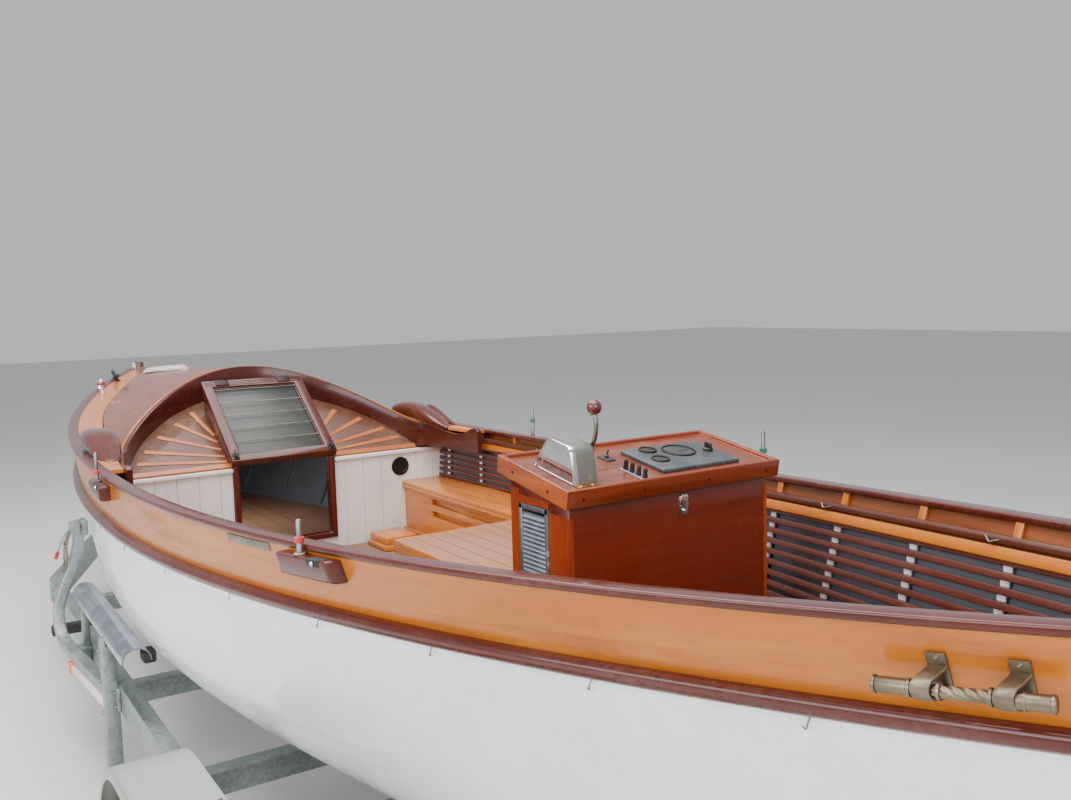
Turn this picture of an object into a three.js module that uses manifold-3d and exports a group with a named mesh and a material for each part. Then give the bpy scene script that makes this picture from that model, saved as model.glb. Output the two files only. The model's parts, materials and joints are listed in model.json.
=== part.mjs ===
// Open double-ended lifeboat of the whaleboat type, standing on its two-axle road trailer.
// Millimetres. +X points to the bow, +Y to port, +Z up. The floor is z = 0.
// The origin is on the floor below the middle of the whole outfit.

import * as THREE from 'three';
import { mergeVertices } from 'three/addons/utils/BufferGeometryUtils.js';
import Module from 'manifold-3d';

const wasm = await Module();
wasm.setup();

// Driving dimensions of the hull
const GAP = 0.3;
const STERN_X = -4490;
const BOW_X = 3850;
const MAX_BEAM_X = -300;
const HALF_BEAM = 975;
const LOW_SHEER_X = 100;
const LOW_SHEER_Z = 1348;
const SHEER_RISE_AFT = 1.29e-5;
const SHEER_RISE_FORE = 1.58e-5;
const RABBET_Z = 510;
const KEEL_BOTTOM_Z = 430;
const KEEL_HALF = 30;
const PLANK = 22;
const RAIL_TOP_DROP = 170;
const RAIL_DEPTH = 45;
const RAIL_PROUD = 34;
const SEAM_DROP = 192;
const CAP_THICK = 18;
const CAP_WIDE = 50;

// Driving dimensions of the deck, cabin front and cockpit
const SOLE_TOP_Z = 730;
const DECK_EDGE_IN = 38;
const DECK_THICK = 16;
const DECK_CROWN_Z = 1700;
const DECK_CROWN_X = 580;
const DECK_CROWN_FALL = 0.0398;
const CROWN_POWER = 1.02;
const DECK_END_X = 3700;
const BOARD_WIDE = 178;
const BOARD_WIDE_AFT = 105;
const BOARD_AFT_X = -30;
const ARCH_FOOT_X = 450;
const ARCH_REACH = 630;
const ARCH_POWER = 0.65;
const COAMING_THICK = 24;
const COAMING_LIP = 10;
const COAMING_LOW_Z = 1235;
const BULKHEAD_X = 446;
const BULKHEAD_TOP_Z = 1218;
const DOOR_HALF = 240;
const POST_WIDE = 28;
const PANEL_TILT = Math.atan(0.524);
const HATCH_TILT = Math.atan(0.727);

// Driving dimensions of the steering console
const CONSOLE_AFT_X = -2612;
const CONSOLE_FORE_X = -2345;
const CONSOLE_HALF = 336;
const LID_AFT_X = -2640;
const LID_AFT_Z = 1556;
const LID_LONG = 325;
const LID_HALF = 357;
const LID_TILT = Math.atan2(53.5, 321);

// Driving dimensions of the trailer
const FRAME_HALF = 940;
const BEAM_WIDE = 60;
const FRAME_LOW_Z = 330;
const FRAME_HIGH_Z = 450;
const WHEEL_RADIUS = 310;
const WHEEL_WIDE = 185;
const WHEEL_Y = 1115;
const AXLES_X = [-2250, -1550];
const COUPLING_X = 4880;

const SIDES = [['port', 1], ['starboard', -1]];

const FINISH = {
  white: [0xe9e7e1, 0.35, 0],
  honey: [0xc47a2c, 0.3, 0],
  mahogany: [0x6d2413, 0.25, 0],
  teak: [0xa86b45, 0.5, 0],
  glass: [0x6f7a72, 0.1, 0],
  galvanised: [0x9aa3a3, 0.45, 0.9],
  chrome: [0xd4d6d8, 0.12, 1],
  panel: [0x454b4f, 0.45, 0.2],
  rubber: [0x1b1b1c, 0.85, 0],
  bronze: [0xa67c3d, 0.35, 1],
  engine: [0x3f5a48, 0.5, 0.2],
  steel: [0x8c8f91, 0.4, 0.9],
};

const boat = new THREE.Group();
const trailer = new THREE.Group();

function add(group, name, finish, geometry) {
  const [color, roughness, metalness] = FINISH[finish];
  const material = new THREE.MeshStandardMaterial({ color, roughness, metalness });
  const mesh = new THREE.Mesh(geometry, material);
  mesh.name = name;
  group.add(mesh);
  return mesh;
}

// Solids from points, sections and outlines

function fromTriangles(points, faces) {
  let volume = 0;
  for (const [a, b, c] of faces) {
    volume += points[a].dot(points[b].clone().cross(points[c]));
  }
  const turned = volume < 0;
  const index = [];
  for (const [a, b, c] of faces) {
    index.push(a, turned ? c : b, turned ? b : c);
  }
  const geometry = new THREE.BufferGeometry();
  geometry.setAttribute('position', new THREE.Float32BufferAttribute(
    points.flatMap((p) => [p.x, p.y, p.z]), 3));
  geometry.setIndex(index);
  return geometry;
}

// A closed slab between two grids of points with the same rows and columns.
function slab(top, bottom) {
  const rows = top.length;
  const cols = top[0].length;
  const points = [...top.flat(), ...bottom.flat()];
  const faces = [];
  const at = (layer, r, c) => layer * rows * cols + r * cols + c;
  const quad = (a, b, c, d) => faces.push([a, b, c], [a, c, d]);
  for (let r = 0; r < rows - 1; r += 1) {
    for (let c = 0; c < cols - 1; c += 1) {
      quad(at(0, r, c), at(0, r + 1, c), at(0, r + 1, c + 1), at(0, r, c + 1));
      quad(at(1, r, c), at(1, r, c + 1), at(1, r + 1, c + 1), at(1, r + 1, c));
    }
    quad(at(0, r, 0), at(1, r, 0), at(1, r + 1, 0), at(0, r + 1, 0));
    quad(at(0, r, cols - 1), at(0, r + 1, cols - 1), at(1, r + 1, cols - 1), at(1, r, cols - 1));
  }
  for (let c = 0; c < cols - 1; c += 1) {
    quad(at(0, 0, c), at(0, 0, c + 1), at(1, 0, c + 1), at(1, 0, c));
    quad(at(0, rows - 1, c), at(1, rows - 1, c), at(1, rows - 1, c + 1), at(0, rows - 1, c + 1));
  }
  return fromTriangles(points, faces);
}

function outline(pairs) {
  return new THREE.Shape(pairs.map(([a, b]) => new THREE.Vector2(a, b)));
}

function extrude(shape, depth) {
  return new THREE.ExtrudeGeometry(shape, { depth, bevelEnabled: false, curveSegments: 6 });
}

// Outline in x and z, thickness along y from y0 to y1.
function plateXZ(pairs, y0, y1) {
  return extrude(outline(pairs), y1 - y0).rotateX(Math.PI / 2).translate(0, y1, 0);
}

// Outline in y and z, thickness along x from x0 to x1.
function plateYZ(pairs, x0, x1) {
  const turn = new THREE.Matrix4().makeBasis(
    new THREE.Vector3(0, 1, 0), new THREE.Vector3(0, 0, 1), new THREE.Vector3(1, 0, 0));
  return extrude(outline(pairs), x1 - x0).applyMatrix4(turn).translate(x0, 0, 0);
}

function plateXY(pairs, z0, z1) {
  return extrude(outline(pairs), z1 - z0).translate(0, 0, z0);
}

function block(x0, x1, y0, y1, z0, z1) {
  return new THREE.BoxGeometry(x1 - x0, y1 - y0, z1 - z0)
    .translate((x0 + x1) / 2, (y0 + y1) / 2, (z0 + z1) / 2);
}

// A round bar between two points.
function bar(from, to, radius, sides = 16) {
  const a = new THREE.Vector3(...from);
  const b = new THREE.Vector3(...to);
  const along = b.clone().sub(a);
  const turn = new THREE.Quaternion().setFromUnitVectors(
    new THREE.Vector3(0, 1, 0), along.clone().normalize());
  return new THREE.CylinderGeometry(radius, radius, along.length(), sides)
    .applyQuaternion(turn).translate(...a.add(b).multiplyScalar(0.5).toArray());
}

function tube(points, radius, sides, steps) {
  const path = new THREE.CatmullRomCurve3(
    points.map((p) => new THREE.Vector3(...p)), false, 'centripetal');
  const ring = [];
  for (let i = 0; i < sides; i += 1) {
    const turn = (i / sides) * 2 * Math.PI;
    ring.push([radius * Math.cos(turn), radius * Math.sin(turn)]);
  }
  return new THREE.ExtrudeGeometry(outline(ring), { steps, extrudePath: path, bevelEnabled: false });
}

// Joins and cuts

function toManifold(geometry) {
  let bare = geometry.clone();
  bare.deleteAttribute('normal');
  bare.deleteAttribute('uv');
  bare = mergeVertices(bare, 1e-3);
  return new wasm.Manifold(new wasm.Mesh({
    numProp: 3,
    vertProperties: new Float32Array(bare.attributes.position.array),
    triVerts: new Uint32Array(bare.index.array),
  }));
}

function fromManifold(manifold) {
  const mesh = manifold.getMesh();
  const geometry = new THREE.BufferGeometry();
  geometry.setAttribute('position', new THREE.BufferAttribute(mesh.vertProperties, 3));
  geometry.setIndex(new THREE.BufferAttribute(mesh.triVerts, 1));
  return geometry;
}

function join(...geometries) {
  return fromManifold(geometries.map(toManifold).reduce((a, b) => a.add(b)));
}

function cut(geometry, ...tools) {
  return fromManifold(tools.map(toManifold).reduce((a, b) => a.subtract(b), toManifold(geometry)));
}

function mirrored(geometry, side) {
  if (side > 0) return geometry;
  const copy = geometry.clone().scale(1, -1, 1);
  const index = copy.index ? copy.index.array : null;
  if (!index) return mirrored(mergeVertices(geometry), side);
  for (let i = 0; i < index.length; i += 3) {
    [index[i], index[i + 1]] = [index[i + 1], index[i]];
  }
  return copy;
}

// Hull form: plan, sheer, rabbet and section, each one formula

function planShare(x) {
  const aft = x < MAX_BEAM_X;
  const reach = aft ? (MAX_BEAM_X - x) / (MAX_BEAM_X - STERN_X) : (x - MAX_BEAM_X) / (BOW_X - MAX_BEAM_X);
  return Math.min(Math.max(reach, 0), 1);
}

function halfBeam(x) {
  const full = KEEL_HALF + PLANK + GAP;
  return full + (HALF_BEAM - full) * (1 - planShare(x) ** (x < MAX_BEAM_X ? 2.15 : 2.5));
}

function sheerZ(x) {
  const rise = x < LOW_SHEER_X ? SHEER_RISE_AFT : SHEER_RISE_FORE;
  return LOW_SHEER_Z + rise * (x - LOW_SHEER_X) ** 2;
}

function rabbetZ(x) {
  const middle = (STERN_X + BOW_X) / 2;
  const share = Math.min(Math.abs(x - middle) / ((BOW_X - STERN_X) / 2), 1);
  return RABBET_Z + (sheerZ(x) - RABBET_Z) * share ** 8.8;
}

function halfBreadth(x, z) {
  const low = rabbetZ(x);
  const share = Math.min(Math.max((z - low) / (sheerZ(x) - low), 0), 1);
  const vee = planShare(x) ** 1.9;
  const full = (1 - (1 - share) ** 4.6) ** (1 / 4.15);
  const lean = full * (1 - vee) + vee * share ** 1.56;
  const side = KEEL_HALF + GAP + PLANK;
  return side + (halfBeam(x) - side) * lean;
}

// The inside face of the planking at one station, from keel to sheer.
function innerSection(x, heights) {
  const outer = heights.map((z) => new THREE.Vector2(halfBreadth(x, z), z));
  return outer.map((p, i) => {
    const a = outer[Math.max(i - 1, 0)];
    const b = outer[Math.min(i + 1, outer.length - 1)];
    const along = b.clone().sub(a).normalize();
    const y = Math.max(p.x - PLANK * along.y, KEEL_HALF + GAP);
    return new THREE.Vector2(y, p.y + PLANK * along.x);
  });
}

function innerBreadth(x, z) {
  const low = rabbetZ(x);
  const step = (sheerZ(x) - low) / 40;
  const heights = Array.from({ length: 40 }, (_, i) => low + step * i);
  const inside = innerSection(x, heights);
  for (let i = 1; i < inside.length; i += 1) {
    if (inside[i].y >= z && inside[i - 1].y <= z) {
      const share = (z - inside[i - 1].y) / (inside[i].y - inside[i - 1].y);
      return inside[i - 1].x + share * (inside[i].x - inside[i - 1].x);
    }
  }
  return inside[inside.length - 1].x;
}

const HULL_STATIONS = [-4460, -4410, -4370, -4310, -4200, -4020, -3800, -3500, -3150, -2750, -2300, -1800,
  -1300, -800, -300, 200, 700, 1200, 1700, 2150, 2550, 2900, 3200, 3430, 3600, 3690, 3735, 3780, 3820];
const PLANK_LEVELS = [0.012, 0.04, 0.09, 0.17, 0.3, 0.5, 0.75];
const STRAKE_DROPS = [SEAM_DROP, RAIL_TOP_DROP, 110, CAP_THICK + GAP];

// Outside of the top strake as built, straight between its stations and its drops below the sheer.
function strakeBreadth(x, drop) {
  const next = HULL_STATIONS.findIndex((station) => station > x);
  const row = Math.max(STRAKE_DROPS.findIndex((level) => level <= drop), 1);
  const [high, low] = [STRAKE_DROPS[row], STRAKE_DROPS[row - 1]];
  const at = (station) => {
    const [a, b] = [high, low].map((level) => halfBreadth(station, sheerZ(station) - level));
    return a + ((b - a) * (drop - high)) / (low - high);
  };
  const [before, after] = [HULL_STATIONS[next - 1], HULL_STATIONS[next]];
  return at(before) + ((at(after) - at(before)) * (x - before)) / (after - before);
}

// Planking from the keel to the seam under the rail. It ends where the rabbet climbs to the rail.
function planking() {
  const outer = [];
  const inner = [];
  const underRail = (x) => sheerZ(x) - RAIL_TOP_DROP - RAIL_DEPTH;
  for (const x of HULL_STATIONS.filter((station) => rabbetZ(station) < underRail(station))) {
    const low = rabbetZ(x);
    const high = sheerZ(x) - SEAM_DROP - GAP;
    const railLow = underRail(x);
    const heights = [...PLANK_LEVELS.map((level) => low + (railLow - low) * level), railLow, high];
    const inside = innerSection(x, heights);
    const keelSide = KEEL_HALF + GAP;
    outer.push([new THREE.Vector3(x, keelSide, low),
      ...heights.map((z) => new THREE.Vector3(x, halfBreadth(x, z), z))]);
    inner.push([new THREE.Vector3(x, keelSide, low + PLANK * 1.2),
      ...inside.map((p) => new THREE.Vector3(x, p.x, Math.min(p.y, high)))]);
  }
  return slab(outer, inner);
}

// A band of planking between two drops below the sheer.
function topStrake() {
  const outer = HULL_STATIONS.map((x) => STRAKE_DROPS.map((drop) => {
    const z = sheerZ(x) - drop;
    return new THREE.Vector3(x, halfBreadth(x, z), z);
  }));
  const inner = HULL_STATIONS.map((x) => STRAKE_DROPS.map((drop) => {
    const z = sheerZ(x) - drop;
    return new THREE.Vector3(x, Math.max(halfBreadth(x, z) - PLANK, KEEL_HALF + GAP), z);
  }));
  return slab(outer, inner);
}

function rubRail() {
  const low = RAIL_TOP_DROP + RAIL_DEPTH;
  const profile = [[RAIL_PROUD - 12, low], [RAIL_PROUD, SEAM_DROP], [RAIL_PROUD - 6, RAIL_TOP_DROP]];
  const section = (x, proud) => profile.map(([out, drop]) => {
    const z = sheerZ(x) - drop;
    return new THREE.Vector3(x, halfBreadth(x, z) + (proud ? out : GAP), z);
  });
  return slab(HULL_STATIONS.map((x) => section(x, true)), HULL_STATIONS.map((x) => section(x, false)));
}

// The cap along the gunwale. As a cutting tool it has room around it and reaches down by depth.
function gunwaleCap(room = 0, depth = CAP_THICK + room) {
  const outer = 4 + room;
  const strip = (drop) => HULL_STATIONS.map((x) => {
    const edge = halfBeam(x);
    const inside = Math.max(edge - CAP_WIDE, KEEL_HALF + GAP) - room;
    const z = sheerZ(x) - drop;
    return [new THREE.Vector3(x, inside, z), new THREE.Vector3(x, edge + outer, z)];
  });
  return slab(strip(-room), strip(depth));
}

function seatOnCaps(geometry) {
  const tool = gunwaleCap(GAP);
  return cut(geometry, tool, mirrored(tool, -1));
}

// Trims a board to the inside of the planking and the top strake, with a hairline left between.
function fitInHull(geometry) {
  const tools = [planking(), topStrake()].map((tool) => tool.translate(0, -2 * GAP, 0));
  return cut(geometry, ...tools, ...tools.map((tool) => mirrored(tool, -1)));
}

// Rabbet curve moved inwards (negative) or outwards in the centre plane.
function offsetRabbet(stations, offset) {
  return stations.map((x) => {
    const slope = (rabbetZ(x + 2) - rabbetZ(x - 2)) / 4;
    const length = Math.hypot(1, slope);
    return [x + (offset * slope) / length, rabbetZ(x) - offset / length];
  });
}

const POST_AFT_X = -4520;
const RUDDER_AXIS_X = -4560;
const RUDDER_LEAD = 28;
const HANGINGS_Z = [600, 940, 1280];
const HANGING_HALF = 20;
const PINTLE_RADIUS = 8.5;
const HANGING_BORE = 9.3;
const SCARF_X = 2500;
const APRON = 45;
const STEM_DEEP = 62;
const PROP_Z = 690;
const PROP_RADIUS = 160;
const APERTURE_AFT_X = -4440;
const APERTURE_FORE_X = -4230;

function keelAndPost() {
  const inner = offsetRabbet([-4470, -4430, -4370, -4280, -4150, -3950, -3700, -3300, -2600], -APRON);
  const profile = [[POST_AFT_X, KEEL_BOTTOM_Z], [SCARF_X, KEEL_BOTTOM_Z],
    [SCARF_X, rabbetZ(SCARF_X) + APRON], [-2000, RABBET_Z + APRON],
    ...inner.reverse(), [-4400, 1640], [POST_AFT_X, 1640]];
  const aperture = [[APERTURE_AFT_X, 520], [APERTURE_AFT_X + 20, 495], [APERTURE_FORE_X - 20, 495],
    [APERTURE_FORE_X, 520], [APERTURE_FORE_X, 860], [APERTURE_FORE_X - 40, 895],
    [APERTURE_AFT_X + 30, 895], [APERTURE_AFT_X, 860]];
  const plate = plateXZ(profile, -KEEL_HALF, KEEL_HALF);
  const hole = plateXZ(aperture, -KEEL_HALF * 2, KEEL_HALF * 2);
  const bore = bar([APERTURE_FORE_X - 20, 0, PROP_Z], [APERTURE_FORE_X + 150, 0, PROP_Z], 15.6);
  const gudgeons = HANGINGS_Z.flatMap((z) => [
    bar([RUDDER_AXIS_X, 0, z - HANGING_HALF], [RUDDER_AXIS_X, 0, z + HANGING_HALF], 20, 16),
    block(RUDDER_AXIS_X, POST_AFT_X + 5, -14, 14, z - HANGING_HALF, z + HANGING_HALF)]);
  const pintleBore = bar([RUDDER_AXIS_X, 0, KEEL_BOTTOM_Z], [RUDDER_AXIS_X, 0, 1500], HANGING_BORE);
  return cut(join(plate, ...gudgeons), hole, bore, pintleBore);
}

function stem() {
  const stations = [2700, 2950, 3200, 3400, 3560, 3680, 3760, 3810, 3842];
  const inner = offsetRabbet(stations, -APRON).map(([x, z]) => [x, Math.min(z, 1602)]);
  const outer = offsetRabbet(stations, STEM_DEEP);
  const start = SCARF_X + GAP;
  const profile = [[start, KEEL_BOTTOM_Z], ...outer, [BOW_X + STEM_DEEP, 1610], [3780, 1610],
    ...inner.slice(0, 7).reverse(), [start, rabbetZ(SCARF_X) + APRON]];
  return plateXZ(profile, -KEEL_HALF, KEEL_HALF);
}

// Foredeck: a crowned middle between two flat covering boards, and the coaming that closes its after edge

function deckHalf(x) {
  return Math.max(halfBeam(x) - DECK_EDGE_IN, 0);
}

// Where the covering board ends and the crown begins. Aft of the arch the board gets narrower.
function boardInner(x) {
  const before = Math.max(ARCH_FOOT_X - x, 0) / (ARCH_FOOT_X - BOARD_AFT_X);
  const wide = BOARD_WIDE - (BOARD_WIDE - BOARD_WIDE_AFT) * Math.min(before, 1) ** 0.5;
  return Math.max(halfBeam(x) - wide, halfBeam(x) * 0.2);
}

// Height of the deck's underside at a share of the crown's half width.
function deckZ(x, share) {
  const edge = sheerZ(x) - CAP_THICK;
  const crown = DECK_CROWN_Z - DECK_THICK - DECK_CROWN_FALL * (x - DECK_CROWN_X) - edge;
  return edge + Math.max(crown, 0) * (1 - Math.min(share * share, 1)) ** CROWN_POWER;
}

function archX(share) {
  return ARCH_FOOT_X + ARCH_REACH * (1 - share * share) ** ARCH_POWER;
}

const CROWN_SHARES = [-1, -0.97, -0.9, -0.78, -0.6, -0.4, -0.2, 0, 0.2, 0.4, 0.6, 0.78, 0.9, 0.97, 1];

// Crown of the deck between two heights above its underside.
function crownShell(high, low) {
  const steps = [0, 0.14, 0.3, 0.48, 0.66, 0.84, 1];
  const tuck = 6;
  const grid = (lift) => steps.map((step) => {
    const row = CROWN_SHARES.map((share) => {
      const start = archX(share);
      const x = start + (DECK_END_X - start) * step;
      return new THREE.Vector3(x, share * boardInner(x), deckZ(x, share) + lift);
    });
    const edge = (p, side) => new THREE.Vector3(p.x, p.y + side * tuck, p.z);
    return [edge(row[0], -1), ...row, edge(row[row.length - 1], 1)];
  });
  return slab(grid(high), grid(low));
}

// Flat board along one gunwale, from the after end of the coaming to the bow.
function coveringBoard(high, low) {
  const stations = [BOARD_AFT_X, 60, 160, 260, 340, 400, ARCH_FOOT_X, 800, 1300, 1800, 2300, 2700, 3100, 3400,
    3600, DECK_END_X];
  const grid = (lift) => stations.map((x) => [boardInner(x), deckHalf(x)].map((y) => (
    new THREE.Vector3(x, y, deckZ(x, 1) + lift))));
  return slab(grid(high), grid(low));
}

function foredeck() {
  const board = coveringBoard(DECK_THICK, 0);
  return seatOnCaps(join(crownShell(DECK_THICK, 0), board, mirrored(board, -1)));
}

// Height of the sloping panels at x.
function panelZ(x) {
  return BULKHEAD_TOP_Z + (x - BULKHEAD_X) * Math.tan(PANEL_TILT);
}

// The after ends of the coaming are carved: a hook, a hollow and a rise to the chock. Pairs of x and top.
const SCROLL = [[-90, 1348], [-62, 1362], [-15, 1358], [30, 1336], [85, 1320], [180, 1320], [280, 1338],
  [360, 1352]];

// Deep plank on edge along the deck's after edge: port leg, arch, starboard leg.
// The arch stands on the sloping panels. As a cutting tool it has room around it.
function archCoaming(room = 0) {
  const leg = SCROLL.map(([x, top]) => ({ x, y: boardInner(x), top, low: COAMING_LOW_Z }));
  const arch = CROWN_SHARES.map((share) => {
    const x = archX(share);
    const top = deckZ(x, share) + DECK_THICK + COAMING_LIP;
    return { x, y: -share * boardInner(x), top, low: 0 };
  });
  const line = [...leg, ...arch, ...leg.map((p) => ({ ...p, y: -p.y })).reverse()];
  const faces = (reach) => line.map((p, i) => {
    const before = line[Math.max(i - 1, 0)];
    const after = line[Math.min(i + 1, line.length - 1)];
    const run = after.x - before.x;
    const across = after.y - before.y;
    const length = Math.hypot(run, across);
    const x = p.x + (reach * across) / length;
    const y = p.y - (reach * run) / length;
    const low = p.low || Math.max(panelZ(x) + 2 * GAP, panelZ(BULKHEAD_X) + 2 * GAP);
    return [new THREE.Vector3(x, y, p.top + room), new THREE.Vector3(x, y, low - room)];
  });
  return slab(faces(2 * GAP - room), faces(COAMING_THICK + room));
}

// Cabin front

const PANEL_THICK = 16;
const BULKHEAD_THICK = 20;
const SILL_UNDER_Z = SOLE_TOP_Z + 60;
const DOOR_FORE_X = BULKHEAD_X + 42;
const DOOR_AFT_X = BULKHEAD_X - 18;

// Lays a flat outline of (y, w) on a plane that rises forward from a line across the boat,
// w up the slope, between two heights above the plane.
function onPlane(start, tilt, pairs, low, high) {
  const port = new THREE.Vector3(0, 1, 0);
  const up = new THREE.Vector3(Math.cos(tilt), 0, Math.sin(tilt));
  const into = new THREE.Vector3(Math.sin(tilt), 0, -Math.cos(tilt));
  const basis = new THREE.Matrix4().makeBasis(port, up, into);
  return extrude(outline(pairs), high - low).translate(0, 0, -high).applyMatrix4(basis)
    .translate(start[0], 0, start[1]);
}

function onPanels(pairs, low, high) {
  return onPlane([BULKHEAD_X, BULKHEAD_TOP_Z], PANEL_TILT, pairs, low, high);
}

// Top of the hatch at its lower end.
const HATCH_AFT_X = 408;
const HATCH_AFT_Z = 1259;
const HATCH_LONG = 629;
const HATCH_HALF = 277;
const HATCH_THICK = 40;
const HATCH_BORDER = 52;

function onHatch(pairs, low, high) {
  return onPlane([HATCH_AFT_X, HATCH_AFT_Z], HATCH_TILT, pairs, low, high);
}

function rectangle(y, w0, w1) {
  return [[-y, w0], [y, w0], [y, w1], [-y, w1]];
}

// Boarded front of the cabin, trimmed to the hull and bevelled under the sloping panels.
function bulkhead() {
  const heights = [SOLE_TOP_Z + GAP, 800, 900, 1050, BULKHEAD_TOP_Z];
  const side = heights.map((z) => [innerBreadth(BULKHEAD_X, z), z]);
  const profile = [...side, ...side.map(([y, z]) => [-y, z]).reverse()];
  const board = plateYZ(profile, BULKHEAD_X, BULKHEAD_X + BULKHEAD_THICK);
  const jamb = DOOR_HALF + POST_WIDE + GAP;
  const bevel = onPanels(rectangle(HALF_BEAM, -60, 90), -PANEL_THICK - 2 * GAP, 60);
  return cut(fitInHull(board), block(0, 900, -jamb, jamb, SILL_UNDER_Z, 1400), bevel);
}

// Door posts and sill. The posts end under the hatch, which rests on them.
function doorFrame() {
  const outer = DOOR_HALF + POST_WIDE;
  const low = SILL_UNDER_Z + GAP;
  const high = BULKHEAD_TOP_Z + 60;
  const sill = low + POST_WIDE;
  const profile = [[-outer, low], [outer, low], [outer, high], [DOOR_HALF, high], [DOOR_HALF, sill],
    [-DOOR_HALF, sill], [-DOOR_HALF, high], [-outer, high]];
  const bevel = onHatch(rectangle(outer + 5, -90, 150), -HATCH_THICK - 2 * GAP, 90);
  return cut(plateYZ(profile, DOOR_AFT_X, DOOR_FORE_X), bevel);
}

// Forward end of the curb under the hatch.
const CURB_HEAD_X = HATCH_AFT_X + (HATCH_LONG - 20) * Math.cos(HATCH_TILT);
const CURB_THICK = 22;
const CURB_HALF = HATCH_HALF - 6;

// Sunburst panel beside and behind the hatch. It runs under the coaming to the line of the arch.
function fanPanel() {
  const post = DOOR_HALF + POST_WIDE + 2 * GAP;
  const ledge = CURB_HALF - 9;
  const along = (x) => (x - BULKHEAD_X) / Math.cos(PANEL_TILT);
  const arch = CROWN_SHARES.filter((share) => share > 0).reverse().map((share) => {
    const x = archX(share);
    return [share * boardInner(x), along(x)];
  });
  const head = along(CURB_HEAD_X - 12);
  const notch = along(DOOR_FORE_X + 2);
  const side = innerBreadth(BULKHEAD_X, BULKHEAD_TOP_Z) + PLANK / 2;
  const panel = onPanels([[post, 0.4], [side, 0.4], [side, arch[0][1]], ...arch,
    [GAP, along(archX(0))], [GAP, head], [ledge, head], [ledge, notch], [post, notch]], -PANEL_THICK, 0);
  return fitInHull(panel);
}

// Curb between the panels and the sloping hatch: two wedge-shaped cheeks and a head board.
function hatchCurb() {
  const low = (x) => panelZ(x) + 2 * GAP;
  const high = (x) => HATCH_AFT_Z + (x - HATCH_AFT_X) * Math.tan(HATCH_TILT)
    - (HATCH_THICK + 2 * GAP) / Math.cos(HATCH_TILT);
  const wedge = (x0, y0, y1) => plateXZ([[x0, low(x0)], [CURB_HEAD_X, low(CURB_HEAD_X)],
    [CURB_HEAD_X, high(CURB_HEAD_X)], [x0, high(x0)]], y0, y1);
  const foot = DOOR_FORE_X + GAP;
  return join(wedge(foot, -CURB_HALF, CURB_THICK - CURB_HALF), wedge(foot, CURB_HALF - CURB_THICK, CURB_HALF),
    wedge(CURB_HEAD_X - CURB_THICK, -CURB_HALF, CURB_HALF));
}

function hatchFrame() {
  const light = rectangle(HATCH_HALF - HATCH_BORDER, HATCH_BORDER, HATCH_LONG - HATCH_BORDER);
  return cut(onHatch(rectangle(HATCH_HALF, 0, HATCH_LONG), -HATCH_THICK, 0),
    onHatch(light, -2 * HATCH_THICK, HATCH_THICK));
}

function hatchGlass() {
  const inset = HATCH_BORDER + GAP;
  return onHatch(rectangle(HATCH_HALF - inset, inset, HATCH_LONG - inset), -24, -18);
}

// Cockpit

function sole() {
  const thick = 20;
  const clear = 14;
  const stations = [-3500, -3150, -2700, -2100, -1300, -300, 700, 1500, 2100, 2600];
  const port = stations.map((x) => [x, innerBreadth(x, SOLE_TOP_Z - thick) - clear]);
  const profile = [...port, ...port.map(([x, y]) => [x, -y]).reverse()];
  return plateXY(profile, SOLE_TOP_Z - thick, SOLE_TOP_Z);
}

const BENCH_TOP_Z = 1045;
const BENCH_FRONT_Y = 675;
const BENCH_AFT_X = -1900;
const BENCH_FORE_X = BULKHEAD_X - GAP;

function sideBench() {
  const thick = 20;
  const stations = [BENCH_AFT_X, -1300, -700, -100, BENCH_FORE_X];
  const hull = stations.map((x) => [x, innerBreadth(x, BENCH_TOP_Z - thick) - 30]);
  const seat = plateXY([[BENCH_FORE_X, BENCH_FRONT_Y - 15], [BENCH_AFT_X, BENCH_FRONT_Y - 15], ...hull],
    BENCH_TOP_Z - thick, BENCH_TOP_Z);
  const toe = 860;
  const tuck = BENCH_TOP_Z - thick / 2;
  const front = plateXZ([[BENCH_AFT_X, toe], [BENCH_AFT_X + 180, SOLE_TOP_Z + GAP],
    [BENCH_FORE_X, SOLE_TOP_Z + GAP], [BENCH_FORE_X, tuck], [BENCH_AFT_X, tuck]],
  BENCH_FRONT_Y, BENCH_FRONT_Y + thick);
  const slots = [[-520, 120, 955], [-430, 120, 890], [-1600, -900, 955], [-1600, -900, 890]];
  const slotHigh = 32;
  const tools = slots.map(([x0, x1, z]) => (
    block(x0, x1, BENCH_FRONT_Y - thick, BENCH_FRONT_Y + 2 * thick, z, z + slotHigh)));
  return cut(join(seat, front), ...tools);
}

const BOX_FORE_X = -1530;
const BOX_HALF = 300;
const BOX_TOP_Z = 1230;

function engineBox() {
  const wall = 18;
  const aft = CONSOLE_FORE_X + GAP;
  const outside = block(aft, BOX_FORE_X, -BOX_HALF, BOX_HALF, SOLE_TOP_Z + GAP, BOX_TOP_Z);
  const room = BOX_HALF - wall;
  const inside = block(aft + wall, BOX_FORE_X - wall, -room, room, SOLE_TOP_Z - wall, BOX_TOP_Z - wall);
  return cut(outside, inside);
}

// Turns a piece made in the lid's own axes (forward, port, up) onto the sloping lid.
function onLid(geometry) {
  return geometry.rotateY(-LID_TILT).translate(LID_AFT_X, 0, LID_AFT_Z);
}

const LID_BOARD = 18;
const LID_SKIRT = 48;

const VENT = { aft: -2522, fore: -2388, low: 1060, high: 1500 };

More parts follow.
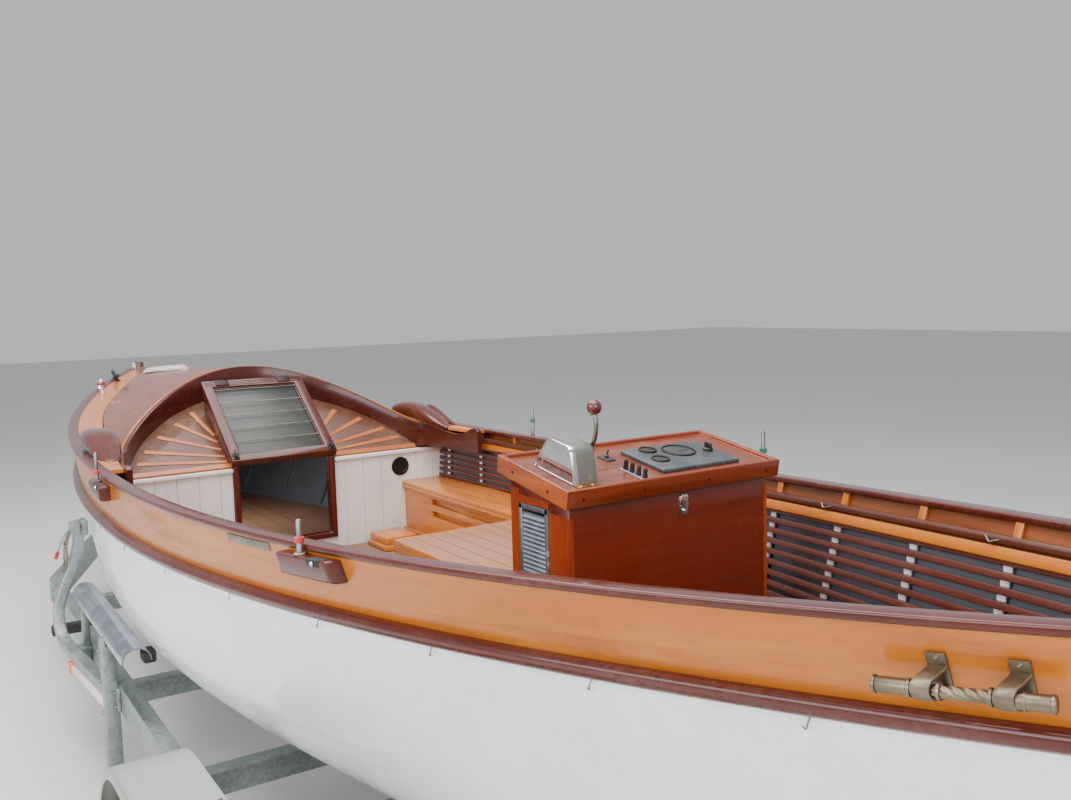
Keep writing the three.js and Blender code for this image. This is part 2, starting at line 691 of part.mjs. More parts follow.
function consoleBody() {
  const wall = 18;
  const drop = (LID_BOARD + 2 * GAP) / Math.cos(LID_TILT);
  const top = (x) => LID_AFT_Z + (x - LID_AFT_X) * Math.tan(LID_TILT) - drop;
  const profile = [[CONSOLE_AFT_X, SOLE_TOP_Z + GAP], [CONSOLE_FORE_X, SOLE_TOP_Z + GAP],
    [CONSOLE_FORE_X, top(CONSOLE_FORE_X)], [CONSOLE_AFT_X, top(CONSOLE_AFT_X)]];
  const inside = block(CONSOLE_AFT_X + wall, CONSOLE_FORE_X - wall, -CONSOLE_HALF + wall,
    CONSOLE_HALF - wall, 600, 1700);
  const vent = block(VENT.aft, VENT.fore, CONSOLE_HALF - wall * 2, CONSOLE_HALF + 20, VENT.low, VENT.high);
  return cut(plateXZ(profile, -CONSOLE_HALF, CONSOLE_HALF), inside, vent);
}

function louvre() {
  const border = 14;
  const pitch = 41;
  const slatDeep = 14;
  const slatHigh = 26;
  const low = VENT.low + GAP;
  const high = VENT.high - GAP;
  const aft = VENT.aft + GAP;
  const fore = VENT.fore - GAP;
  const back = CONSOLE_HALF - 16;
  const frame = cut(block(aft, fore, back, CONSOLE_HALF + 3, low, high),
    block(aft + border, fore - border, back - 5, CONSOLE_HALF + 20, low + border, high - border));
  const slats = [];
  for (let z = low + 22; z < high - slatHigh; z += pitch) {
    slats.push(block(aft + border - 4, fore - border + 4, back + 1, back + 1 + slatDeep, z, z + slatHigh));
  }
  return join(frame, ...slats);
}

function consoleLid() {
  const rim = 14;
  const fiddle = 10;
  const outside = block(0, LID_LONG, -LID_HALF, LID_HALF, -LID_SKIRT + fiddle, fiddle);
  const below = block(rim, LID_LONG - rim, -LID_HALF + rim, LID_HALF - rim, -200, -LID_BOARD);
  const tray = block(rim, LID_LONG - rim, -LID_HALF + rim, LID_HALF - rim, 0, 200);
  return onLid(cut(outside, below, tray));
}

function instrumentPanel() {
  return onLid(block(45, 232, -250, 22, GAP, 12));
}

const CONTROL_Y = 305;

function controlUnit() {
  const profile = [[48, GAP], [236, GAP], [178, 94], [78, 94]];
  return onLid(plateXZ(profile, CONTROL_Y - 73, CONTROL_Y));
}

// Single lever on the inboard side of the control housing.
function controlLever() {
  const y = CONTROL_Y - 87;
  const stick = tube([[112, y, 70], [95, y, 100], [93, y, 140], [106, y, 172]], 5.5, 8, 10);
  const knob = new THREE.SphereGeometry(19.5, 16, 10).translate(107, y, 181);
  const pivot = bar([112, y - 6, 70], [112, CONTROL_Y - 73 - GAP, 70], 13, 12);
  return onLid(join(stick, knob, pivot));
}

// Deck fittings

// Carved chock on the covering board: an inner horn and an outer fin, with the rope's way between them.
function chock(side) {
  const seat = sheerZ(BULKHEAD_X) + DECK_THICK - CAP_THICK;
  const profile = (pairs, y0, y1) => plateXZ(pairs.map(([x, rise]) => [x, seat + rise]), y0, y1);
  const foot = profile([[225, -6], [770, -6], [770, 10], [225, 10]], 826, 914);
  const crest = [[745, 14], [802, 46], [800, 80], [752, 102], [690, 107], [590, 100]];
  const horn = profile([[262, 0], [690, 0], ...crest, [470, 74], [360, 34]], 806, 872);
  const knob = profile([[640, 14], ...crest], 764, 806);
  const fin = profile([[245, -6], [632, -6], [640, 50], [612, 86], [540, 82], [380, 36]], 892, 938);
  const hole = block(570, 650, 780, 880, seat + 14, seat + 40);
  const room = [coveringBoard(DECK_THICK + 2 * GAP, -60), crownShell(DECK_THICK + 2 * GAP, -60),
    gunwaleCap(2 * GAP, 60), archCoaming(2 * GAP)];
  return mirrored(cut(join(foot, horn, knob, fin), hole, ...room), side);
}

const ROWLOCKS = [['aft', -2135, -2135], ['forward', -170, -410]];
const ROWLOCK_HALF = 125;
const ROWLOCK_PIN_AHEAD = 25;

function rowlock(x, side) {
  const half = ROWLOCK_HALF;
  const face = (out) => [x - half, x + half].map((at) => [88, 26].map((drop) => (
    new THREE.Vector3(at, strakeBreadth(at, drop) + out, sheerZ(at) - drop))));
  const pinX = x + ROWLOCK_PIN_AHEAD;
  const pinY = strakeBreadth(pinX, 26) + 22;
  const pin = bar([pinX, pinY, sheerZ(pinX) - 78], [pinX, pinY, sheerZ(pinX) + 124], 9, 12);
  return mirrored(join(slab(face(44), face(GAP * 2.5)), pin), side);
}

const BAR_CLEAT_X = -3707;

// Mooring bar on two brackets, near the stern. It follows the sheer.
function barCleat(side) {
  const drop = 117;
  const outward = 46;
  const centre = (at) => {
    const x = BAR_CLEAT_X + at;
    return [x, strakeBreadth(x, drop) + outward, sheerZ(x) - drop];
  };
  const brackets = [-65, 47].map((at) => {
    const [x, y, z] = centre(at);
    const plate = (out) => [x - 18, x + 18].map((end) => [140, 110, 62].map((level) => (
      new THREE.Vector3(end, strakeBreadth(end, level) + out, sheerZ(end) - level))));
    const face = strakeBreadth(x + 18, drop - 14) + 3;
    return join(slab(plate(8), plate(GAP * 2)), block(x - 18, x + 18, face, y + 17, z - 16, z + 14));
  });
  return mirrored(join(bar(centre(-125), centre(125), 13, 14), ...brackets), side);
}

function sternDeck() {
  const thick = 18;
  const stations = [-4380, -4250, -4100, -3980];
  const edge = stations.map((x) => new THREE.Vector3(x, halfBeam(x) - DECK_EDGE_IN, sheerZ(x) + 10));
  const grid = (drop) => edge.map((p) => [-1, 0, 1].map((share) => (
    new THREE.Vector3(p.x, p.y * share, p.z - drop + (1 - Math.abs(share)) * 10))));
  return seatOnCaps(slab(grid(0), grid(thick)));
}

// Stern gear

// Blade and head in one plank, notched where it hangs on its three pintles.
function rudder() {
  const lead = RUDDER_AXIS_X + RUDDER_LEAD;
  const blade = [[lead, 470], [lead, 1330], [RUDDER_AXIS_X, 1345], [RUDDER_AXIS_X, 1700], [-4640, 1700],
    [-4652, 1330], [-4760, 1000], [-4872, 720], [-4880, 560], [-4820, 470]];
  const room = 6;
  const notches = HANGINGS_Z.map((z) => block(RUDDER_AXIS_X - 20 - room, lead + 40, -40, 40,
    z - HANGING_HALF - room, z + HANGING_HALF + room));
  const pintles = HANGINGS_Z.map((z) => bar([RUDDER_AXIS_X, 0, z - HANGING_HALF - 2 * room],
    [RUDDER_AXIS_X, 0, z + HANGING_HALF + 2 * room], PINTLE_RADIUS, 12));
  return join(cut(plateXZ(blade, -16, 16), ...notches), ...pintles);
}

function tiller() {
  const slotted = tube([[-4655, 0, 1722], [-4400, 0, 1742], [-4100, 0, 1752], [-3760, 0, 1748]], 20, 8, 10);
  const strap = block(-4645, -4556, -19, 19, 1700 + GAP, 1740);
  return join(slotted, strap);
}

function propeller() {
  const hub = bar([-4388, 0, PROP_Z], [-4268, 0, PROP_Z], 28, 16);
  const shaft = bar([-4300, 0, PROP_Z], [APERTURE_FORE_X + 145, 0, PROP_Z], 15, 16);
  const blades = [0, 120, 240].map((turn) => {
    const flat = new THREE.Shape();
    flat.moveTo(-16, 10);
    flat.quadraticCurveTo(-70, 90, -22, PROP_RADIUS);
    flat.quadraticCurveTo(30, PROP_RADIUS, 52, 90);
    flat.quadraticCurveTo(40, 40, 16, 10);
    return extrude(flat, 7).translate(0, 0, -3.5).rotateY(Math.PI / 2 - 0.6)
      .rotateX((turn * Math.PI) / 180 + Math.PI / 2).translate(-4328, 0, PROP_Z);
  });
  return join(hub, shaft, ...blades);
}

// Trailer

const CROSS_BEAMS_X = [-2800, -950, 150, 1750];

function trailerFrame() {
  const half = BEAM_WIDE / 2;
  const pieces = [];
  for (const [, side] of SIDES) {
    const y = side * FRAME_HALF;
    pieces.push(block(-2900, 1900, y - half, y + half, FRAME_LOW_Z, FRAME_HIGH_Z));
    pieces.push(plateXY([[1850, y - half * side], [1850, y + half * side], [1920, y + half * side],
      [4260, side * 85], [4260, side * 20]], FRAME_LOW_Z, FRAME_HIGH_Z));
  }
  for (const x of CROSS_BEAMS_X) {
    pieces.push(block(x - 40, x + 40, -FRAME_HALF - half, FRAME_HALF + half, 250, FRAME_LOW_Z + 10));
  }
  pieces.push(block(4050, 4700, -50, 50, FRAME_LOW_Z, FRAME_HIGH_Z));
  pieces.push(block(4650, 4800, -38, 38, 350, 430));
  pieces.push(bar([COUPLING_X - 55, 0, 345], [COUPLING_X - 55, 0, 440], 55, 20));
  pieces.push(block(4560, 4740, -18, 18, 440, 520));
  pieces.push(bar([4480, 110, 300], [4480, 110, 780], 30, 16));
  pieces.push(block(4450, 4510, 40, 110, 350, 430));
  return join(...pieces);
}

function axle(x) {
  const pieces = [block(x - 35, x + 35, -985, 985, 250, FRAME_LOW_Z - GAP)];
  for (const [, side] of SIDES) {
    const inner = side * 976;
    const outer = side * 1000;
    pieces.push(block(x - 45, x + 45, Math.min(inner, outer), Math.max(inner, outer), 255, 372));
    pieces.push(bar([x, inner, WHEEL_RADIUS], [x, side * (WHEEL_Y + 30), WHEEL_RADIUS], 20, 16));
  }
  return join(...pieces);
}

// Tyre and pressed rim in one turning piece, bored for the stub axle.
function wheel(x, side) {
  const half = WHEEL_WIDE / 2;
  const profile = [[21, -60], [90, -60], [100, 0], [160, 10], [168, -70], [200, -half], [274, -half],
    [301, -half + 18], [WHEEL_RADIUS, -half + 45], [WHEEL_RADIUS, half - 45], [301, half - 18],
    [274, half], [200, half], [168, 60], [150, 40], [90, 35], [70, 62], [21, 62], [21, -60]];
  return new THREE.LatheGeometry(profile.map(([r, w]) => new THREE.Vector2(r, w)), 28)
    .translate(x, side * WHEEL_Y, WHEEL_RADIUS);
}

function mudguard(side) {
  const reach = 360;
  const top = WHEEL_RADIUS + reach + 10;
  const inner = 1000;
  const outer = 1235;
  const thick = 5;
  const aft = AXLES_X[0];
  const fore = AXLES_X[1];
  const arc = (cx, from, to, radius) => [0, 0.25, 0.5, 0.75, 1].map((share) => {
    const turn = ((from + (to - from) * share) * Math.PI) / 180;
    return [cx + radius * Math.cos(turn), WHEEL_RADIUS + radius * Math.sin(turn)];
  });
  const ring = (radius) => [...arc(aft, 172, 90, radius), ...arc(fore, 90, 8, radius)];
  const cover = plateXZ([...ring(reach + thick), ...ring(reach).reverse()], inner, outer);
  const flange = plateXZ([...ring(reach + thick), ...ring(reach - 30).reverse()], outer - thick, outer);
  const stay = block(-1930, -1870, FRAME_HALF + BEAM_WIDE / 2 + GAP, inner, 380, 440);
  const post = block(-1930, -1870, inner - 12, inner - GAP, 380, top - 20);
  const tab = block(-1930, -1870, inner - 12, inner + 60, top - 26, top - 8);
  return mirrored(join(cover, flange, post, tab, stay), side);
}

// Side support: a leg beside the frame and a short post carry the half-round bilge bunk, and a bent bar
// runs forward from the leg and up to a pad at the hull's side.
const BUNK_Y = 960;
const BUNK_Z = 652;
const BUNK_RADIUS = 58;
const BENT_BAR = [[-120, 1000, 420], [200, 1025, 420], [520, 1052, 424], [690, 1069, 450], [748, 1072, 553],
  [750, 1046, 654], [750, 976, 823], [750, 948, 985]];

function sideSupport(side) {
  const railFace = FRAME_HALF + BEAM_WIDE / 2 + GAP;
  const arc = (radius) => Array.from({ length: 11 }, (_, i) => {
    const turn = (i / 10) * Math.PI;
    return [BUNK_Y + radius * Math.cos(turn), BUNK_Z + radius * Math.sin(turn)];
  });
  const thick = 6;
  const inner = BUNK_RADIUS - thick;
  const shell = plateYZ([...arc(BUNK_RADIUS), ...arc(inner).reverse()], -520, 660);
  const under = BUNK_Z - 32;
  const half = inner + 3;
  const web = (x0, x1) => plateYZ([[BUNK_Y + half, under], ...arc(half), [BUNK_Y - half, under]], x0, x1);
  const leg = block(-150, -90, railFace, 1031, 0, BUNK_Z + 4);
  const clamp = block(-180, -60, railFace, 985, 340, 440);
  const post = block(500, 540, railFace, 1004, 345, BUNK_Z + 4);
  const lug = block(480, 560, railFace, 1048, 400, 440);
  const pad = block(705, 795, 914, 950, 925, 1005);
  return mirrored(join(tube(BENT_BAR, 28, 12, 30), shell, web(-150, -90), web(500, 540), leg, clamp, post,
    lug, pad), side);
}

function winchPost() {
  const post = block(4180, 4240, -30, 30, FRAME_HIGH_Z + GAP, 1280);
  const foot = block(4150, 4270, -45, 45, FRAME_HIGH_Z + GAP, FRAME_HIGH_Z + 20);
  const arm = block(3800, 4200, -22, 22, 1090, 1135);
  const drum = bar([4210, -85, 1310], [4210, 85, 1310], 38, 16);
  const cheeks = [-60, 54].map((y) => block(4160, 4260, y, y + 6, 1240, 1370));
  const crank = tube([[4210, 85, 1310], [4210, 112, 1310], [4195, 118, 1240], [4180, 122, 1150]], 8, 8, 10);
  const grip = bar([4180, 118, 1150], [4180, 225, 1150], 15, 12);
  return join(post, foot, arm, drum, ...cheeks, crank, grip);
}

function bowStop() {
  return plateXY([[3718, 25], [3700, 90], [3799, 60], [3799.7, -60], [3700, -90], [3718, -25]], 1070, 1150);
}

function keelRoller(x) {
  const centre = KEEL_BOTTOM_Z - 40 - GAP;
  const roll = bar([x, -80, centre], [x, 80, centre], 40, 18);
  const ears = [-88, 82].map((y) => block(x - 28, x + 28, y, y + 6, FRAME_LOW_Z + 10 + GAP, centre + 22));
  const pin = bar([x, -95, centre], [x, 95, centre], 9, 10);
  return join(roll, ...ears, pin);
}

const JOCKEY_X = 4480;
const JOCKEY_Y = 110;

function jockeyFork() {
  const stemPiece = bar([JOCKEY_X, JOCKEY_Y, 255], [JOCKEY_X, JOCKEY_Y, 299.5], 22, 16);
  const crown = block(JOCKEY_X - 75, JOCKEY_X + 25, JOCKEY_Y - 42, JOCKEY_Y + 42, 240, 260);
  const cheeks = [-42, 34].map((y) => plateXZ([[JOCKEY_X - 75, 250], [JOCKEY_X + 5, 250],
    [JOCKEY_X - 35, 85], [JOCKEY_X - 65, 85]], JOCKEY_Y + y, JOCKEY_Y + y + 8));
  const pin = bar([JOCKEY_X - 50, JOCKEY_Y - 41, 100], [JOCKEY_X - 50, JOCKEY_Y + 41, 100], 8, 12);
  return join(stemPiece, crown, ...cheeks, pin);
}

function jockeyWheel() {
  const profile = [[8.6, -27], [40, -27], [44, -16], [62, -18], [70, -27], [88, -26], [100, -14], [100, 14],
    [88, 26], [70, 27], [62, 18], [44, 16], [40, 27], [8.6, 27], [8.6, -27]];
  return new THREE.LatheGeometry(profile.map(([r, w]) => new THREE.Vector2(r, w)), 24)
    .translate(JOCKEY_X - 50, JOCKEY_Y, 100);
}

// Assembly

for (const [name, side] of SIDES) {
  add(boat, `planking_${name}`, 'white', mirrored(planking(), side));
  add(boat, `top_strake_${name}`, 'honey', mirrored(topStrake(), side));
  add(boat, `rub_rail_${name}`, 'mahogany', mirrored(rubRail(), side));
  add(boat, `gunwale_cap_${name}`, 'mahogany', mirrored(gunwaleCap(), side));
  add(boat, `fan_panel_${name}`, 'teak', mirrored(mergeVertices(fanPanel()), side));
  add(boat, `side_bench_${name}`, 'honey', mirrored(sideBench(), side));
  add(boat, `chock_${name}`, 'mahogany', chock(side));
  for (const [place, portX, starboardX] of ROWLOCKS) {
    add(boat, `rowlock_${place}_${name}`, 'mahogany', rowlock(side > 0 ? portX : starboardX, side));
  }
  add(boat, `bar_cleat_${name}`, 'steel', barCleat(side));
}
add(boat, 'keel', 'white', keelAndPost());
add(boat, 'stem', 'white', stem());
add(boat, 'foredeck', 'honey', foredeck());
add(boat, 'arch_coaming', 'mahogany', archCoaming());
add(boat, 'bulkhead', 'white', bulkhead());
add(boat, 'door_frame', 'mahogany', doorFrame());
add(boat, 'hatch_curb', 'mahogany', hatchCurb());
add(boat, 'hatch_frame', 'mahogany', hatchFrame());
add(boat, 'hatch_glass', 'glass', hatchGlass());
add(boat, 'sole', 'teak', sole());
add(boat, 'engine_box', 'teak', engineBox());
add(boat, 'engine', 'engine', block(-2200, -1650, -180, 180, SOLE_TOP_Z + GAP, 1150));
add(boat, 'console_body', 'mahogany', consoleBody());
add(boat, 'console_lid', 'honey', consoleLid());
add(boat, 'console_louvre', 'steel', louvre());
add(boat, 'instrument_panel', 'panel', instrumentPanel());
add(boat, 'control_unit', 'chrome', controlUnit());
add(boat, 'control_lever', 'chrome', controlLever());
add(boat, 'stern_deck', 'honey', sternDeck());
add(boat, 'rudder', 'mahogany', rudder());
add(boat, 'tiller', 'honey', tiller());
add(boat, 'propeller', 'bronze', propeller());

add(trailer, 'trailer_frame', 'galvanised', trailerFrame());
AXLES_X.forEach((x, i) => {
  const place = ['rear', 'front'][i];
  add(trailer, `axle_${place}`, 'galvanised', axle(x));
  for (const [name, side] of SIDES) {
    add(trailer, `wheel_${place}_${name}`, 'rubber', wheel(x, side));
  }
});
for (const [name, side] of SIDES) {
  add(trailer, `mudguard_${name}`, 'galvanised', mudguard(side));
  add(trailer, `side_support_${name}`, 'galvanised', sideSupport(side));
}
add(trailer, 'winch_post', 'galvanised', winchPost());
add(trailer, 'bow_stop', 'rubber', bowStop());
[CROSS_BEAMS_X[0], CROSS_BEAMS_X[2], CROSS_BEAMS_X[3]].forEach((x, i) => {
  add(trailer, `keel_roller_${i + 1}`, 'rubber', keelRoller(x));
});
add(trailer, 'jockey_fork', 'galvanised', jockeyFork());
add(trailer, 'jockey_wheel', 'rubber', jockeyWheel());

const outfit = new THREE.Group();
outfit.add(boat, trailer);

export default outfit;
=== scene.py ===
# %% [markdown]
# An open wooden lifeboat stands on its road trailer. Its exact solids come in as a fixed frame, in metres:
# +X to the bow, +Y to port, +Z up. Everything below is placed in that frame, so each smooth piece lies
# where its solid lies. The same sizes are repeated here as named values, because a boat's shape is a few
# formulas, and a formula can be sampled as finely as a smooth hull needs.

# %% Load the frame
import json
import math

import bmesh
import bpy
import numpy as np
from mathutils import Matrix, Vector

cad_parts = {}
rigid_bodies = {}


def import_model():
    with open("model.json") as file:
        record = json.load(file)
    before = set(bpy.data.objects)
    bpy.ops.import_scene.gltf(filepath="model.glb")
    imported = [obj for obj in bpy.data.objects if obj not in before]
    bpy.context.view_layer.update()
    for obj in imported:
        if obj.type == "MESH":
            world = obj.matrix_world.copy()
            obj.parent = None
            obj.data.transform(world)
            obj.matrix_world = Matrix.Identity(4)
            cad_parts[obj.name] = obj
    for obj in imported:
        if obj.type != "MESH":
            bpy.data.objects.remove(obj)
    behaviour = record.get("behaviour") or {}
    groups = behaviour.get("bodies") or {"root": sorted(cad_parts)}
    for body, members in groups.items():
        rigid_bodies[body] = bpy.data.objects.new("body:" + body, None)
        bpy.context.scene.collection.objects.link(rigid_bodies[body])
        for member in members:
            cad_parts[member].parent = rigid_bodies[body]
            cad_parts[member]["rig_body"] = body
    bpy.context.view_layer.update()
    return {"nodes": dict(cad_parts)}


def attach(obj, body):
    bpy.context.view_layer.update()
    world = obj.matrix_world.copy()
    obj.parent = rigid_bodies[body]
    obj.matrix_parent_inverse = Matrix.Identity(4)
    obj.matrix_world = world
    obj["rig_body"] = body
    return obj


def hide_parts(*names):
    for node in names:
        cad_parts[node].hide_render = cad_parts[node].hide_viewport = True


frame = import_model()

# %% [markdown]
# Most pieces are built from points and faces. A shape is a pair of lists, and a few helpers make the
# shapes that a boat needs: a shell between two grids, a profile swept along a line, a turned profile and
# a board with rounded edges. One could draw each by hand in the viewport; code is chosen, because the
# same rail then follows the same sheer on both sides.

# %% Shapes from points and faces
SIDES = (("port", 1), ("starboard", -1))


def joined(*shapes):
    """Several shapes as one."""
    verts, faces = [], []
    for points, polygons in shapes:
        start = len(verts)
        verts += [tuple(p) for p in points]
        faces += [tuple(start + i for i in f) for f in polygons]
    return verts, faces


def mirrored(shape, side=-1):
    return shape if side > 0 else ([(x, -y, z) for x, y, z in shape[0]],
                                   [tuple(reversed(f)) for f in shape[1]])


def moved(shape, matrix):
    return [tuple(matrix @ Vector(p)) for p in shape[0]], shape[1]


def shell(top, bottom):
    """A closed shell between two grids of points with the same rows and columns. Top faces come first."""
    rows, cols = len(top), len(top[0])
    verts = [tuple(p) for row in top for p in row] + [tuple(p) for row in bottom for p in row]
    at = lambda layer, r, c: layer * rows * cols + r * cols + c
    faces = [(at(0, r, c), at(0, r + 1, c), at(0, r + 1, c + 1), at(0, r, c + 1))
             for r in range(rows - 1) for c in range(cols - 1)]
    faces += [(at(1, r, c), at(1, r, c + 1), at(1, r + 1, c + 1), at(1, r + 1, c))
              for r in range(rows - 1) for c in range(cols - 1)]
    for r in range(rows - 1):
        faces += [(at(0, r, 0), at(1, r, 0), at(1, r + 1, 0), at(0, r + 1, 0)),
                  (at(0, r, cols - 1), at(0, r + 1, cols - 1), at(1, r + 1, cols - 1), at(1, r, cols - 1))]
    for c in range(cols - 1):
        faces += [(at(0, 0, c), at(0, 0, c + 1), at(1, 0, c + 1), at(1, 0, c)),
                  (at(0, rows - 1, c), at(1, rows - 1, c), at(1, rows - 1, c + 1), at(0, rows - 1, c + 1))]
    return verts, faces


def rings(sections, closed=True):
    """A tube through sections of equal size, with its ends closed."""
    count = len(sections[0])
    verts = [tuple(p) for section in sections for p in section]
    faces = []
    for r in range(len(sections) - 1):
        for c in range(count):
            n = (c + 1) % count
            faces.append((r * count + c, r * count + n, (r + 1) * count + n, (r + 1) * count + c))
    if closed:
        faces.append(tuple(range(count)))
        faces.append(tuple(reversed(range((len(sections) - 1) * count, len(sections) * count))))
    return verts, faces


def swept(path, profile, up=(0, 0, 1), scale=None):
    """A profile of (side, up) pairs along a path. Its up stays as near the given up as the path lets it."""
    path = [Vector(p) for p in path]
    sections = []
    for i, p in enumerate(path):
        ahead = (path[min(i + 1, len(path) - 1)] - path[max(i - 1, 0)]).normalized()
        side = ahead.cross(Vector(up)).normalized()
        top = side.cross(ahead).normalized()
        size = scale[i] if scale else 1
        sections.append([p + side * a * size + top * b * size for a, b in profile])
    return rings(sections)


def circle(radius, count=12, squeeze=1.0):
    return [(radius * math.cos(2 * math.pi * i / count),
             squeeze * radius * math.sin(2 * math.pi * i / count))
            for i in range(count)]


def smooth_path(points, steps=6):
    """Points along a soft curve through the given points."""
    points = [Vector(p) for p in points]
    padded = [points[0] * 2 - points[1], *points, points[-1] * 2 - points[-2]]
    path = []
    for a, b, c, d in zip(padded, padded[1:], padded[2:], padded[3:]):
        for i in range(steps):
            t = i / steps
            path.append(0.5 * ((2 * b) + (c - a) * t + (2 * a - 5 * b + 4 * c - d) * t * t
                               + (3 * b - a - 3 * c + d) * t ** 3))
    return path + [points[-1]]


def rod(a, b, radius, count=14, ease=0.0015):
    """A round bar between two points with slightly rounded ends."""
    a, b = Vector(a), Vector(b)
    ahead = (b - a).normalized()
    ease = min(ease, radius * 0.6)
    path = [a, a + ahead * ease, b - ahead * ease, b]
    up = (0, 0, 1) if abs(ahead.z) < 0.9 else (1, 0, 0)
    return swept(path, circle(radius, count), up, [1 - ease / radius, 1, 1, 1 - ease / radius])


def turned(profile, centre, axis="Y", count=48):
    """A closed profile of (radius, along) pairs turned about an axis."""
    pick = {"X": lambda r, a, c, s: (a, r * c, r * s), "Y": lambda r, a, c, s: (r * c, a, r * s),
            "Z": lambda r, a, c, s: (r * c, r * s, a)}[axis]
    verts, faces = [], []
    for i in range(count):
        turn = 2 * math.pi * i / count
        c, s = math.cos(turn), math.sin(turn)
        verts += [tuple(Vector(pick(r, a, c, s)) + Vector(centre)) for r, a in profile]
    n = len(profile)
    for i in range(count):
        j = (i + 1) % count
        for k in range(n):
            m = (k + 1) % n
            if profile[k][0] > 1e-6 or profile[m][0] > 1e-6:
                faces.append((i * n + k, i * n + m, j * n + m, j * n + k))
    return verts, faces


def board(x0, x1, y0, y1, z0, z1, edge=0.003, steps=2):
    """A plank with rounded edges and corners."""
    bm = bmesh.new()
    bmesh.ops.create_cube(bm, size=1)
    for v in bm.verts:
        v.co = Vector((x0 if v.co.x < 0 else x1, y0 if v.co.y < 0 else y1, z0 if v.co.z < 0 else z1))
    edge = min(edge, 0.48 * min(x1 - x0, y1 - y0, z1 - z0))
    bmesh.ops.bevel(bm, geom=bm.edges[:], offset=edge, segments=steps, affect="EDGES", profile=0.5)
    shape = [tuple(v.co) for v in bm.verts], [tuple(v.index for v in f.verts) for f in bm.faces]
    bm.free()
    return shape


def plate(pairs, low, high, plane="XZ", edge=0.002, steps=2):
    """A flat outline with rounded edges, from low to high across its plane."""
    place = {"XZ": lambda a, b, t: (a, t, b), "YZ": lambda a, b, t: (t, a, b),
             "XY": lambda a, b, t: (a, b, t)}[plane]
    bm = bmesh.new()
    ends = [[bm.verts.new(place(a, b, t)) for a, b in pairs] for t in (low, high)]
    count = len(pairs)
    bm.faces.new(ends[0])
    bm.faces.new(list(reversed(ends[1])))
    for i in range(count):
        j = (i + 1) % count
        bm.faces.new((ends[0][j], ends[0][i], ends[1][i], ends[1][j]))
    bmesh.ops.recalc_face_normals(bm, faces=bm.faces[:])
    if edge > 0:
        sharp = [e for e in bm.edges if e.calc_face_angle(0) > math.radians(25)]
        bmesh.ops.bevel(bm, geom=sharp, offset=edge, segments=steps, affect="EDGES", profile=0.5,
                        clamp_overlap=True)
    bm.verts.index_update()
    shape = [tuple(v.co) for v in bm.verts], [tuple(v.index for v in f.verts) for f in bm.faces]
    bm.free()
    return shape


def in_scene(name, mesh):
    """A new object at the origin."""
    obj = bpy.data.objects.new(name, mesh)
    bpy.context.scene.collection.objects.link(obj)
    return obj


def settled(obj):
    """Keeps what an object's modifiers make of it as its plain mesh."""
    bpy.context.view_layer.update()
    made = bpy.data.meshes.new_from_object(obj.evaluated_get(bpy.context.evaluated_depsgraph_get()))
    obj.modifiers.clear()
    obj.data = made
    return made


def dressed(obj, body="root", stands_for=()):
    """Sets the body a piece rides on and hides the nodes it stands for."""
    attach(obj, body)
    if stands_for:
        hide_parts(*([stands_for] if isinstance(stands_for, str) else stands_for))
    return obj


def outward(mesh, angle=35):
    """Turns each face outwards and shades the mesh smooth up to an angle."""
    bm = bmesh.new()
    bm.from_mesh(mesh)
    bmesh.ops.remove_doubles(bm, verts=bm.verts[:], dist=1e-6)
    bmesh.ops.dissolve_degenerate(bm, edges=bm.edges[:], dist=1e-7)
    bmesh.ops.recalc_face_normals(bm, faces=bm.faces[:])
    bm.to_mesh(mesh)
    bm.free()
    mesh.shade_smooth()
    mesh.set_sharp_from_angle(angle=math.radians(angle))
    return mesh


def piece(name, shape, finish, slot, body="root", stands_for=(), angle=35, along=None, inner=None,
          inner_from=None):
    """A named piece of one shape. along gives each corner's place in the grain as (along, across).
    Faces from number inner_from on take the inner finish."""
    mesh = bpy.data.meshes.new(name)
    mesh.from_pydata([tuple(v) for v in shape[0]], [], shape[1])
    mesh.materials.append(finish)
    if inner is not None:
        mesh.materials.append(inner)
        for i in range(inner_from, len(mesh.polygons)):
            mesh.polygons[i].material_index = 1
    if along is not None:
        layer = mesh.uv_layers.new(name="grain")
        for loop in mesh.loops:
            layer.data[loop.index].uv = along[loop.vertex_index]
    return dressed(in_scene(name, outward(mesh, angle)), body, stands_for)


print("shape helpers ready")

# %% [markdown]
# Many solids have the right shape, but their edges are as sharp as a drawing. Real boards and welded
# steel have a small radius that catches the light. A merged copy of the solid gets a Bevel modifier, and
# the copy stands for the node. Modelling each again would give the same shape with more work.

# %% Solids with soft edges
def softened(node, finish, width=0.002, body=None, name=None, angle=35, steps=2):
    """A copy of a node with rounded edges, which stands for it."""
    source = frame["nodes"][node]
    body = body or source["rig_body"]
    bm = bmesh.new()
    bm.from_mesh(source.data)
    bmesh.ops.remove_doubles(bm, verts=bm.verts[:], dist=2e-5)
    bmesh.ops.dissolve_limit(bm, angle_limit=math.radians(0.6), verts=bm.verts[:], edges=bm.edges[:])
    mesh = bpy.data.meshes.new(name or node + "_soft")
    bm.to_mesh(mesh)
    bm.free()
    mesh.materials.clear()
    mesh.materials.append(finish)
    obj = in_scene(name or node + "_soft", mesh)
    bevel = obj.modifiers.new("edges", "BEVEL")
    bevel.width, bevel.segments, bevel.limit_method = width, steps, "ANGLE"
    bevel.angle_limit = math.radians(28)
    bevel.use_clamp_overlap = True
    made = settled(obj)
    made.shade_smooth()
    made.set_sharp_from_angle(angle=math.radians(angle))
    return dressed(obj, body, node)


print("soft edges ready")

# %% [markdown]
# Finishes are built from a few shared effects. Each effect is a shader node group with named inputs, so
# that every wood uses the same grain with its own colours. A group only gives colours and numbers; the
# shader that they feed stays in each material.

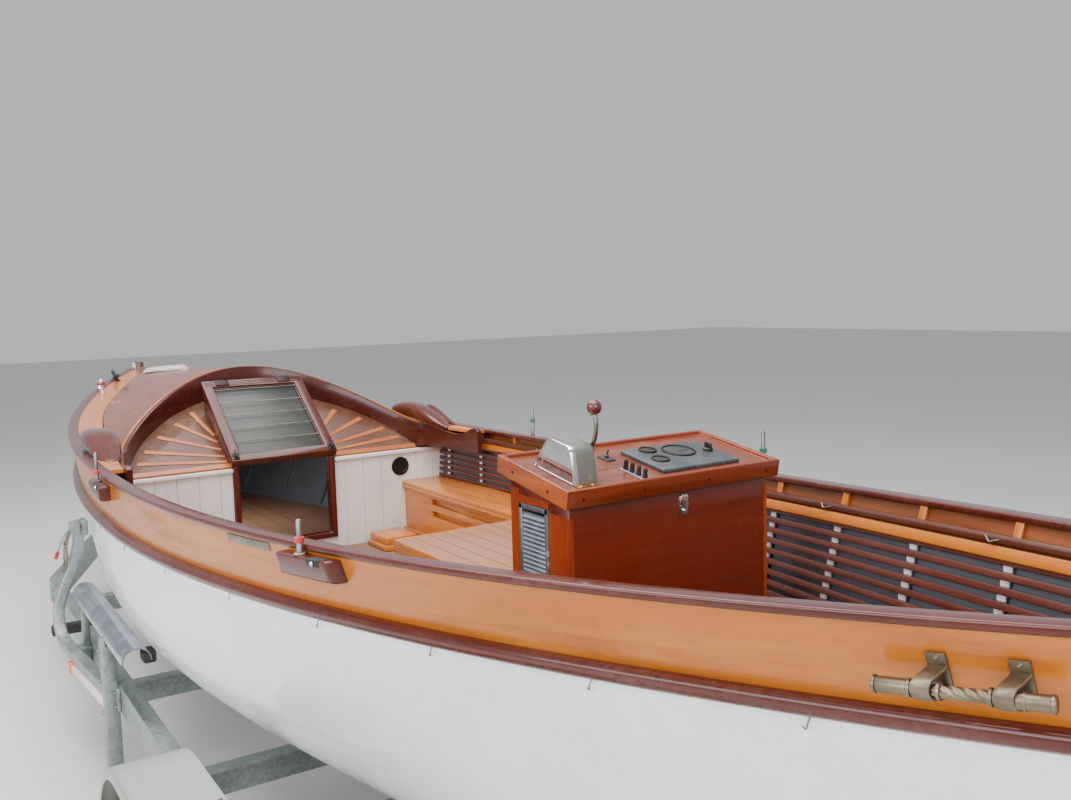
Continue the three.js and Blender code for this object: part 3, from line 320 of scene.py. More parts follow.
# %% Small tools for node trees
def node(tree, kind, settings=None, **inputs):
    """A shader node. Inputs are named as on the node, or by place as _0, _1; a socket is linked."""
    made = tree.nodes.new(kind)
    for key, value in (settings or {}).items():
        setattr(made, key, value)
    for key, value in inputs.items():
        by_place = key[0] == "_" and key[1:].isdigit()
        socket = made.inputs[int(key[1:]) if by_place else key.replace("_", " ")]
        if isinstance(value, bpy.types.NodeSocket):
            tree.links.new(value, socket)
        else:
            socket.default_value = value
    return made


def number(tree, operation, *values, clamp=False):
    return node(tree, "ShaderNodeMath", {"operation": operation, "use_clamp": clamp},
                **{f"_{i}": v for i, v in enumerate(values)}).outputs[0]


def blended(tree, share, a, b, kind="MIX"):
    """Mixes two colours. Sockets 0, 6 and 7 of the Mix node are the share and the two colours."""
    return node(tree, "ShaderNodeMix", {"data_type": "RGBA", "blend_type": kind}, _0=share, _6=a,
                _7=b).outputs[2]


def spread(tree, value, low, high, to_low=0.0, to_high=1.0):
    return node(tree, "ShaderNodeMapRange", None, Value=value, From_Min=low, From_Max=high, To_Min=to_low,
                To_Max=to_high).outputs[0]


def noise(tree, vector, scale, detail=3.0, rough=0.55, distortion=0.0):
    return node(tree, "ShaderNodeTexNoise", None, Vector=vector, Scale=scale, Detail=detail,
                Roughness=rough, Distortion=distortion).outputs["Fac"]


def new_group(name, inputs, outputs):
    """An empty shader group with its sockets, and its two end nodes."""
    tree = bpy.data.node_groups.new(name, "ShaderNodeTree")
    for label, kind, value in inputs:
        socket = tree.interface.new_socket(name=label, in_out="INPUT", socket_type=kind)
        if value is not None:
            socket.default_value = value
    for label, kind in outputs:
        tree.interface.new_socket(name=label, in_out="OUTPUT", socket_type=kind)
    return tree, tree.nodes.new("NodeGroupInput").outputs, tree.nodes.new("NodeGroupOutput").inputs


COLOUR, FLOAT, VECTOR = "NodeSocketColor", "NodeSocketFloat", "NodeSocketVector"


def rgb(red, green, blue):
    """A colour given in the usual 0 to 255 steps, as the shader wants it."""
    linear = lambda v: ((v / 255 + 0.055) / 1.055) ** 2.4 if v > 10 else v / 255 / 12.92
    return (linear(red), linear(green), linear(blue), 1)


print("node tools ready")

# %% [markdown]
# Sawn and varnished wood shows long streaks along the plank, soft bands where the saw cut the year rings,
# and short dark pores. All three are noise that is stretched along the grain. A photo of wood would
# repeat, and a plain wave pattern looks printed, so stretched noise was chosen.

# %% Wood grain as a group
tree, given, out = new_group("wood_figure",
                             [("Vector", VECTOR, None), ("Light", COLOUR, None), ("Mid", COLOUR, None),
                              ("Dark", COLOUR, None), ("Fineness", FLOAT, 1.0), ("Contrast", FLOAT, 1.0)],
                             [("Color", COLOUR), ("Height", FLOAT)])
fine = node(tree, "ShaderNodeVectorMath", {"operation": "SCALE"}, Vector=given["Vector"],
            Scale=given["Fineness"]).outputs[0]
long_way = node(tree, "ShaderNodeMapping", None, Vector=fine, Scale=(0.7, 9, 9)).outputs[0]
rings_way = node(tree, "ShaderNodeMapping", None, Vector=fine, Scale=(0.35, 3.2, 3.2)).outputs[0]
pore_way = node(tree, "ShaderNodeMapping", None, Vector=fine, Scale=(6, 160, 160)).outputs[0]
streaks = noise(tree, long_way, 3.0, 5.0, 0.6, 0.4)
bands = noise(tree, rings_way, 2.0, 2.0, 0.45, 0.8)
pores = noise(tree, pore_way, 2.0, 2.0, 0.5)
sharper = spread(tree, streaks, 0.34, 0.66)
toned = blended(tree, sharper, given["Dark"], given["Light"])
banded = blended(tree, spread(tree, bands, 0.36, 0.62), toned, given["Mid"])
calm = blended(tree, number(tree, "MULTIPLY", given["Contrast"], 0.75, clamp=True), given["Mid"], banded)
pitted = blended(tree, number(tree, "MULTIPLY", spread(tree, pores, 0.6, 0.75), 0.35), calm, given["Dark"])
tree.links.new(pitted, out["Color"])
tree.links.new(number(tree, "ADD", number(tree, "MULTIPLY", streaks, 0.5),
                      number(tree, "MULTIPLY", pores, 0.5)),
               out["Height"])
wood_figure = tree
print("group:", wood_figure.name)

# %% [markdown]
# Everything that stands in a shed gathers dust and dull patches. A second group darkens a colour in
# cloudy patches and gives a mask that also roughens the surface there. A third makes small scratches.

# %% Soiling and scratches as groups
tree, given, out = new_group("soiling", [("Color", COLOUR, None), ("Dirt", COLOUR, (0.3, 0.27, 0.22, 1)),
                                         ("Amount", FLOAT, 0.3), ("Scale", FLOAT, 3.0),
                                         ("Vector", VECTOR, None)],
                             [("Color", COLOUR), ("Mask", FLOAT)])
cloud = noise(tree, given["Vector"], given["Scale"], 6.0, 0.62, 0.3)
speck = noise(tree, given["Vector"], number(tree, "MULTIPLY", given["Scale"], 14.0), 3.0, 0.6)
mask = number(tree, "MULTIPLY", spread(tree, cloud, 0.42, 0.72), spread(tree, speck, 0.3, 0.65))
mask = number(tree, "MULTIPLY", mask, given["Amount"], clamp=True)
tree.links.new(blended(tree, mask, given["Color"], given["Dirt"]), out["Color"])
tree.links.new(mask, out["Mask"])
soiling = tree

tree, given, out = new_group("scratches", [("Vector", VECTOR, None), ("Scale", FLOAT, 40.0),
                                           ("Amount", FLOAT, 0.5)],
                             [("Mask", FLOAT)])
swirl = node(tree, "ShaderNodeMapping", None, Vector=given["Vector"], Rotation=(0.3, 0.7, 0.5),
             Scale=(1, 0.06, 1)).outputs[0]
cross = node(tree, "ShaderNodeMapping", None, Vector=given["Vector"], Rotation=(0.9, 0.2, 1.1),
             Scale=(0.05, 1, 1)).outputs[0]
lines = number(tree, "MAXIMUM", spread(tree, noise(tree, swirl, given["Scale"], 1.0), 0.66, 0.7),
               spread(tree, noise(tree, cross, given["Scale"], 1.0), 0.67, 0.71))
tree.links.new(number(tree, "MULTIPLY", lines, given["Amount"], clamp=True), out["Mask"])
scratches = tree
print("groups:", soiling.name, scratches.name)

# %% [markdown]
# Zinc on hot-dipped steel freezes in crystals, each with its own grey, and later dulls to a white bloom.
# Cells of a Voronoi texture give the crystals, and noise gives the bloom.

# %% Galvanised crystals as a group
tree, given, out = new_group("zinc_crystals", [("Vector", VECTOR, None), ("Scale", FLOAT, 60.0),
                                               ("Light", COLOUR, None), ("Dark", COLOUR, None)],
                             [("Color", COLOUR), ("Roughness", FLOAT)])
cells = node(tree, "ShaderNodeTexVoronoi", None, Vector=given["Vector"],
             Scale=given["Scale"]).outputs["Color"]
grey = node(tree, "ShaderNodeSeparateColor", None, Color=cells).outputs[0]
bloom = spread(tree, noise(tree, given["Vector"], 5.0, 5.0, 0.6), 0.35, 0.7)
tone = number(tree, "ADD", number(tree, "MULTIPLY", grey, 0.45), number(tree, "MULTIPLY", bloom, 0.55))
tree.links.new(blended(tree, tone, given["Dark"], given["Light"]), out["Color"])
tree.links.new(spread(tree, tone, 0, 1, 0.34, 0.6), out["Roughness"])
zinc_crystals = tree
print("group:", zinc_crystals.name)

# %% [markdown]
# A finish starts as an empty material with one Principled shader. The place in the grain is either the
# piece's own map (rails and planks that bend) or the object's coordinates turned so that the first axis
# runs along the plank.

# %% Starting a finish
def new_finish(name, **constants):
    """A material with one Principled shader. Constants are set on the shader's own sockets."""
    made = bpy.data.materials.new(name)
    made.use_nodes = True
    tree = made.node_tree
    tree.nodes.clear()
    shader = node(tree, "ShaderNodeBsdfPrincipled")
    for key, value in constants.items():
        shader.inputs[key.replace("_", " ")].default_value = value
    target = node(tree, "ShaderNodeOutputMaterial")
    tree.links.new(shader.outputs[0], target.inputs[0])
    return made, tree, shader


def used(tree, group, **inputs):
    """A group placed in a material."""
    return node(tree, "ShaderNodeGroup", {"node_tree": group}, **inputs).outputs


def placed(tree, along):
    """Coordinates whose first axis follows the plank."""
    if along == "map":
        return node(tree, "ShaderNodeUVMap", {"uv_map": "grain"}).outputs[0]
    where = node(tree, "ShaderNodeTexCoord").outputs["Object"]
    if along == "x":
        return where
    parts = node(tree, "ShaderNodeSeparateXYZ", None, Vector=where).outputs
    order = {"y": (1, 0, 2), "z": (2, 1, 0)}[along]
    return node(tree, "ShaderNodeCombineXYZ", None, X=parts[order[0]], Y=parts[order[1]],
                Z=parts[order[2]]).outputs[0]


def bumped(tree, shader, height, strength, distance):
    bump = node(tree, "ShaderNodeBump", None, Height=height, Strength=strength, Distance=distance)
    tree.links.new(bump.outputs[0], shader.inputs["Normal"])


def varnished(name, light, mid, dark, along="x", fineness=1.0, contrast=1.0, gloss=0.2, coat=0.7, dirt=0.25,
              dirt_colour=(90, 70, 55), bump=0.15):
    """Wood under varnish: grain, worn and dusty patches, and a clear coat."""
    made, tree, shader = new_finish(name, Roughness=gloss, Coat_Roughness=0.1, Coat_IOR=1.4,
                                    Specular_IOR_Level=0.28)
    where = placed(tree, along)
    wood = used(tree, wood_figure, Vector=where, Light=rgb(*light), Mid=rgb(*mid), Dark=rgb(*dark),
                Fineness=fineness, Contrast=contrast)
    dust = used(tree, soiling, Color=wood["Color"], Dirt=rgb(*dirt_colour), Amount=dirt, Scale=3.5,
                Vector=node(tree, "ShaderNodeTexCoord").outputs["Object"])
    scuff = used(tree, scratches, Vector=node(tree, "ShaderNodeTexCoord").outputs["Object"], Scale=18.0,
                 Amount=0.25)
    tree.links.new(dust["Color"], shader.inputs["Base Color"])
    dull = number(tree, "MAXIMUM", dust["Mask"], scuff["Mask"])
    tree.links.new(spread(tree, dull, 0, 1, gloss, min(gloss + 0.4, 0.9)), shader.inputs["Roughness"])
    tree.links.new(spread(tree, dull, 0, 1, coat * 0.6, coat * 0.15), shader.inputs["Coat Weight"])
    bumped(tree, shader, wood["Height"], bump, 0.0006)
    return made


def painted(name, colour, shade, gloss=0.3, dirt=0.25, dirt_colour=(120, 110, 95), scale=3.0, coat=0.0,
            bump=0.05, metallic=0.0):
    """Paint or plastic: two close tones, soiling, scratches and a faint ripple."""
    made, tree, shader = new_finish(name, Roughness=gloss, Coat_Weight=coat, Coat_Roughness=0.08,
                                    Metallic=metallic)
    where = node(tree, "ShaderNodeTexCoord").outputs["Object"]
    tone = blended(tree, spread(tree, noise(tree, where, 2.2, 4.0), 0.35, 0.65), rgb(*colour), rgb(*shade))
    dust = used(tree, soiling, Color=tone, Dirt=rgb(*dirt_colour), Amount=dirt, Scale=scale, Vector=where)
    scuff = used(tree, scratches, Vector=where, Scale=25.0, Amount=0.35)
    tree.links.new(dust["Color"], shader.inputs["Base Color"])
    dull = number(tree, "MAXIMUM", dust["Mask"], scuff["Mask"])
    tree.links.new(spread(tree, dull, 0, 1, gloss, min(gloss + 0.35, 0.95)), shader.inputs["Roughness"])
    bumped(tree, shader, noise(tree, where, 60.0, 4.0), bump, 0.001)
    return made


def metal(name, light, dark, rough=0.3, scale=40.0, dirt=0.2, dirt_colour=(95, 85, 70), bump=0.1):
    """Bare or plated metal with handling marks."""
    made, tree, shader = new_finish(name, Metallic=1.0, Roughness=rough)
    where = node(tree, "ShaderNodeTexCoord").outputs["Object"]
    tone = blended(tree, spread(tree, noise(tree, where, 8.0, 5.0), 0.35, 0.65), rgb(*light), rgb(*dark))
    dust = used(tree, soiling, Color=tone, Dirt=rgb(*dirt_colour), Amount=dirt, Scale=9.0, Vector=where)
    scuff = used(tree, scratches, Vector=where, Scale=scale, Amount=0.6)
    tree.links.new(dust["Color"], shader.inputs["Base Color"])
    dull = number(tree, "MAXIMUM", dust["Mask"], scuff["Mask"])
    tree.links.new(spread(tree, dull, 0, 1, rough, min(rough + 0.35, 0.9)), shader.inputs["Roughness"])
    bumped(tree, shader, noise(tree, where, 120.0, 3.0), bump, 0.0005)
    return made


print("finish helpers ready")

# %% [markdown]
# The boat's woods: honey-coloured varnished planks on the topsides and deck, dark red mahogany for rails,
# coaming and frames, an orange-red console, a duller brown sunburst with lighter strips, and a paler
# weathered sole. Each differs only in its colours, its grain and how much varnish is left.

# %% Woods
honey = varnished("honey_varnish", (204, 126, 44), (180, 100, 27), (138, 68, 15), "map", 1.0, 0.8, 0.24,
                  0.7, 0.22)
honey_x = varnished("honey_boards_lengthways", (208, 132, 62), (190, 110, 44), (150, 78, 28), "x", 1.2, 0.9,
                    0.28, 0.6, 0.25)
deck_honey = varnished("deck_board_varnish", (214, 136, 70), (196, 114, 52), (160, 82, 34), "map", 1.2, 0.7,
                       0.26, 0.7, 0.2)
deck_rose = varnished("crowned_deck_varnish", (140, 78, 46), (120, 61, 34), (90, 42, 22), "map", 0.8, 0.6,
                      0.3, 0.6, 0.25)
mahogany = varnished("mahogany_rail", (98, 36, 24), (78, 25, 17), (50, 14, 9), "map", 1.3, 0.8, 0.24, 0.75,
                     0.3, (120, 96, 84))
mahogany_x = varnished("mahogany_lengthways", (98, 38, 27), (80, 27, 18), (52, 16, 10), "x", 1.4, 0.9, 0.24,
                       0.7, 0.25)
mahogany_y = varnished("mahogany_across", (88, 38, 28), (70, 27, 20), (46, 16, 12), "y", 1.6, 0.9, 0.28,
                       0.6, 0.3)
mahogany_z = varnished("mahogany_upright", (96, 34, 24), (74, 22, 15), (46, 12, 9), "z", 1.6, 0.9, 0.26,
                       0.6, 0.25)
carved = varnished("carved_chock_varnish", (104, 46, 26), (78, 30, 17), (48, 16, 9), "x", 1.6, 0.9, 0.14,
                   1.0, 0.12)
console_red = varnished("console_red_varnish", (122, 44, 19), (98, 30, 12), (62, 14, 6), "y", 1.1, 1.0,
                        0.26, 0.6, 0.15)
console_orange = varnished("console_orange_varnish", (168, 72, 30), (142, 50, 19), (98, 29, 10), "z", 1.2,
                           0.9, 0.26, 0.6, 0.15)
lid_wood = varnished("lid_top_varnish", (128, 64, 40), (107, 47, 27), (76, 28, 16), "y", 1.4, 0.9, 0.32,
                     0.5, 0.4, (150, 130, 112))
lid_edge = varnished("lid_edge_varnish", (142, 62, 32), (117, 45, 20), (80, 26, 11), "y", 1.3, 0.9, 0.26,
                     0.65, 0.2)
lid_edge_x = varnished("lid_end_varnish", (176, 94, 46), (152, 72, 30), (108, 45, 17), "x", 1.3, 0.9, 0.26,
                       0.65, 0.2)
sunburst = varnished("sunburst_teak", (96, 60, 42), (80, 46, 31), (57, 30, 20), "map", 1.6, 0.8, 0.42, 0.3,
                     0.35, (150, 120, 100), 0.25)
sunray = varnished("sunburst_strips", (178, 104, 56), (160, 84, 41), (128, 60, 27), "map", 1.6, 0.6, 0.36,
                   0.4, 0.25)
teak_x = varnished("sole_teak", (152, 115, 88), (133, 97, 72), (102, 70, 49), "x", 1.3, 0.9, 0.5, 0.15, 0.4,
                   (120, 108, 96), 0.3)
box_pink = varnished("box_top_planks", (176, 126, 94), (156, 104, 75), (124, 77, 54), "x", 1.4, 0.8, 0.4,
                     0.35, 0.3, (150, 130, 115))
slat_wood = varnished("lining_slat_varnish", (96, 50, 38), (78, 37, 27), (52, 21, 15), "map", 1.4, 0.8, 0.3,
                      0.5, 0.25)
# The strake's inside takes a darker copy of the honey varnish: painted shade under the cap.
shaded_inner_wood = varnished("inner_strake_painted_shade_varnish", (146, 80, 38), (124, 63, 27), (90, 41, 15), "map", 1.2, 0.8,
                       0.32, 0.45, 0.3)
coaming_wood = varnished("coaming_varnish", (84, 31, 21), (64, 21, 14), (41, 12, 8), "map", 1.3, 0.8, 0.26,
                         0.6, 0.25)
tiller_ash = varnished("tiller_varnish", (214, 156, 92), (194, 132, 66), (156, 96, 42), "x", 1.6, 0.7, 0.26,
                       0.7, 0.15)
print("woods:", len([m for m in bpy.data.materials if "varnish" in m.name or "mahogany" in m.name]))

# %% [markdown]
# Paints, metals, rubber and glass. The hull is brushed gloss white, the boards of the cabin front are a
# flatter white, and the inside of the planking is grey. Metals differ in colour and polish, and the
# trailer is hot-dipped.

# %% Paints, metals, rubber and glass
hull_white = painted("hull_gloss_white", (246, 248, 248), (238, 241, 241), 0.2, 0.3, (176, 168, 152), 1.6,
                     0.5, 0.03)
board_white = painted("board_white", (226, 220, 216), (214, 208, 205), 0.42, 0.4, (168, 152, 144), 4.0, 0.0,
                      0.12)
inner_grey = painted("inside_grey", (98, 101, 107), (86, 89, 94), 0.5, 0.4, (78, 74, 72), 4.0, 0.0, 0.15)
engine_green = painted("engine_enamel", (52, 84, 66), (42, 70, 55), 0.35, 0.4, (38, 34, 28), 8.0)
gauge_grey = painted("gauge_panel_grey", (58, 64, 69), (50, 55, 60), 0.4, 0.4, (120, 116, 108), 12.0)
gauge_dark = painted("gauge_face_dark", (46, 50, 52), (38, 41, 43), 0.35, 0.3, (110, 104, 96), 14.0)
black_knob = painted("black_knobs", (26, 25, 26), (20, 19, 20), 0.35, 0.2, (90, 84, 76), 20.0)
ball_red = painted("lever_ball_red", (92, 34, 34), (78, 26, 26), 0.28, 0.2, (120, 96, 88), 20.0, 0.4)
signal_red = painted("collar_red", (206, 44, 48), (190, 36, 40), 0.4, 0.25, (110, 60, 54), 20.0)
signal_green = painted("collar_green", (40, 112, 78), (32, 98, 66), 0.4, 0.25, (60, 70, 60), 20.0)
lens_orange = painted("marker_orange", (226, 110, 48), (214, 96, 38), 0.2, 0.2, (120, 80, 60), 20.0, 0.5)
lens_red = painted("marker_red", (180, 28, 26), (160, 22, 20), 0.2, 0.2, (90, 50, 46), 20.0, 0.5)
marker_white = painted("marker_white", (226, 214, 210), (212, 196, 194), 0.35, 0.35, (160, 140, 130), 20.0)
guard_grey = painted("mudguard_grey", (176, 184, 176), (160, 168, 162), 0.4, 0.35, (112, 108, 98), 6.0, 0.0,
                     0.1, 0.6)
rubber = painted("black_rubber", (34, 34, 35), (27, 27, 28), 0.75, 0.5, (92, 88, 82), 10.0, 0.0, 0.4)
tyre = painted("tyre_rubber", (36, 36, 37), (28, 28, 29), 0.82, 0.6, (98, 92, 84), 8.0, 0.0, 0.5)
chrome = metal("bright_chrome", (226, 228, 232), (206, 208, 212), 0.12, 30.0, 0.2, (140, 130, 118))
olive_metal = metal("housing_olive", (172, 171, 162), (150, 149, 140), 0.4, 40.0, 0.3)
brass = metal("worn_brass", (186, 150, 92), (160, 124, 72), 0.34, 40.0, 0.3, (90, 70, 44))
bronze = metal("propeller_bronze", (176, 122, 70), (146, 98, 54), 0.32, 40.0, 0.35, (84, 74, 52))
dull_steel = metal("dull_steel", (152, 148, 140), (122, 118, 110), 0.42, 50.0, 0.4, (92, 84, 72))
bunk_steel = metal("rubbed_bunk_steel", (206, 210, 220), (168, 172, 182), 0.22, 20.0, 0.3, (96, 92, 92))
bar_steel = metal("mooring_bar_steel", (146, 134, 114), (114, 104, 88), 0.42, 50.0, 0.4, (92, 78, 60))
vent_grey = metal("louvre_grey", (172, 178, 188), (146, 152, 162), 0.38, 50.0, 0.3, (88, 88, 88))
dark_iron = metal("dark_iron", (58, 54, 52), (44, 41, 40), 0.5, 50.0, 0.4, (78, 66, 54))

galvanised, tree, shader = new_finish("galvanised_steel", Metallic=0.85, Roughness=0.45)
where = node(tree, "ShaderNodeTexCoord").outputs["Object"]
zinc = used(tree, zinc_crystals, Vector=where, Scale=70.0, Light=rgb(176, 186, 184),
            Dark=rgb(124, 134, 134))
rusty = used(tree, soiling, Color=zinc["Color"], Dirt=rgb(104, 88, 70), Amount=0.3, Scale=4.0, Vector=where)
tree.links.new(rusty["Color"], shader.inputs["Base Color"])
tree.links.new(number(tree, "MAXIMUM", zinc["Roughness"], rusty["Mask"]), shader.inputs["Roughness"])
bumped(tree, shader, noise(tree, where, 30.0, 4.0), 0.15, 0.001)

glass, tree, shader = new_finish("hatch_glass_dusty", Transmission_Weight=0.5, IOR=1.4, Metallic=0.0)
where = node(tree, "ShaderNodeTexCoord").outputs["Object"]
dust = used(tree, soiling, Color=rgb(66, 68, 64), Dirt=rgb(108, 104, 96), Amount=0.7, Scale=5.0,
            Vector=where)
tree.links.new(dust["Color"], shader.inputs["Base Color"])
tree.links.new(spread(tree, dust["Mask"], 0, 1, 0.34, 0.6), shader.inputs["Roughness"])
print("finishes:", len(bpy.data.materials))

# %% [markdown]
# The hull is a double-ender: plan, sheer, keel line and section are each one formula. Sampling them at
# many stations gives a smooth skin. The outside is white; the inside of the same planking is grey, so one
# closed shell takes two finishes.

# %% The boat's lines
STERN_X, BOW_X, MIDSHIP_X = -4.49, 3.85, -0.3
HALF_BEAM, KEEL_SIDE, PLANK, HAIR = 0.975, 0.0303, 0.022, 0.0003
SOLE_TOP = 0.7303
SEAM_DROP, RAIL_TOP_DROP, RAIL_DEPTH, CAP_THICK = 0.192, 0.17, 0.045, 0.018


def plan_share(x):
    end = STERN_X if x < MIDSHIP_X else BOW_X
    reach = (x - MIDSHIP_X) / (end - MIDSHIP_X)
    return min(max(reach, 0), 1)


def half_beam(x):
    full = KEEL_SIDE + PLANK
    return full + (HALF_BEAM - full) * (1 - plan_share(x) ** (2.15 if x < MIDSHIP_X else 2.5))


def sheer(x):
    return 1.348 + (0.0129 if x < 0.1 else 0.0158) * (x - 0.1) ** 2


def rabbet(x):
    share = min(abs(x - (STERN_X + BOW_X) / 2) / ((BOW_X - STERN_X) / 2), 1)
    return 0.51 + (sheer(x) - 0.51) * share ** 8.8


def breadth(x, z):
    """Half breadth of the outside of the planking at a station and a height."""
    low = rabbet(x)
    share = min(max((z - low) / (sheer(x) - low), 0), 1)
    vee = plan_share(x) ** 1.9
    full = (1 - (1 - share) ** 4.6) ** (1 / 4.15)
    lean = full * (1 - vee) + vee * share ** 1.56
    side = KEEL_SIDE + PLANK
    return side + (half_beam(x) - side) * lean


def inside(x, z, in_by=0.0):
    """Half breadth of the inside of the planking, and further in by a distance."""
    up = (breadth(x, z + 0.004) - breadth(x, z - 0.004)) / 0.008
    return max(breadth(x, z) - (PLANK + in_by) * math.hypot(1, min(abs(up), 4)), KEEL_SIDE)


def stations(a, b, count):
    """Places along the hull, closer together towards its ends."""
    last = count - 1
    return [a + (b - a) * (0.5 - 0.5 * math.cos(math.pi * i / last)) * 0.5 + (b - a) * i / last * 0.5
            for i in range(count)]


print("beam amidships", round(2 * half_beam(MIDSHIP_X), 3), "sheer at the bow", round(sheer(BOW_X), 3))

# %% [markdown]
# The planking runs from the keel to the seam under the rub rail. Its ends rise with the rabbet, so it
# stops where the rabbet climbs to the rail, as the solid does.

# %% Planking
LEVELS = [0.006, 0.014, 0.026, 0.042, 0.062, 0.09, 0.125, 0.17, 0.225, 0.29, 0.37, 0.46, 0.56, 0.67, 0.79,
          0.9]


def planking(side):
    ends = [x for x in stations(-4.46, 3.82, 240)
            if rabbet(x) < sheer(x) - RAIL_TOP_DROP - RAIL_DEPTH - 0.004]
    ends = [-4.40, *[x for x in ends if -4.40 < x < 3.738], 3.738]
    outer, inner = [], []
    for x in ends:
        low, rail = rabbet(x), sheer(x) - RAIL_TOP_DROP - RAIL_DEPTH
        high = sheer(x) - SEAM_DROP - HAIR
        heights = [*[low + (rail - low) * level for level in LEVELS], rail, high]
        outer.append([(x, KEEL_SIDE, low), *[(x, breadth(x, z), z) for z in heights]])
        row = [(x, KEEL_SIDE, low + PLANK * 1.2)]
        for z in heights:
            slope = (breadth(x, z + 0.003) - breadth(x, max(z - 0.003, low))) / 0.006
            length = math.hypot(1, slope)
            row.append((x, max(breadth(x, z) - PLANK / length, KEEL_SIDE),
                        min(z + PLANK * slope / length, high)))
        inner.append(row)
    shape = shell(outer, inner)
    count = (len(outer) - 1) * (len(outer[0]) - 1)
    return mirrored(shape, side), count


for label, side in SIDES:
    shape, count = planking(side)
    made = piece(f"hull_planking_{label}", shape, hull_white, "hull_white", stands_for=f"planking_{label}",
                 angle=50, inner=inner_grey, inner_from=count)
    print(made.name, len(made.data.polygons), "faces")

# %% [markdown]
# Above the seam lies one broad varnished strake. Its grain has to follow the sheer, so it carries its own
# map: metres along the plank and metres up it. The rub rail below is a half-round moulding, and the cap on
# top is a flat board with eased edges. All of them follow one line through the hull's formulas.

# %% Top strake, rub rail and gunwale cap
def along_hull(side, outline, count=220, first=-4.46, last=3.82, closed=True):
    """A section of (out from the planking, drop below the sheer) carried along the hull, with its map."""
    sections, place = [], []
    for x in stations(first, last, count):
        sections.append([(x, side * (breadth(x, sheer(x) - drop) + out if base == "skin"
                                     else half_beam(x) + out),
                          sheer(x) - drop) for base, out, drop in outline])
        place += [(x, drop + out + side * 3) for _, out, drop in outline]
    shape = rings(sections, closed)
    return shape, place


def eased_corner(p, a, b, reach, steps):
    """Points of a soft curve that cuts the corner p between its neighbours a and b."""
    start, end = p + (a - p).normalized() * reach, p + (b - p).normalized() * reach
    return [start * (1 - t) ** 2 + p * 2 * t * (1 - t) + end * t * t
            for t in [k / steps for k in range(steps + 1)]]


def rounded(points, radius, steps=3, base="skin"):
    """A closed outline with its corners rounded."""
    made = []
    count = len(points)
    for i in range(count):
        p, a, b = Vector(points[i]), Vector(points[i - 1]), Vector(points[(i + 1) % count])
        reach = min(radius, (a - p).length * 0.45, (b - p).length * 0.45)
        made += [(base, q.x, q.y) for q in eased_corner(p, a, b, reach, steps)]
    return made


strake = [("skin", 0, SEAM_DROP), ("skin", 0, 0.15), ("skin", 0, 0.11), ("skin", 0, 0.06),
          ("skin", 0, CAP_THICK + HAIR),
          ("skin", -PLANK, CAP_THICK + HAIR), ("skin", -PLANK, 0.11), ("skin", -PLANK, SEAM_DROP)]
rail = [("skin", HAIR, 0.17), ("skin", 0.012, 0.1702), ("skin", 0.022, 0.1735), ("skin", 0.029, 0.179),
        ("skin", 0.033, 0.186),
        ("skin", 0.0342, 0.193), ("skin", 0.033, 0.2), ("skin", 0.029, 0.2065), ("skin", 0.022, 0.2115),
        ("skin", 0.012, 0.2148), ("skin", HAIR, 0.215)]
cap = rounded([(0.004, 0.0), (-0.05, 0.0), (-0.05, CAP_THICK), (0.004, CAP_THICK)], 0.006, 3, "plan")

for label, side in SIDES:
    shape, place = along_hull(side, strake)
    piece(f"varnished_strake_{label}", shape, honey, "varnished_pine", stands_for=f"top_strake_{label}",
                 along=place, angle=60)
    shape, place = along_hull(side, rail)
    piece(f"half_round_rail_{label}", shape, mahogany, "mahogany", stands_for=f"rub_rail_{label}",
          along=place, angle=60)
    shape, place = along_hull(side, cap)
    piece(f"gunwale_board_{label}", shape, mahogany, "mahogany", stands_for=f"gunwale_cap_{label}",
          along=place, angle=50)
print("strake, rail and cap made for", [label for label, _ in SIDES])

# %% [markdown]
# Keel, posts and rudder are thick planks. Their outlines are the solids' own; only the edges need easing.

# %% Keel, stem, rudder and tiller
softened("keel", hull_white, 0.004)
stem = softened("stem", hull_white, 0.005)
stem.data.materials.append(mahogany_z)
for face in stem.data.polygons:
    if face.center.z > sheer(BOW_X) - SEAM_DROP:
        face.material_index = 1
softened("rudder", mahogany_z, 0.004)
bend = smooth_path([(-4.655, 0, 1.722), (-4.4, 0, 1.742), (-4.1, 0, 1.752), (-3.76, 0, 1.748)], 8)
waist = [0.9 + 0.12 * math.sin(math.pi * i / (len(bend) - 1)) - 0.18 * i / (len(bend) - 1)
         for i in range(len(bend))]
grip = [*waist[:-3], 1.02, 1.05, 0.55]
straps = joined(board(-4.645, -4.556, 0.0165, 0.0195, 1.7003, 1.74, 0.001),
                board(-4.645, -4.556, -0.0195, -0.0165, 1.7003, 1.74, 0.001))
piece("tiller_stick", swept(bend, circle(0.0205, 20), (0, 0, 1), grip), tiller_ash, "varnished_pine",
      "rudder", "tiller")
tiller_pins = [rod((x, -0.022, 1.72), (x, 0.022, 1.72), 0.005) for x in (-4.62, -4.58)]
tiller_seat = board(-4.645, -4.556, -0.0165, 0.0165, 1.7003, 1.712, 0.001)
piece("tiller_straps", joined(straps, *tiller_pins, tiller_seat), bronze, "bronze", "rudder")
print("keel, stem, rudder and tiller dressed")

# %% [markdown]
# The foredeck has two flat covering boards, light and honey-coloured, and a crowned middle between them
# that reads pinkish brown. The crown starts at the arch, whose line is one formula. Both are sampled
# finely, and thin grooves show where the crown's long planks meet.

# %% Foredeck
ARCH_FOOT_X, ARCH_REACH, DECK_END_X, BOARD_AFT_X = 0.45, 0.63, 3.7, -0.03


def board_inner(x):
    before = max(ARCH_FOOT_X - x, 0) / (ARCH_FOOT_X - BOARD_AFT_X)
    wide = 0.178 - 0.073 * min(before, 1) ** 0.5
    return max(half_beam(x) - wide, half_beam(x) * 0.2)


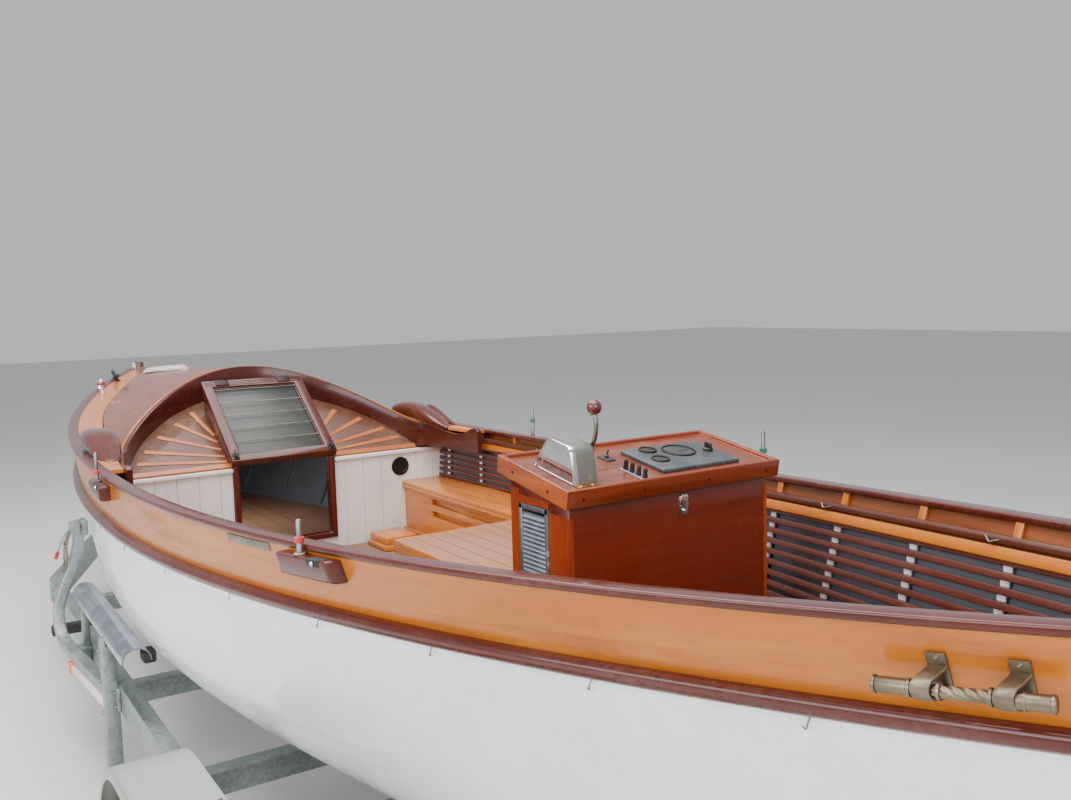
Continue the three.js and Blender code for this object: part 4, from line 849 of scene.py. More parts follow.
def deck_under(x, share):
    edge = sheer(x) - CAP_THICK
    crown = 1.684 - 0.0398 * (x - 0.58) - edge
    return edge + max(crown, 0) * (1 - min(share * share, 1)) ** 1.02


def arch_x(share):
    return ARCH_FOOT_X + ARCH_REACH * (1 - share * share) ** 0.65


DECK_TOP = 0.016
PLANKS = 9


def crown_shares(fine=6):
    """Shares of the half width, with a narrow groove at each seam between planks."""
    shares, sunk = [], []
    for k in range(PLANKS):
        a, b = -1 + 2 * k / PLANKS, -1 + 2 * (k + 1) / PLANKS
        for i in range(fine + 1):
            shares.append(a + 0.006 + (b - a - 0.012) * i / fine)
            sunk.append(0)
        if k < PLANKS - 1:
            shares.append(b)
            sunk.append(0.0022)
    return shares, sunk


shares, sunk = crown_shares()
steps = [0, 0.004, *[(i / 44) ** 1.1 for i in range(2, 45)]]
top, under, place = [], [], []
for step in steps:
    row, low = [], []
    for share, drop in zip(shares, sunk):
        x = arch_x(share) + (DECK_END_X - arch_x(share)) * step
        y = share * board_inner(x)
        row.append((x, y, deck_under(x, share) + DECK_TOP - drop))
        low.append((x, y, deck_under(x, share)))
    top.append(row)
    under.append(low)
shape = shell(top, under)
place = [(v[0], v[1]) for v in shape[0]]
piece("crowned_foredeck", shape, deck_rose, "varnished_pine", along=place, angle=30, stands_for="foredeck",
      inner=inner_grey, inner_from=(len(top) - 1) * (len(top[0]) - 1))

for label, side in SIDES:
    outer_edge = lambda x: half_beam(x) - 0.0505
    ends = [BOARD_AFT_X + (DECK_END_X - BOARD_AFT_X) * i / 150 for i in range(151)]
    across = [0, 0.03, 0.5, 0.97, 1]
    lift = [-0.0015, 0, 0.0005, 0, -0.0015]
    grid = lambda drop, rise: [[(x, side * (board_inner(x) + 0.0007 + (max(outer_edge(x) - board_inner(x),
            0.012)) * a),
                                 sheer(x) - CAP_THICK + DECK_TOP - drop + r * rise)
                                 for a, r in zip(across, lift)] for x in ends]
    shape = shell(grid(0, 1), grid(DECK_TOP, 0))
    piece(f"covering_board_{label}", shape, deck_honey, "varnished_pine", angle=40,
          along=[(v[0], abs(v[1]) * 2 + side) for v in shape[0]])
print("foredeck: crown of", PLANKS, "planks and two covering boards")

# %% [markdown]
# The deck's after edge is closed by a deep mahogany plank on edge. It runs round the arch, standing on the
# sunburst panels, and its two ends are carved into a scroll. The plank follows the arch's own line, so
# its map follows it too, and a thin lighter strip caps it.

# %% Arch coaming
PANEL_TILT, BULKHEAD_X, BULKHEAD_TOP = math.atan(0.524), 0.446, 1.218
SCROLL = [(-0.09, 1.348), (-0.078, 1.359), (-0.062, 1.363), (-0.04, 1.362), (-0.015, 1.357), (0.008, 1.347),
          (0.03, 1.337),
          (0.055, 1.327), (0.085, 1.3215), (0.13, 1.3195), (0.18, 1.321), (0.23, 1.328), (0.28, 1.337),
          (0.32, 1.3455), (0.36, 1.352)]


def panel_z(x):
    return BULKHEAD_TOP + (x - BULKHEAD_X) * math.tan(PANEL_TILT)


def coaming_line():
    """Points (x, y, top, low) from the port scroll round the arch to the starboard scroll."""
    leg = [(x, board_inner(x), high, 1.235) for x, high in SCROLL]
    leg += [(x, board_inner(x), 1.352 + (x - 0.36) / 0.09 * 0.008, 1.235) for x in (0.39, 0.42)]
    arch = []
    for i in range(81):
        share = math.sin(math.pi / 2 * (i / 40 - 1))
        x = arch_x(share)
        arch.append((x, -share * board_inner(x), deck_under(x, share) + DECK_TOP + 0.010, None))
    return leg + arch + [(x, -y, high, low) for x, y, high, low in reversed(leg)]


line = coaming_line()
run = [0.0]
for p, q in zip(line, line[1:]):
    run.append(run[-1] + math.hypot(q[0] - p[0], q[1] - p[1]))
EDGE = [(0.0006, -0.004), (0.0018, -0.001), (0.005, 0), (0.012, 0.0008), (0.019, 0), (0.0225, -0.0012),
        (0.024, -0.0045)]
sections, place = [], []
for i, (x, y, high, low) in enumerate(line):
    a, b = line[max(i - 1, 0)], line[min(i + 1, len(line) - 1)]
    length = math.hypot(b[0] - a[0], b[1] - a[1])
    ny, nx = -(b[0] - a[0]) / length, (b[1] - a[1]) / length
    at = lambda reach: (x + nx * reach, y + ny * reach)
    foot = low if low else max(panel_z(at(0.024)[0]), panel_z(BULKHEAD_X)) + 0.0008
    back = low if low else max(panel_z(at(0.0006)[0]), panel_z(BULKHEAD_X)) + 0.0008
    section = [(*at(reach), high + lift) for reach, lift in EDGE]
    section += [(*at(0.024), (high + foot) / 2), (*at(0.024), foot), (*at(0.0006), back),
                (*at(0.0006), (high + back) / 2)]
    sections.append(section)
    place += [(run[i], p[2]) for p in section]
piece("arch_coaming_plank", rings(sections), coaming_wood, "mahogany", stands_for="arch_coaming",
      along=place, angle=45)

strip_line = [(p, q) for p, q in zip(line, run) if p[3] is None]
sections, place = [], []
for i, ((x, y, high, _), at_run) in enumerate(strip_line):
    a, b = strip_line[max(i - 1, 0)][0], strip_line[min(i + 1, len(strip_line) - 1)][0]
    length = math.hypot(b[0] - a[0], b[1] - a[1])
    ny, nx = -(b[0] - a[0]) / length, (b[1] - a[1]) / length
    section = [(x + nx * r, y + ny * r, high + h) for r, h in
               ((-0.012, -0.0088), (-0.011, -0.0025), (-0.006, 0.0012), (0.002, 0.002), (0.0055, 0.0008),
                (0.0005, 0.0002), (-0.0005, -0.009))]
    sections.append(section)
    place += [(at_run, p[2] + r * 0.01) for r, p in enumerate(section)]
piece("arch_light_strip", rings(sections), honey, "varnished_pine", along=place, angle=60)
print("coaming length", round(run[-1], 2), "m")

# %% [markdown]
# Beside the hatch lie two triangular panels of dull teak with lighter strips let in like rays. Each panel
# is the solid's own shape with eased edges; the rays are thin strips on its plane, swept from the hatch
# to the arch. Their ends come from the photo's own layout: evenly fanned and almost flat at the bottom.

# %% Sunburst panels
def on_plane(start, tilt, y, w, h=0.0):
    """A point on a plane that rises forward, w up the slope and h above it."""
    return Vector((start[0] + w * math.cos(tilt) - h * math.sin(tilt), y,
                   start[1] + w * math.sin(tilt) + h * math.cos(tilt)))


def on_panel(y, w, h=0.0):
    return on_plane((BULKHEAD_X, BULKHEAD_TOP), PANEL_TILT, y, w, h)


def strip(points, width, thick=0.0035, widths=None):
    """A flat strip with eased edges along points on the panel's plane."""
    profile = [(-width / 2, -0.001), (-width / 2, thick * 0.6), (-width / 2 + 0.002, thick),
               (width / 2 - 0.002, thick), (width / 2, thick * 0.6), (width / 2, -0.001)]
    up = Vector((-math.sin(PANEL_TILT), 0, math.cos(PANEL_TILT)))
    return swept(points, profile, up, widths)


RAYS = [(0.276, 0.30, 0.335, 0.535), (0.276, 0.24, 0.44, 0.44), (0.276, 0.17, 0.555, 0.335),
        (0.276, 0.108, 0.645, 0.215), (0.276, 0.062, 0.70, 0.118)]
for label, side in SIDES:
    made = softened(f"fan_panel_{label}", sunburst, 0.0008)
    layer = made.data.uv_layers.get("grain") or made.data.uv_layers.new(name="grain")
    for loop in made.data.loops:
        p = made.data.vertices[loop.vertex_index].co
        turn = math.atan2((p.x - 0.38), abs(p.y) - 0.05)
        layer.data[loop.index].uv = (math.hypot(p.x - 0.38, abs(p.y) - 0.05), turn * 0.6 + side)
    shapes, place = [], []
    for y0, w0, y1, w1 in RAYS:
        ends = [on_panel(side * (y0 + (y1 - y0) * t), w0 + (w1 - w0) * t, 0.0005) for t in (0, 0.5, 1)]
        made_strip = strip(ends, 0.026, 0.003, [0.7, 1.0, 1.25])
        shapes.append(made_strip)
        place += [(Vector(v).length * 1.3, y0 + w0) for v in made_strip[0]]
    low = strip([on_panel(side * y, 0.021, 0.0005) for y in (0.27, 0.5, 0.755)], 0.036, 0.006)
    shapes.append(low)
    place += [(v[1], v[2]) for v in low[0]]
    piece(f"sunburst_rays_{label}", joined(*shapes), sunray, "inlaid_teak", along=place)
print("rays on each side:", len(RAYS))

# %% [markdown]
# Between the rays the veneer meets in thin dark lines, which are not made here. The painted ledge under the
# panels is what separates brown from white in the photo.

# %% Ledge under the panels
for label, side in SIDES:
    ledge = board(0.428, 0.4455, 0.2695, 0.9, 1.196, 1.2165, 0.004)
    trimmed = [(x, side * min(y, inside(BULKHEAD_X, z) - 0.002), z) for x, y, z in ledge[0]]
    piece(f"cabin_front_ledge_{label}", (trimmed, ledge[1]), board_white, "white_boards")
print("ledges made")

# %% [markdown]
# The cabin front is white tongue-and-groove boarding. One flat board with painted lines would look
# printed, so each board is a real one with a V at its edges, cut to the hull's shape at its outer end.
# Geometry Nodes could space them, but each one ends on the curve of the hull, so a loop is simpler.

# %% Boards of the cabin front
def hull_inside_low(y):
    """Height where the inside of the hull reaches a distance from the middle, at the cabin front."""
    for i in range(200):
        z = SOLE_TOP + 0.5 * i / 199
        if inside(BULKHEAD_X, z) >= y + 0.001:
            return z
    return 1.21


def grooved_board(y0, y1, side):
    low_a, low_b = hull_inside_low(y0), hull_inside_low(y1)
    vee = 0.003
    rows = []
    for t, sink in ((0, vee), (0.03, 0), (0.5, -0.0004), (0.97, 0), (1, vee)):
        y = y0 + (y1 - y0) * t
        z = low_a + (low_b - low_a) * t
        rows.append((y, z, sink))
    front = [[(BULKHEAD_X + sink, side * y, z), (BULKHEAD_X + sink, side * y, 1.2165)]
             for y, z, sink in rows]
    rear = [[(BULKHEAD_X + 0.02, side * y, z), (BULKHEAD_X + 0.02, side * y, 1.2165)]
            for y, z, sink in rows]
    return shell(front, rear)


for label, side in SIDES:
    shapes = []
    edges = [0.2686, 0.332, 0.437, 0.542, 0.647, 0.752, 0.857, 0.953]
    for y0, y1 in zip(edges, edges[1:]):
        shapes.append(grooved_board(y0 + 0.0006, y1 - 0.0006, side))
    piece(f"cabin_boards_{label}", joined(*shapes), board_white, "white_boards", angle=25,
          stands_for="bulkhead" if side > 0 else ())
piece("cabin_board_under_door", joined(*[board(BULKHEAD_X, 0.466, -0.268 + 0.0766 * i,
                                               -0.268 + 0.0766 * (i + 1) - 0.001, SOLE_TOP, 0.7895, 0.002)
      for i in range(7)]), board_white, "white_boards")
vent_at = (BULKHEAD_X - 0.0005, -0.652, 1.125)
ring = turned([(0.034, -0.001), (0.034, -0.004), (0.038, -0.0065), (0.046, -0.007), (0.051, -0.005),
               (0.052, -0.001)], vent_at, "X", 40)
mesh_bars = [rod((vent_at[0] - 0.003, vent_at[1] - math.sqrt(max(0.0345 ** 2 - d * d, 0)), vent_at[2] + d),
                 (vent_at[0] - 0.003, vent_at[1] + math.sqrt(max(0.0345 ** 2 - d * d, 0)), vent_at[2] + d),
                 0.0011, 6, 0.0003)
             for d in [-0.028 + 0.008 * i for i in range(8)]]
mesh_bars += [rod((vent_at[0] - 0.0045, vent_at[1] + d, vent_at[2] - math.sqrt(max(0.0345 ** 2 - d * d,
        0))),
                  (vent_at[0] - 0.0045, vent_at[1] + d, vent_at[2] + math.sqrt(max(0.0345 ** 2 - d * d,
                          0))), 0.0011, 6, 0.0003)
              for d in [-0.028 + 0.008 * i for i in range(8)]]
# A black disc behind the grille is painted shade: it stands for the dark hole behind the vent.
vent_hole_shade = turned([(0.0, -0.0004), (0.035, -0.0004), (0.035, -0.002), (0.0, -0.002)], vent_at, "X", 32)
piece("cabin_vent", joined(ring, *mesh_bars), dark_iron, "grey_metal")
piece("cabin_vent_hole_shade", vent_hole_shade, black_knob, "black_rubber")
softened("door_frame", mahogany_z, 0.003)
print("boards on each side:", len(edges) - 1)

# %% [markdown]
# The hatch is a framed skylight that hinges at its top. The glass is dusty and lies under five thin dull
# guard rods. Frame and curb keep the solids' shape; moulding, rods, hinges and corner latches are added.
# They ride on the hatch, so they lift with it.

# %% Hatch
HATCH_TILT = math.atan(0.727)


def on_hatch(y, w, h=0.0):
    return on_plane((0.408, 1.259), HATCH_TILT, y, w, h)


def hatch_plate(y0, y1, w0, w1, h0, h1, edge=0.002):
    """A plank laid on the hatch."""
    flat = board(w0, w1, y0, y1, h0, h1, edge)
    return [tuple(on_hatch(y, w, h)) for w, y, h in flat[0]], flat[1]


softened("hatch_frame", mahogany_y, 0.004, "hatch")
softened("hatch_curb", mahogany_x, 0.003)
softened("hatch_glass", glass, 0.0008, "hatch")
grooves = [hatch_plate(-0.265, 0.265, w, w + 0.006, -0.0005, 0.0022, 0.001) for w in (0.588, 0.601, 0.614)]
bead = [hatch_plate(-0.225, 0.225, 0.0525, 0.0595, -0.0165, -0.008),
        hatch_plate(-0.225, 0.225, 0.5695, 0.5765, -0.0165, -0.008),
        hatch_plate(-0.2247, -0.218, 0.06, 0.569, -0.0165, -0.008),
        hatch_plate(0.218, 0.2247, 0.06, 0.569, -0.0165, -0.008)]
piece("hatch_moulding", joined(*grooves, *bead), mahogany_y, "mahogany", "hatch")
rods = [rod(on_hatch(-0.2246, w, -0.004), on_hatch(0.2246, w, -0.004), 0.0021, 10)
        for w in (0.145, 0.245, 0.345, 0.445, 0.553)]
piece("hatch_guard_rods", joined(*rods), dull_steel, "bright_chrome", "hatch")
latches = []
for side in (-1, 1):
    latches += [hatch_plate(min(side * 0.236, side * 0.27), max(side * 0.236, side * 0.27), 0.008, 0.052,
                            0.0003, 0.006, 0.002),
                rod(on_hatch(side * 0.253, 0.03, 0.003), on_hatch(side * 0.253, 0.03, 0.018), 0.008, 16),
                hatch_plate(min(side * 0.247, side * 0.259), max(side * 0.247, side * 0.259), 0.012, 0.06,
                            0.013, 0.019, 0.0025)]
piece("hatch_latches", joined(*latches), dark_iron, "bronze", "hatch")
hinges = [hatch_plate(y - 0.035, y + 0.035, 0.584, 0.6285, 0.0024, 0.0052, 0.001) for y in (-0.17, 0.17)]
piece("hatch_hinge_leaves", joined(*hinges), dark_iron, "bronze", "hatch")
print("hatch rods:", len(rods))

# %% [markdown]
# The carved chocks beside the arch are the boat's showpiece. From the camera's side the port one reads as
# one broad rounded block, and the starboard one as a horn that rises into a knob with a fin outboard.
# Round sections are lofted along a curve, and a voxel remesh melts them to one carved body.

# %% Carved chocks
def lofted(spine, count=24):
    """Soft rounded sections (x, y, z, half width, half height) joined to one body with small caps."""
    fine = []
    rows = [Vector(p[:3]) for p in spine]
    sizes = [Vector((*p[3:], 0)) for p in spine]
    path, size = smooth_path(rows, 6), smooth_path(sizes, 6)
    sections = []
    for i, p in enumerate(path):
        ahead = (path[min(i + 1, len(path) - 1)] - path[max(i - 1, 0)]).normalized()
        side = ahead.cross(Vector((0, 0, 1))).normalized()
        top = side.cross(ahead).normalized()
        wide, high = max(size[i].x, 0.0015), max(size[i].y, 0.0015)
        ring_points = []
        for k in range(count):
            turn = 2 * math.pi * k / count
            c, s = math.cos(turn), math.sin(turn)
            ring_points.append(p + side * wide * math.copysign(abs(c) ** 0.75,
                    c) + top * high * math.copysign(abs(s) ** 0.75, s))
        sections.append(ring_points)
    return rings(sections)


def chock(side):
    y = side
    if side > 0:
        return lofted([(0.24, 0.868, 1.34, 0.03, 0.012), (0.34, 0.862, 1.356, 0.055, 0.024),
                       (0.46, 0.856, 1.378, 0.072, 0.036),
                       (0.58, 0.85, 1.398, 0.082, 0.046), (0.68, 0.846, 1.404, 0.084, 0.048),
                       (0.75, 0.842, 1.402, 0.078, 0.044),
                       (0.79, 0.84, 1.396, 0.06, 0.032), (0.806, 0.838, 1.39, 0.03, 0.016)])
    horn = lofted([(0.225, 0.85 * y, 1.338, 0.02, 0.010), (0.30, 0.85 * y, 1.350, 0.034, 0.018),
                   (0.38, 0.848 * y, 1.366, 0.044, 0.028),
                   (0.47, 0.846 * y, 1.384, 0.050, 0.038), (0.56, 0.842 * y, 1.400, 0.054, 0.044),
                   (0.64, 0.836 * y, 1.408, 0.058, 0.046),
                   (0.70, 0.828 * y, 1.406, 0.060, 0.046), (0.755, 0.822 * y, 1.402, 0.057, 0.042),
                   (0.79, 0.818 * y, 1.398, 0.048, 0.032), (0.806, 0.816 * y, 1.396, 0.024, 0.016)])
    fin = lofted([(0.245, 0.905 * y, 1.343, 0.007, 0.006), (0.34, 0.91 * y, 1.356, 0.016, 0.018),
                  (0.44, 0.914 * y, 1.372, 0.02, 0.032),
                  (0.54, 0.916 * y, 1.39, 0.022, 0.044), (0.60, 0.916 * y, 1.392, 0.022, 0.042),
                  (0.635, 0.914 * y, 1.382, 0.017, 0.028), (0.647, 0.914 * y, 1.378, 0.008, 0.012)])
    return joined(horn, fin)


for label, side in SIDES:
    obj = piece(f"carved_chock_{label}", chock(side), carved, "mahogany", stands_for=f"chock_{label}",
                angle=60)
    remesh = obj.modifiers.new("one_body", "REMESH")
    remesh.mode, remesh.voxel_size, remesh.use_smooth_shade = "VOXEL", 0.0035, True
    smooth = obj.modifiers.new("soften", "SMOOTH")
    smooth.factor, smooth.iterations = 0.5, 6
    mesh = settled(obj)
    mesh.shade_smooth()
    print(obj.name, len(mesh.polygons), "faces")

# %% [markdown]
# Inside, the planking is lined with slats that follow the sheer, with bent ribs behind them and a round
# stringer high up. That is one rule many times over, so Geometry Nodes make it: a curve for each slat and
# rib is turned to a bar by a profile curve, and the tilt of each point lays the bar against the hull.

# %% A bar along curves, made by Geometry Nodes
def grow_tree(name, sizes, extra=(), source=True):
    """An empty Geometry Nodes tree with its named inputs and its two end nodes."""
    tree = bpy.data.node_groups.new(name, "GeometryNodeTree")
    given = [("Geometry", "Geometry", None)] if source else []
    given += [(label, "Float", value) for label, value in sizes] + [*extra, ("Finish", "Material", None)]
    for label, kind, value in given:
        socket = tree.interface.new_socket(name=label, in_out="INPUT", socket_type="NodeSocket" + kind)
        if value is not None:
            socket.default_value = value
    tree.interface.new_socket(name="Geometry", in_out="OUTPUT", socket_type="NodeSocketGeometry")
    return tree, tree.nodes.new("NodeGroupInput").outputs, tree.nodes.new("NodeGroupOutput").inputs


def ended(tree, geometry, start, end):
    """The end of each tree: instances made real, and the finish set."""
    whole = node(tree, "GeometryNodeRealizeInstances", None, Geometry=geometry).outputs[0]
    finished = node(tree, "GeometryNodeSetMaterial", None, Geometry=whole,
                    Material=start["Finish"]).outputs[0]
    tree.links.new(finished, end["Geometry"])
    return tree


def bars_tree():
    """Turns a mesh of edges to bars of a rounded box section, which face_turn tilts at each point."""
    sizes = (("Width", 0.018), ("Thickness", 0.012), ("Corner", 0.003))
    tree, start, end = grow_tree("bars_along_lines", sizes)
    curve = node(tree, "GeometryNodeMeshToCurve", None, Mesh=start["Geometry"]).outputs[0]
    turn = node(tree, "GeometryNodeInputNamedAttribute", {"data_type": "FLOAT"},
                Name="face_turn").outputs[0]
    kept = node(tree, "GeometryNodeSetCurveNormal", {"mode": "Z_UP"}, Curve=curve).outputs[0]
    tilted = node(tree, "GeometryNodeSetCurveTilt", None, Curve=kept, Tilt=turn).outputs[0]
    section = node(tree, "GeometryNodeCurvePrimitiveQuadrilateral", None, Width=start["Width"],
                   Height=start["Thickness"]).outputs[0]
    eased = node(tree, "GeometryNodeFilletCurve", {"mode": "POLY"}, Curve=section, Radius=start["Corner"],
                 Count=2).outputs[0]
    solid = node(tree, "GeometryNodeCurveToMesh", {}, Curve=tilted, Profile_Curve=eased,
                 Fill_Caps=True).outputs[0]
    return ended(tree, solid, start, end)


def grown(name, source, tree, values, body="root", stands_for=(), angle=40, grain=None):
    """Runs a node tree on a source mesh and keeps its result as a plain piece."""
    obj = in_scene(name, source)
    modifier = obj.modifiers.new("grow", "NODES")
    modifier.node_group = tree
    for item in tree.interface.items_tree:
        if item.item_type == "SOCKET" and item.in_out == "INPUT" and item.name in values:
            modifier[item.identifier] = values[item.name]
    mesh = outward(settled(obj), angle)
    if grain:
        layer = mesh.uv_layers.get("grain") or mesh.uv_layers.new(name="grain")
        for loop in mesh.loops:
            layer.data[loop.index].uv = grain(mesh.vertices[loop.vertex_index].co)
    return dressed(obj, body, stands_for)


def lines_mesh(name, lines):
    """A mesh of edges from lines of (point, turn of the section)."""
    verts, edges, turns = [], [], []
    for line_points in lines:
        start = len(verts)
        for p, turn in line_points:
            verts.append(tuple(p))
            turns.append(turn)
        edges += [(start + i, start + i + 1) for i in range(len(line_points) - 1)]
    mesh = bpy.data.meshes.new(name)
    mesh.from_pydata(verts, edges, [])
    mesh.attributes.new("face_turn", "FLOAT", "POINT").data.foreach_set("value", turns)
    return mesh


bars = bars_tree()
print("tree:", bars.name)

# %% [markdown]
# Each slat stands off the ribs a little and follows the sheer at its own drop. Each rib is a line down the
# hull's section from the cap to the keel. The ribs are orange near the top, where they are varnished, and
# painted lower down. Two thin skins give the planking behind them its varnish above and its grey below. The
# upper skin is a darker brown than the strake outside, and that darker brown is painted shade under the
# cap.

# %% Ribs, slats and stringers
LINING_AFT, LINING_FORE = -4.05, 0.44


def lining_point(x, z, stand_off, side):
    return Vector((x, side * inside(x, z, stand_off), z))


def wall_turn(x, z, side):
    """The turn that lays a bar's width along the planking's section at a place."""
    lean = (inside(x, z + 0.01) - inside(x, z - 0.01)) / 0.02
    return math.pi / 2 - side * math.atan(lean)


def slat_lines(drops, stand_off, side, first=LINING_AFT, last=LINING_FORE, count=70):
    lines = []
    for drop in drops:
        points = []
        for i in range(count):
            x = first + (last - first) * i / (count - 1)
            z = sheer(x) - drop
            if inside(x, z, stand_off) > KEEL_SIDE + 0.05 and z > rabbet(x) + 0.1:
                points.append((lining_point(x, z, stand_off, side), wall_turn(x, z, side)))
        if len(points) > 2:
            lines.append(points)
    return lines


def rib_lines(side, top_drop, low_drop, stand_off, ribs):
    lines = []
    for x in ribs:
        points = []
        for i in range(26):
            z = sheer(x) - top_drop - (low_drop - top_drop) * i / 25
            if z > max(rabbet(x) + 0.06, 0.735):
                points.append((lining_point(x, z, stand_off, side), 0.0))
        if len(points) > 3:
            lines.append(points)
    return lines


def lining_panel(high, low, side, rows=3, count=44):
    """A thin skin on the planking's inner face, between two drops below the sheer."""
    xs = [LINING_AFT + (LINING_FORE - LINING_AFT) * i / count for i in range(count + 1)]
    drops = [high + (low - high) * k / rows for k in range(rows + 1)]
    faces = [[[lining_point(x, sheer(x) - drop, off, side) for drop in drops] for x in xs]
             for off in (0.0025, -0.001)]
    return shell(*faces)


ribs_at = [LINING_AFT + 0.12 + 0.33 * i for i in range(14)]
forward_ribs = [0.8 + 0.4 * i for i in range(6)]
SLAT_DROPS = [0.104 + 0.032 * i for i in range(20)]
for label, side in SIDES:
    along_sheer = lambda co: (co.x, co.z - sheer(co.x) + side)
    down = lambda co: (co.z, co.x + side)
    grown(f"lining_slats_{label}", lines_mesh("slat_lines", slat_lines(SLAT_DROPS, 0.026, side)), bars,
          {"Width": 0.019, "Thickness": 0.013, "Corner": 0.003, "Finish": slat_wood},
          grain=along_sheer)
    grown(f"ribs_upper_{label}", lines_mesh("upper_ribs", rib_lines(side, 0.02, 0.1, 0.0085, ribs_at)),
          bars, {"Width": 0.022, "Thickness": 0.0165, "Corner": 0.003, "Finish": honey},
          grain=down)
    grown(f"ribs_lower_{label}", lines_mesh("lower_ribs", rib_lines(side, 0.101, 0.85, 0.0085,
            [*ribs_at, *forward_ribs])), bars,
          {"Width": 0.022, "Thickness": 0.0165, "Corner": 0.003, "Finish": inner_grey},
          grain=down)
    grown(f"stringer_light_{label}", lines_mesh("stringer_light", slat_lines([0.088], 0.029, side)), bars,
          {"Width": 0.032, "Thickness": 0.022, "Corner": 0.006, "Finish": honey},
          grain=along_sheer)
    grown(f"stringer_top_{label}", lines_mesh("stringer_top", slat_lines([0.058], 0.03, side)), bars,
          {"Width": 0.026, "Thickness": 0.026, "Corner": 0.012, "Finish": slat_wood},
          grain=along_sheer)
    # The upper skin's darker brown is painted shade on the varnished strake under the cap.
    for name, high, low, finish, stuff in (("inner_strake", 0.02, 0.098, shaded_inner_wood, "mahogany"),
                                           ("inner_paint", 0.0985, 0.2, inner_grey, "white_boards")):
        panel = lining_panel(high, low, side)
        place_of = [(p[0], p[2] - sheer(p[0]) + side) for p in panel[0]]
        piece(f"{name}_{label}", panel, finish, stuff, along=place_of, angle=30)
    clips = [joined(rod(lining_point(x + 0.03, sheer(x) - 0.058, 0.043, side),
                        lining_point(x + 0.055, sheer(x + 0.055) - 0.062, 0.05, side), 0.0022, 8),
                    rod(lining_point(x + 0.055, sheer(x + 0.055) - 0.062, 0.05, side),
                        lining_point(x + 0.075, sheer(x + 0.075) - 0.05, 0.045, side), 0.0022, 8))
             for x in ribs_at[::2]]
    piece(f"stringer_clips_{label}", joined(*clips), dull_steel, "grey_metal")
    # White patches on each rib between the slats are painted highlights where the light catches the ribs.
    rib_highlights = []
    for x in ribs_at:
        for drop in SLAT_DROPS:
            z = sheer(x) - drop - 0.016
            if z > 0.8:
                y = inside(x, z, 0.0185)
                rib_highlights.append(board(x - 0.0115, x + 0.0115, side * y - 0.0035, side * y + 0.0035, z - 0.0085,
                                  z + 0.0085, 0.0015, 1))
    piece(f"rib_painted_highlights_{label}", joined(*rib_highlights), board_white, "white_boards")
print("ribs:", len(ribs_at), "slats:", len(SLAT_DROPS))

# %% [markdown]
# Benches, sole and engine box are plain joinery. The solids' shapes stay, with eased edges, and each gets
# what the solid leaves out: seams on the sole and the box, lips and slot backs on the bench fronts.
# The seams are thin strips laid flush, because a real seam is a filled groove.

# %% Benches, sole and engine box
for label, side in SIDES:
    softened(f"side_bench_{label}", honey_x, 0.003)
    y0, y1 = sorted((side * 0.657, side * 0.675))
    piece(f"bench_front_lip_{label}", joined(board(-1.9, 0.4455, y0, y1, 1.008, 1.0248, 0.004),
          board(-1.9, 0.4455, y0, y1, 0.765, 0.785, 0.003)), honey_x, "varnished_pine")
    y0, y1 = sorted((side * 0.6955, side * 0.7035))
    piece(f"bench_slot_backs_{label}", joined(board(-1.7, -0.8, y0, y1, 0.87, 1.005, 0.001),
          board(-0.6, 0.2, y0, y1, 0.87, 1.005, 0.001)), honey_x, "varnished_pine")
softened("sole", teak_x, 0.002)
seams = [board(-3.35, 2.4, y - 0.002, y + 0.002, 0.7298, 0.7306, 0.0003, 1)
         for y in [0.1 * k for k in range(-3, 4)]]
piece("sole_seams", joined(*seams), rubber, "black_rubber")
softened("engine_box", box_pink, 0.004)
BOX_AFT, BOX_FORE, BOX_HALF, BOX_TOP = -2.3447, -1.53, 0.3, 1.23
strips = [board(BOX_AFT + 0.01, BOX_FORE - 0.012, y - 0.0017, y + 0.0017, BOX_TOP - 0.0006,
                BOX_TOP + 0.0006, 0.0004, 1)
          for y in [-0.24 + 0.06 * k for k in range(9)]]
piece("engine_box_seams", joined(*strips), lid_edge, "inlaid_teak")
edge_band = joined(board(BOX_AFT, BOX_FORE, BOX_HALF, BOX_HALF + 0.006, BOX_TOP - 0.045, BOX_TOP + 0.001,
                         0.003),
                   board(BOX_AFT, BOX_FORE, -BOX_HALF - 0.006, -BOX_HALF, BOX_TOP - 0.045, BOX_TOP + 0.001,
                         0.003),
                   board(BOX_FORE, BOX_FORE + 0.006, -BOX_HALF - 0.006, BOX_HALF + 0.006, BOX_TOP - 0.045,
                         BOX_TOP + 0.001, 0.003))
piece("engine_box_edging", edge_band, honey_x, "varnished_pine")
softened("engine", engine_green, 0.012)
ribs = [board(-2.13 + 0.09 * k, -2.1 + 0.09 * k, -0.15, 0.15, 1.15, 1.165, 0.003) for k in range(5)]
piece("engine_cover_ribs", joined(*ribs, rod((-1.72, 0.06, 1.15), (-1.72, 0.06, 1.19), 0.025, 20)),
      engine_green, "engine_paint")
step = joined(board(0.17, 0.40, -0.62, -0.42, 0.7306, 0.76, 0.006),
              board(0.18, 0.39, -0.61, -0.43, 0.76, 0.80, 0.008))
piece("low_step", step, honey_x, "varnished_pine")
print("benches, sole and box dressed")

# %% [markdown]
# The steering console is a tall box of orange-red mahogany. Its aft face is a deep red panel, and the
# lid above it is a tray with a mitred rim, whose edges are lighter. The body keeps the solid's shape; the
# corner posts, plinth, hasp and rim are built on it.

# %% Console
CONSOLE_AFT, CONSOLE_FORE, CONSOLE_HALF = -2.612, -2.345, 0.336
LID_TILT, LID_LONG, LID_HALF = math.atan2(53.5, 321), 0.325, 0.357


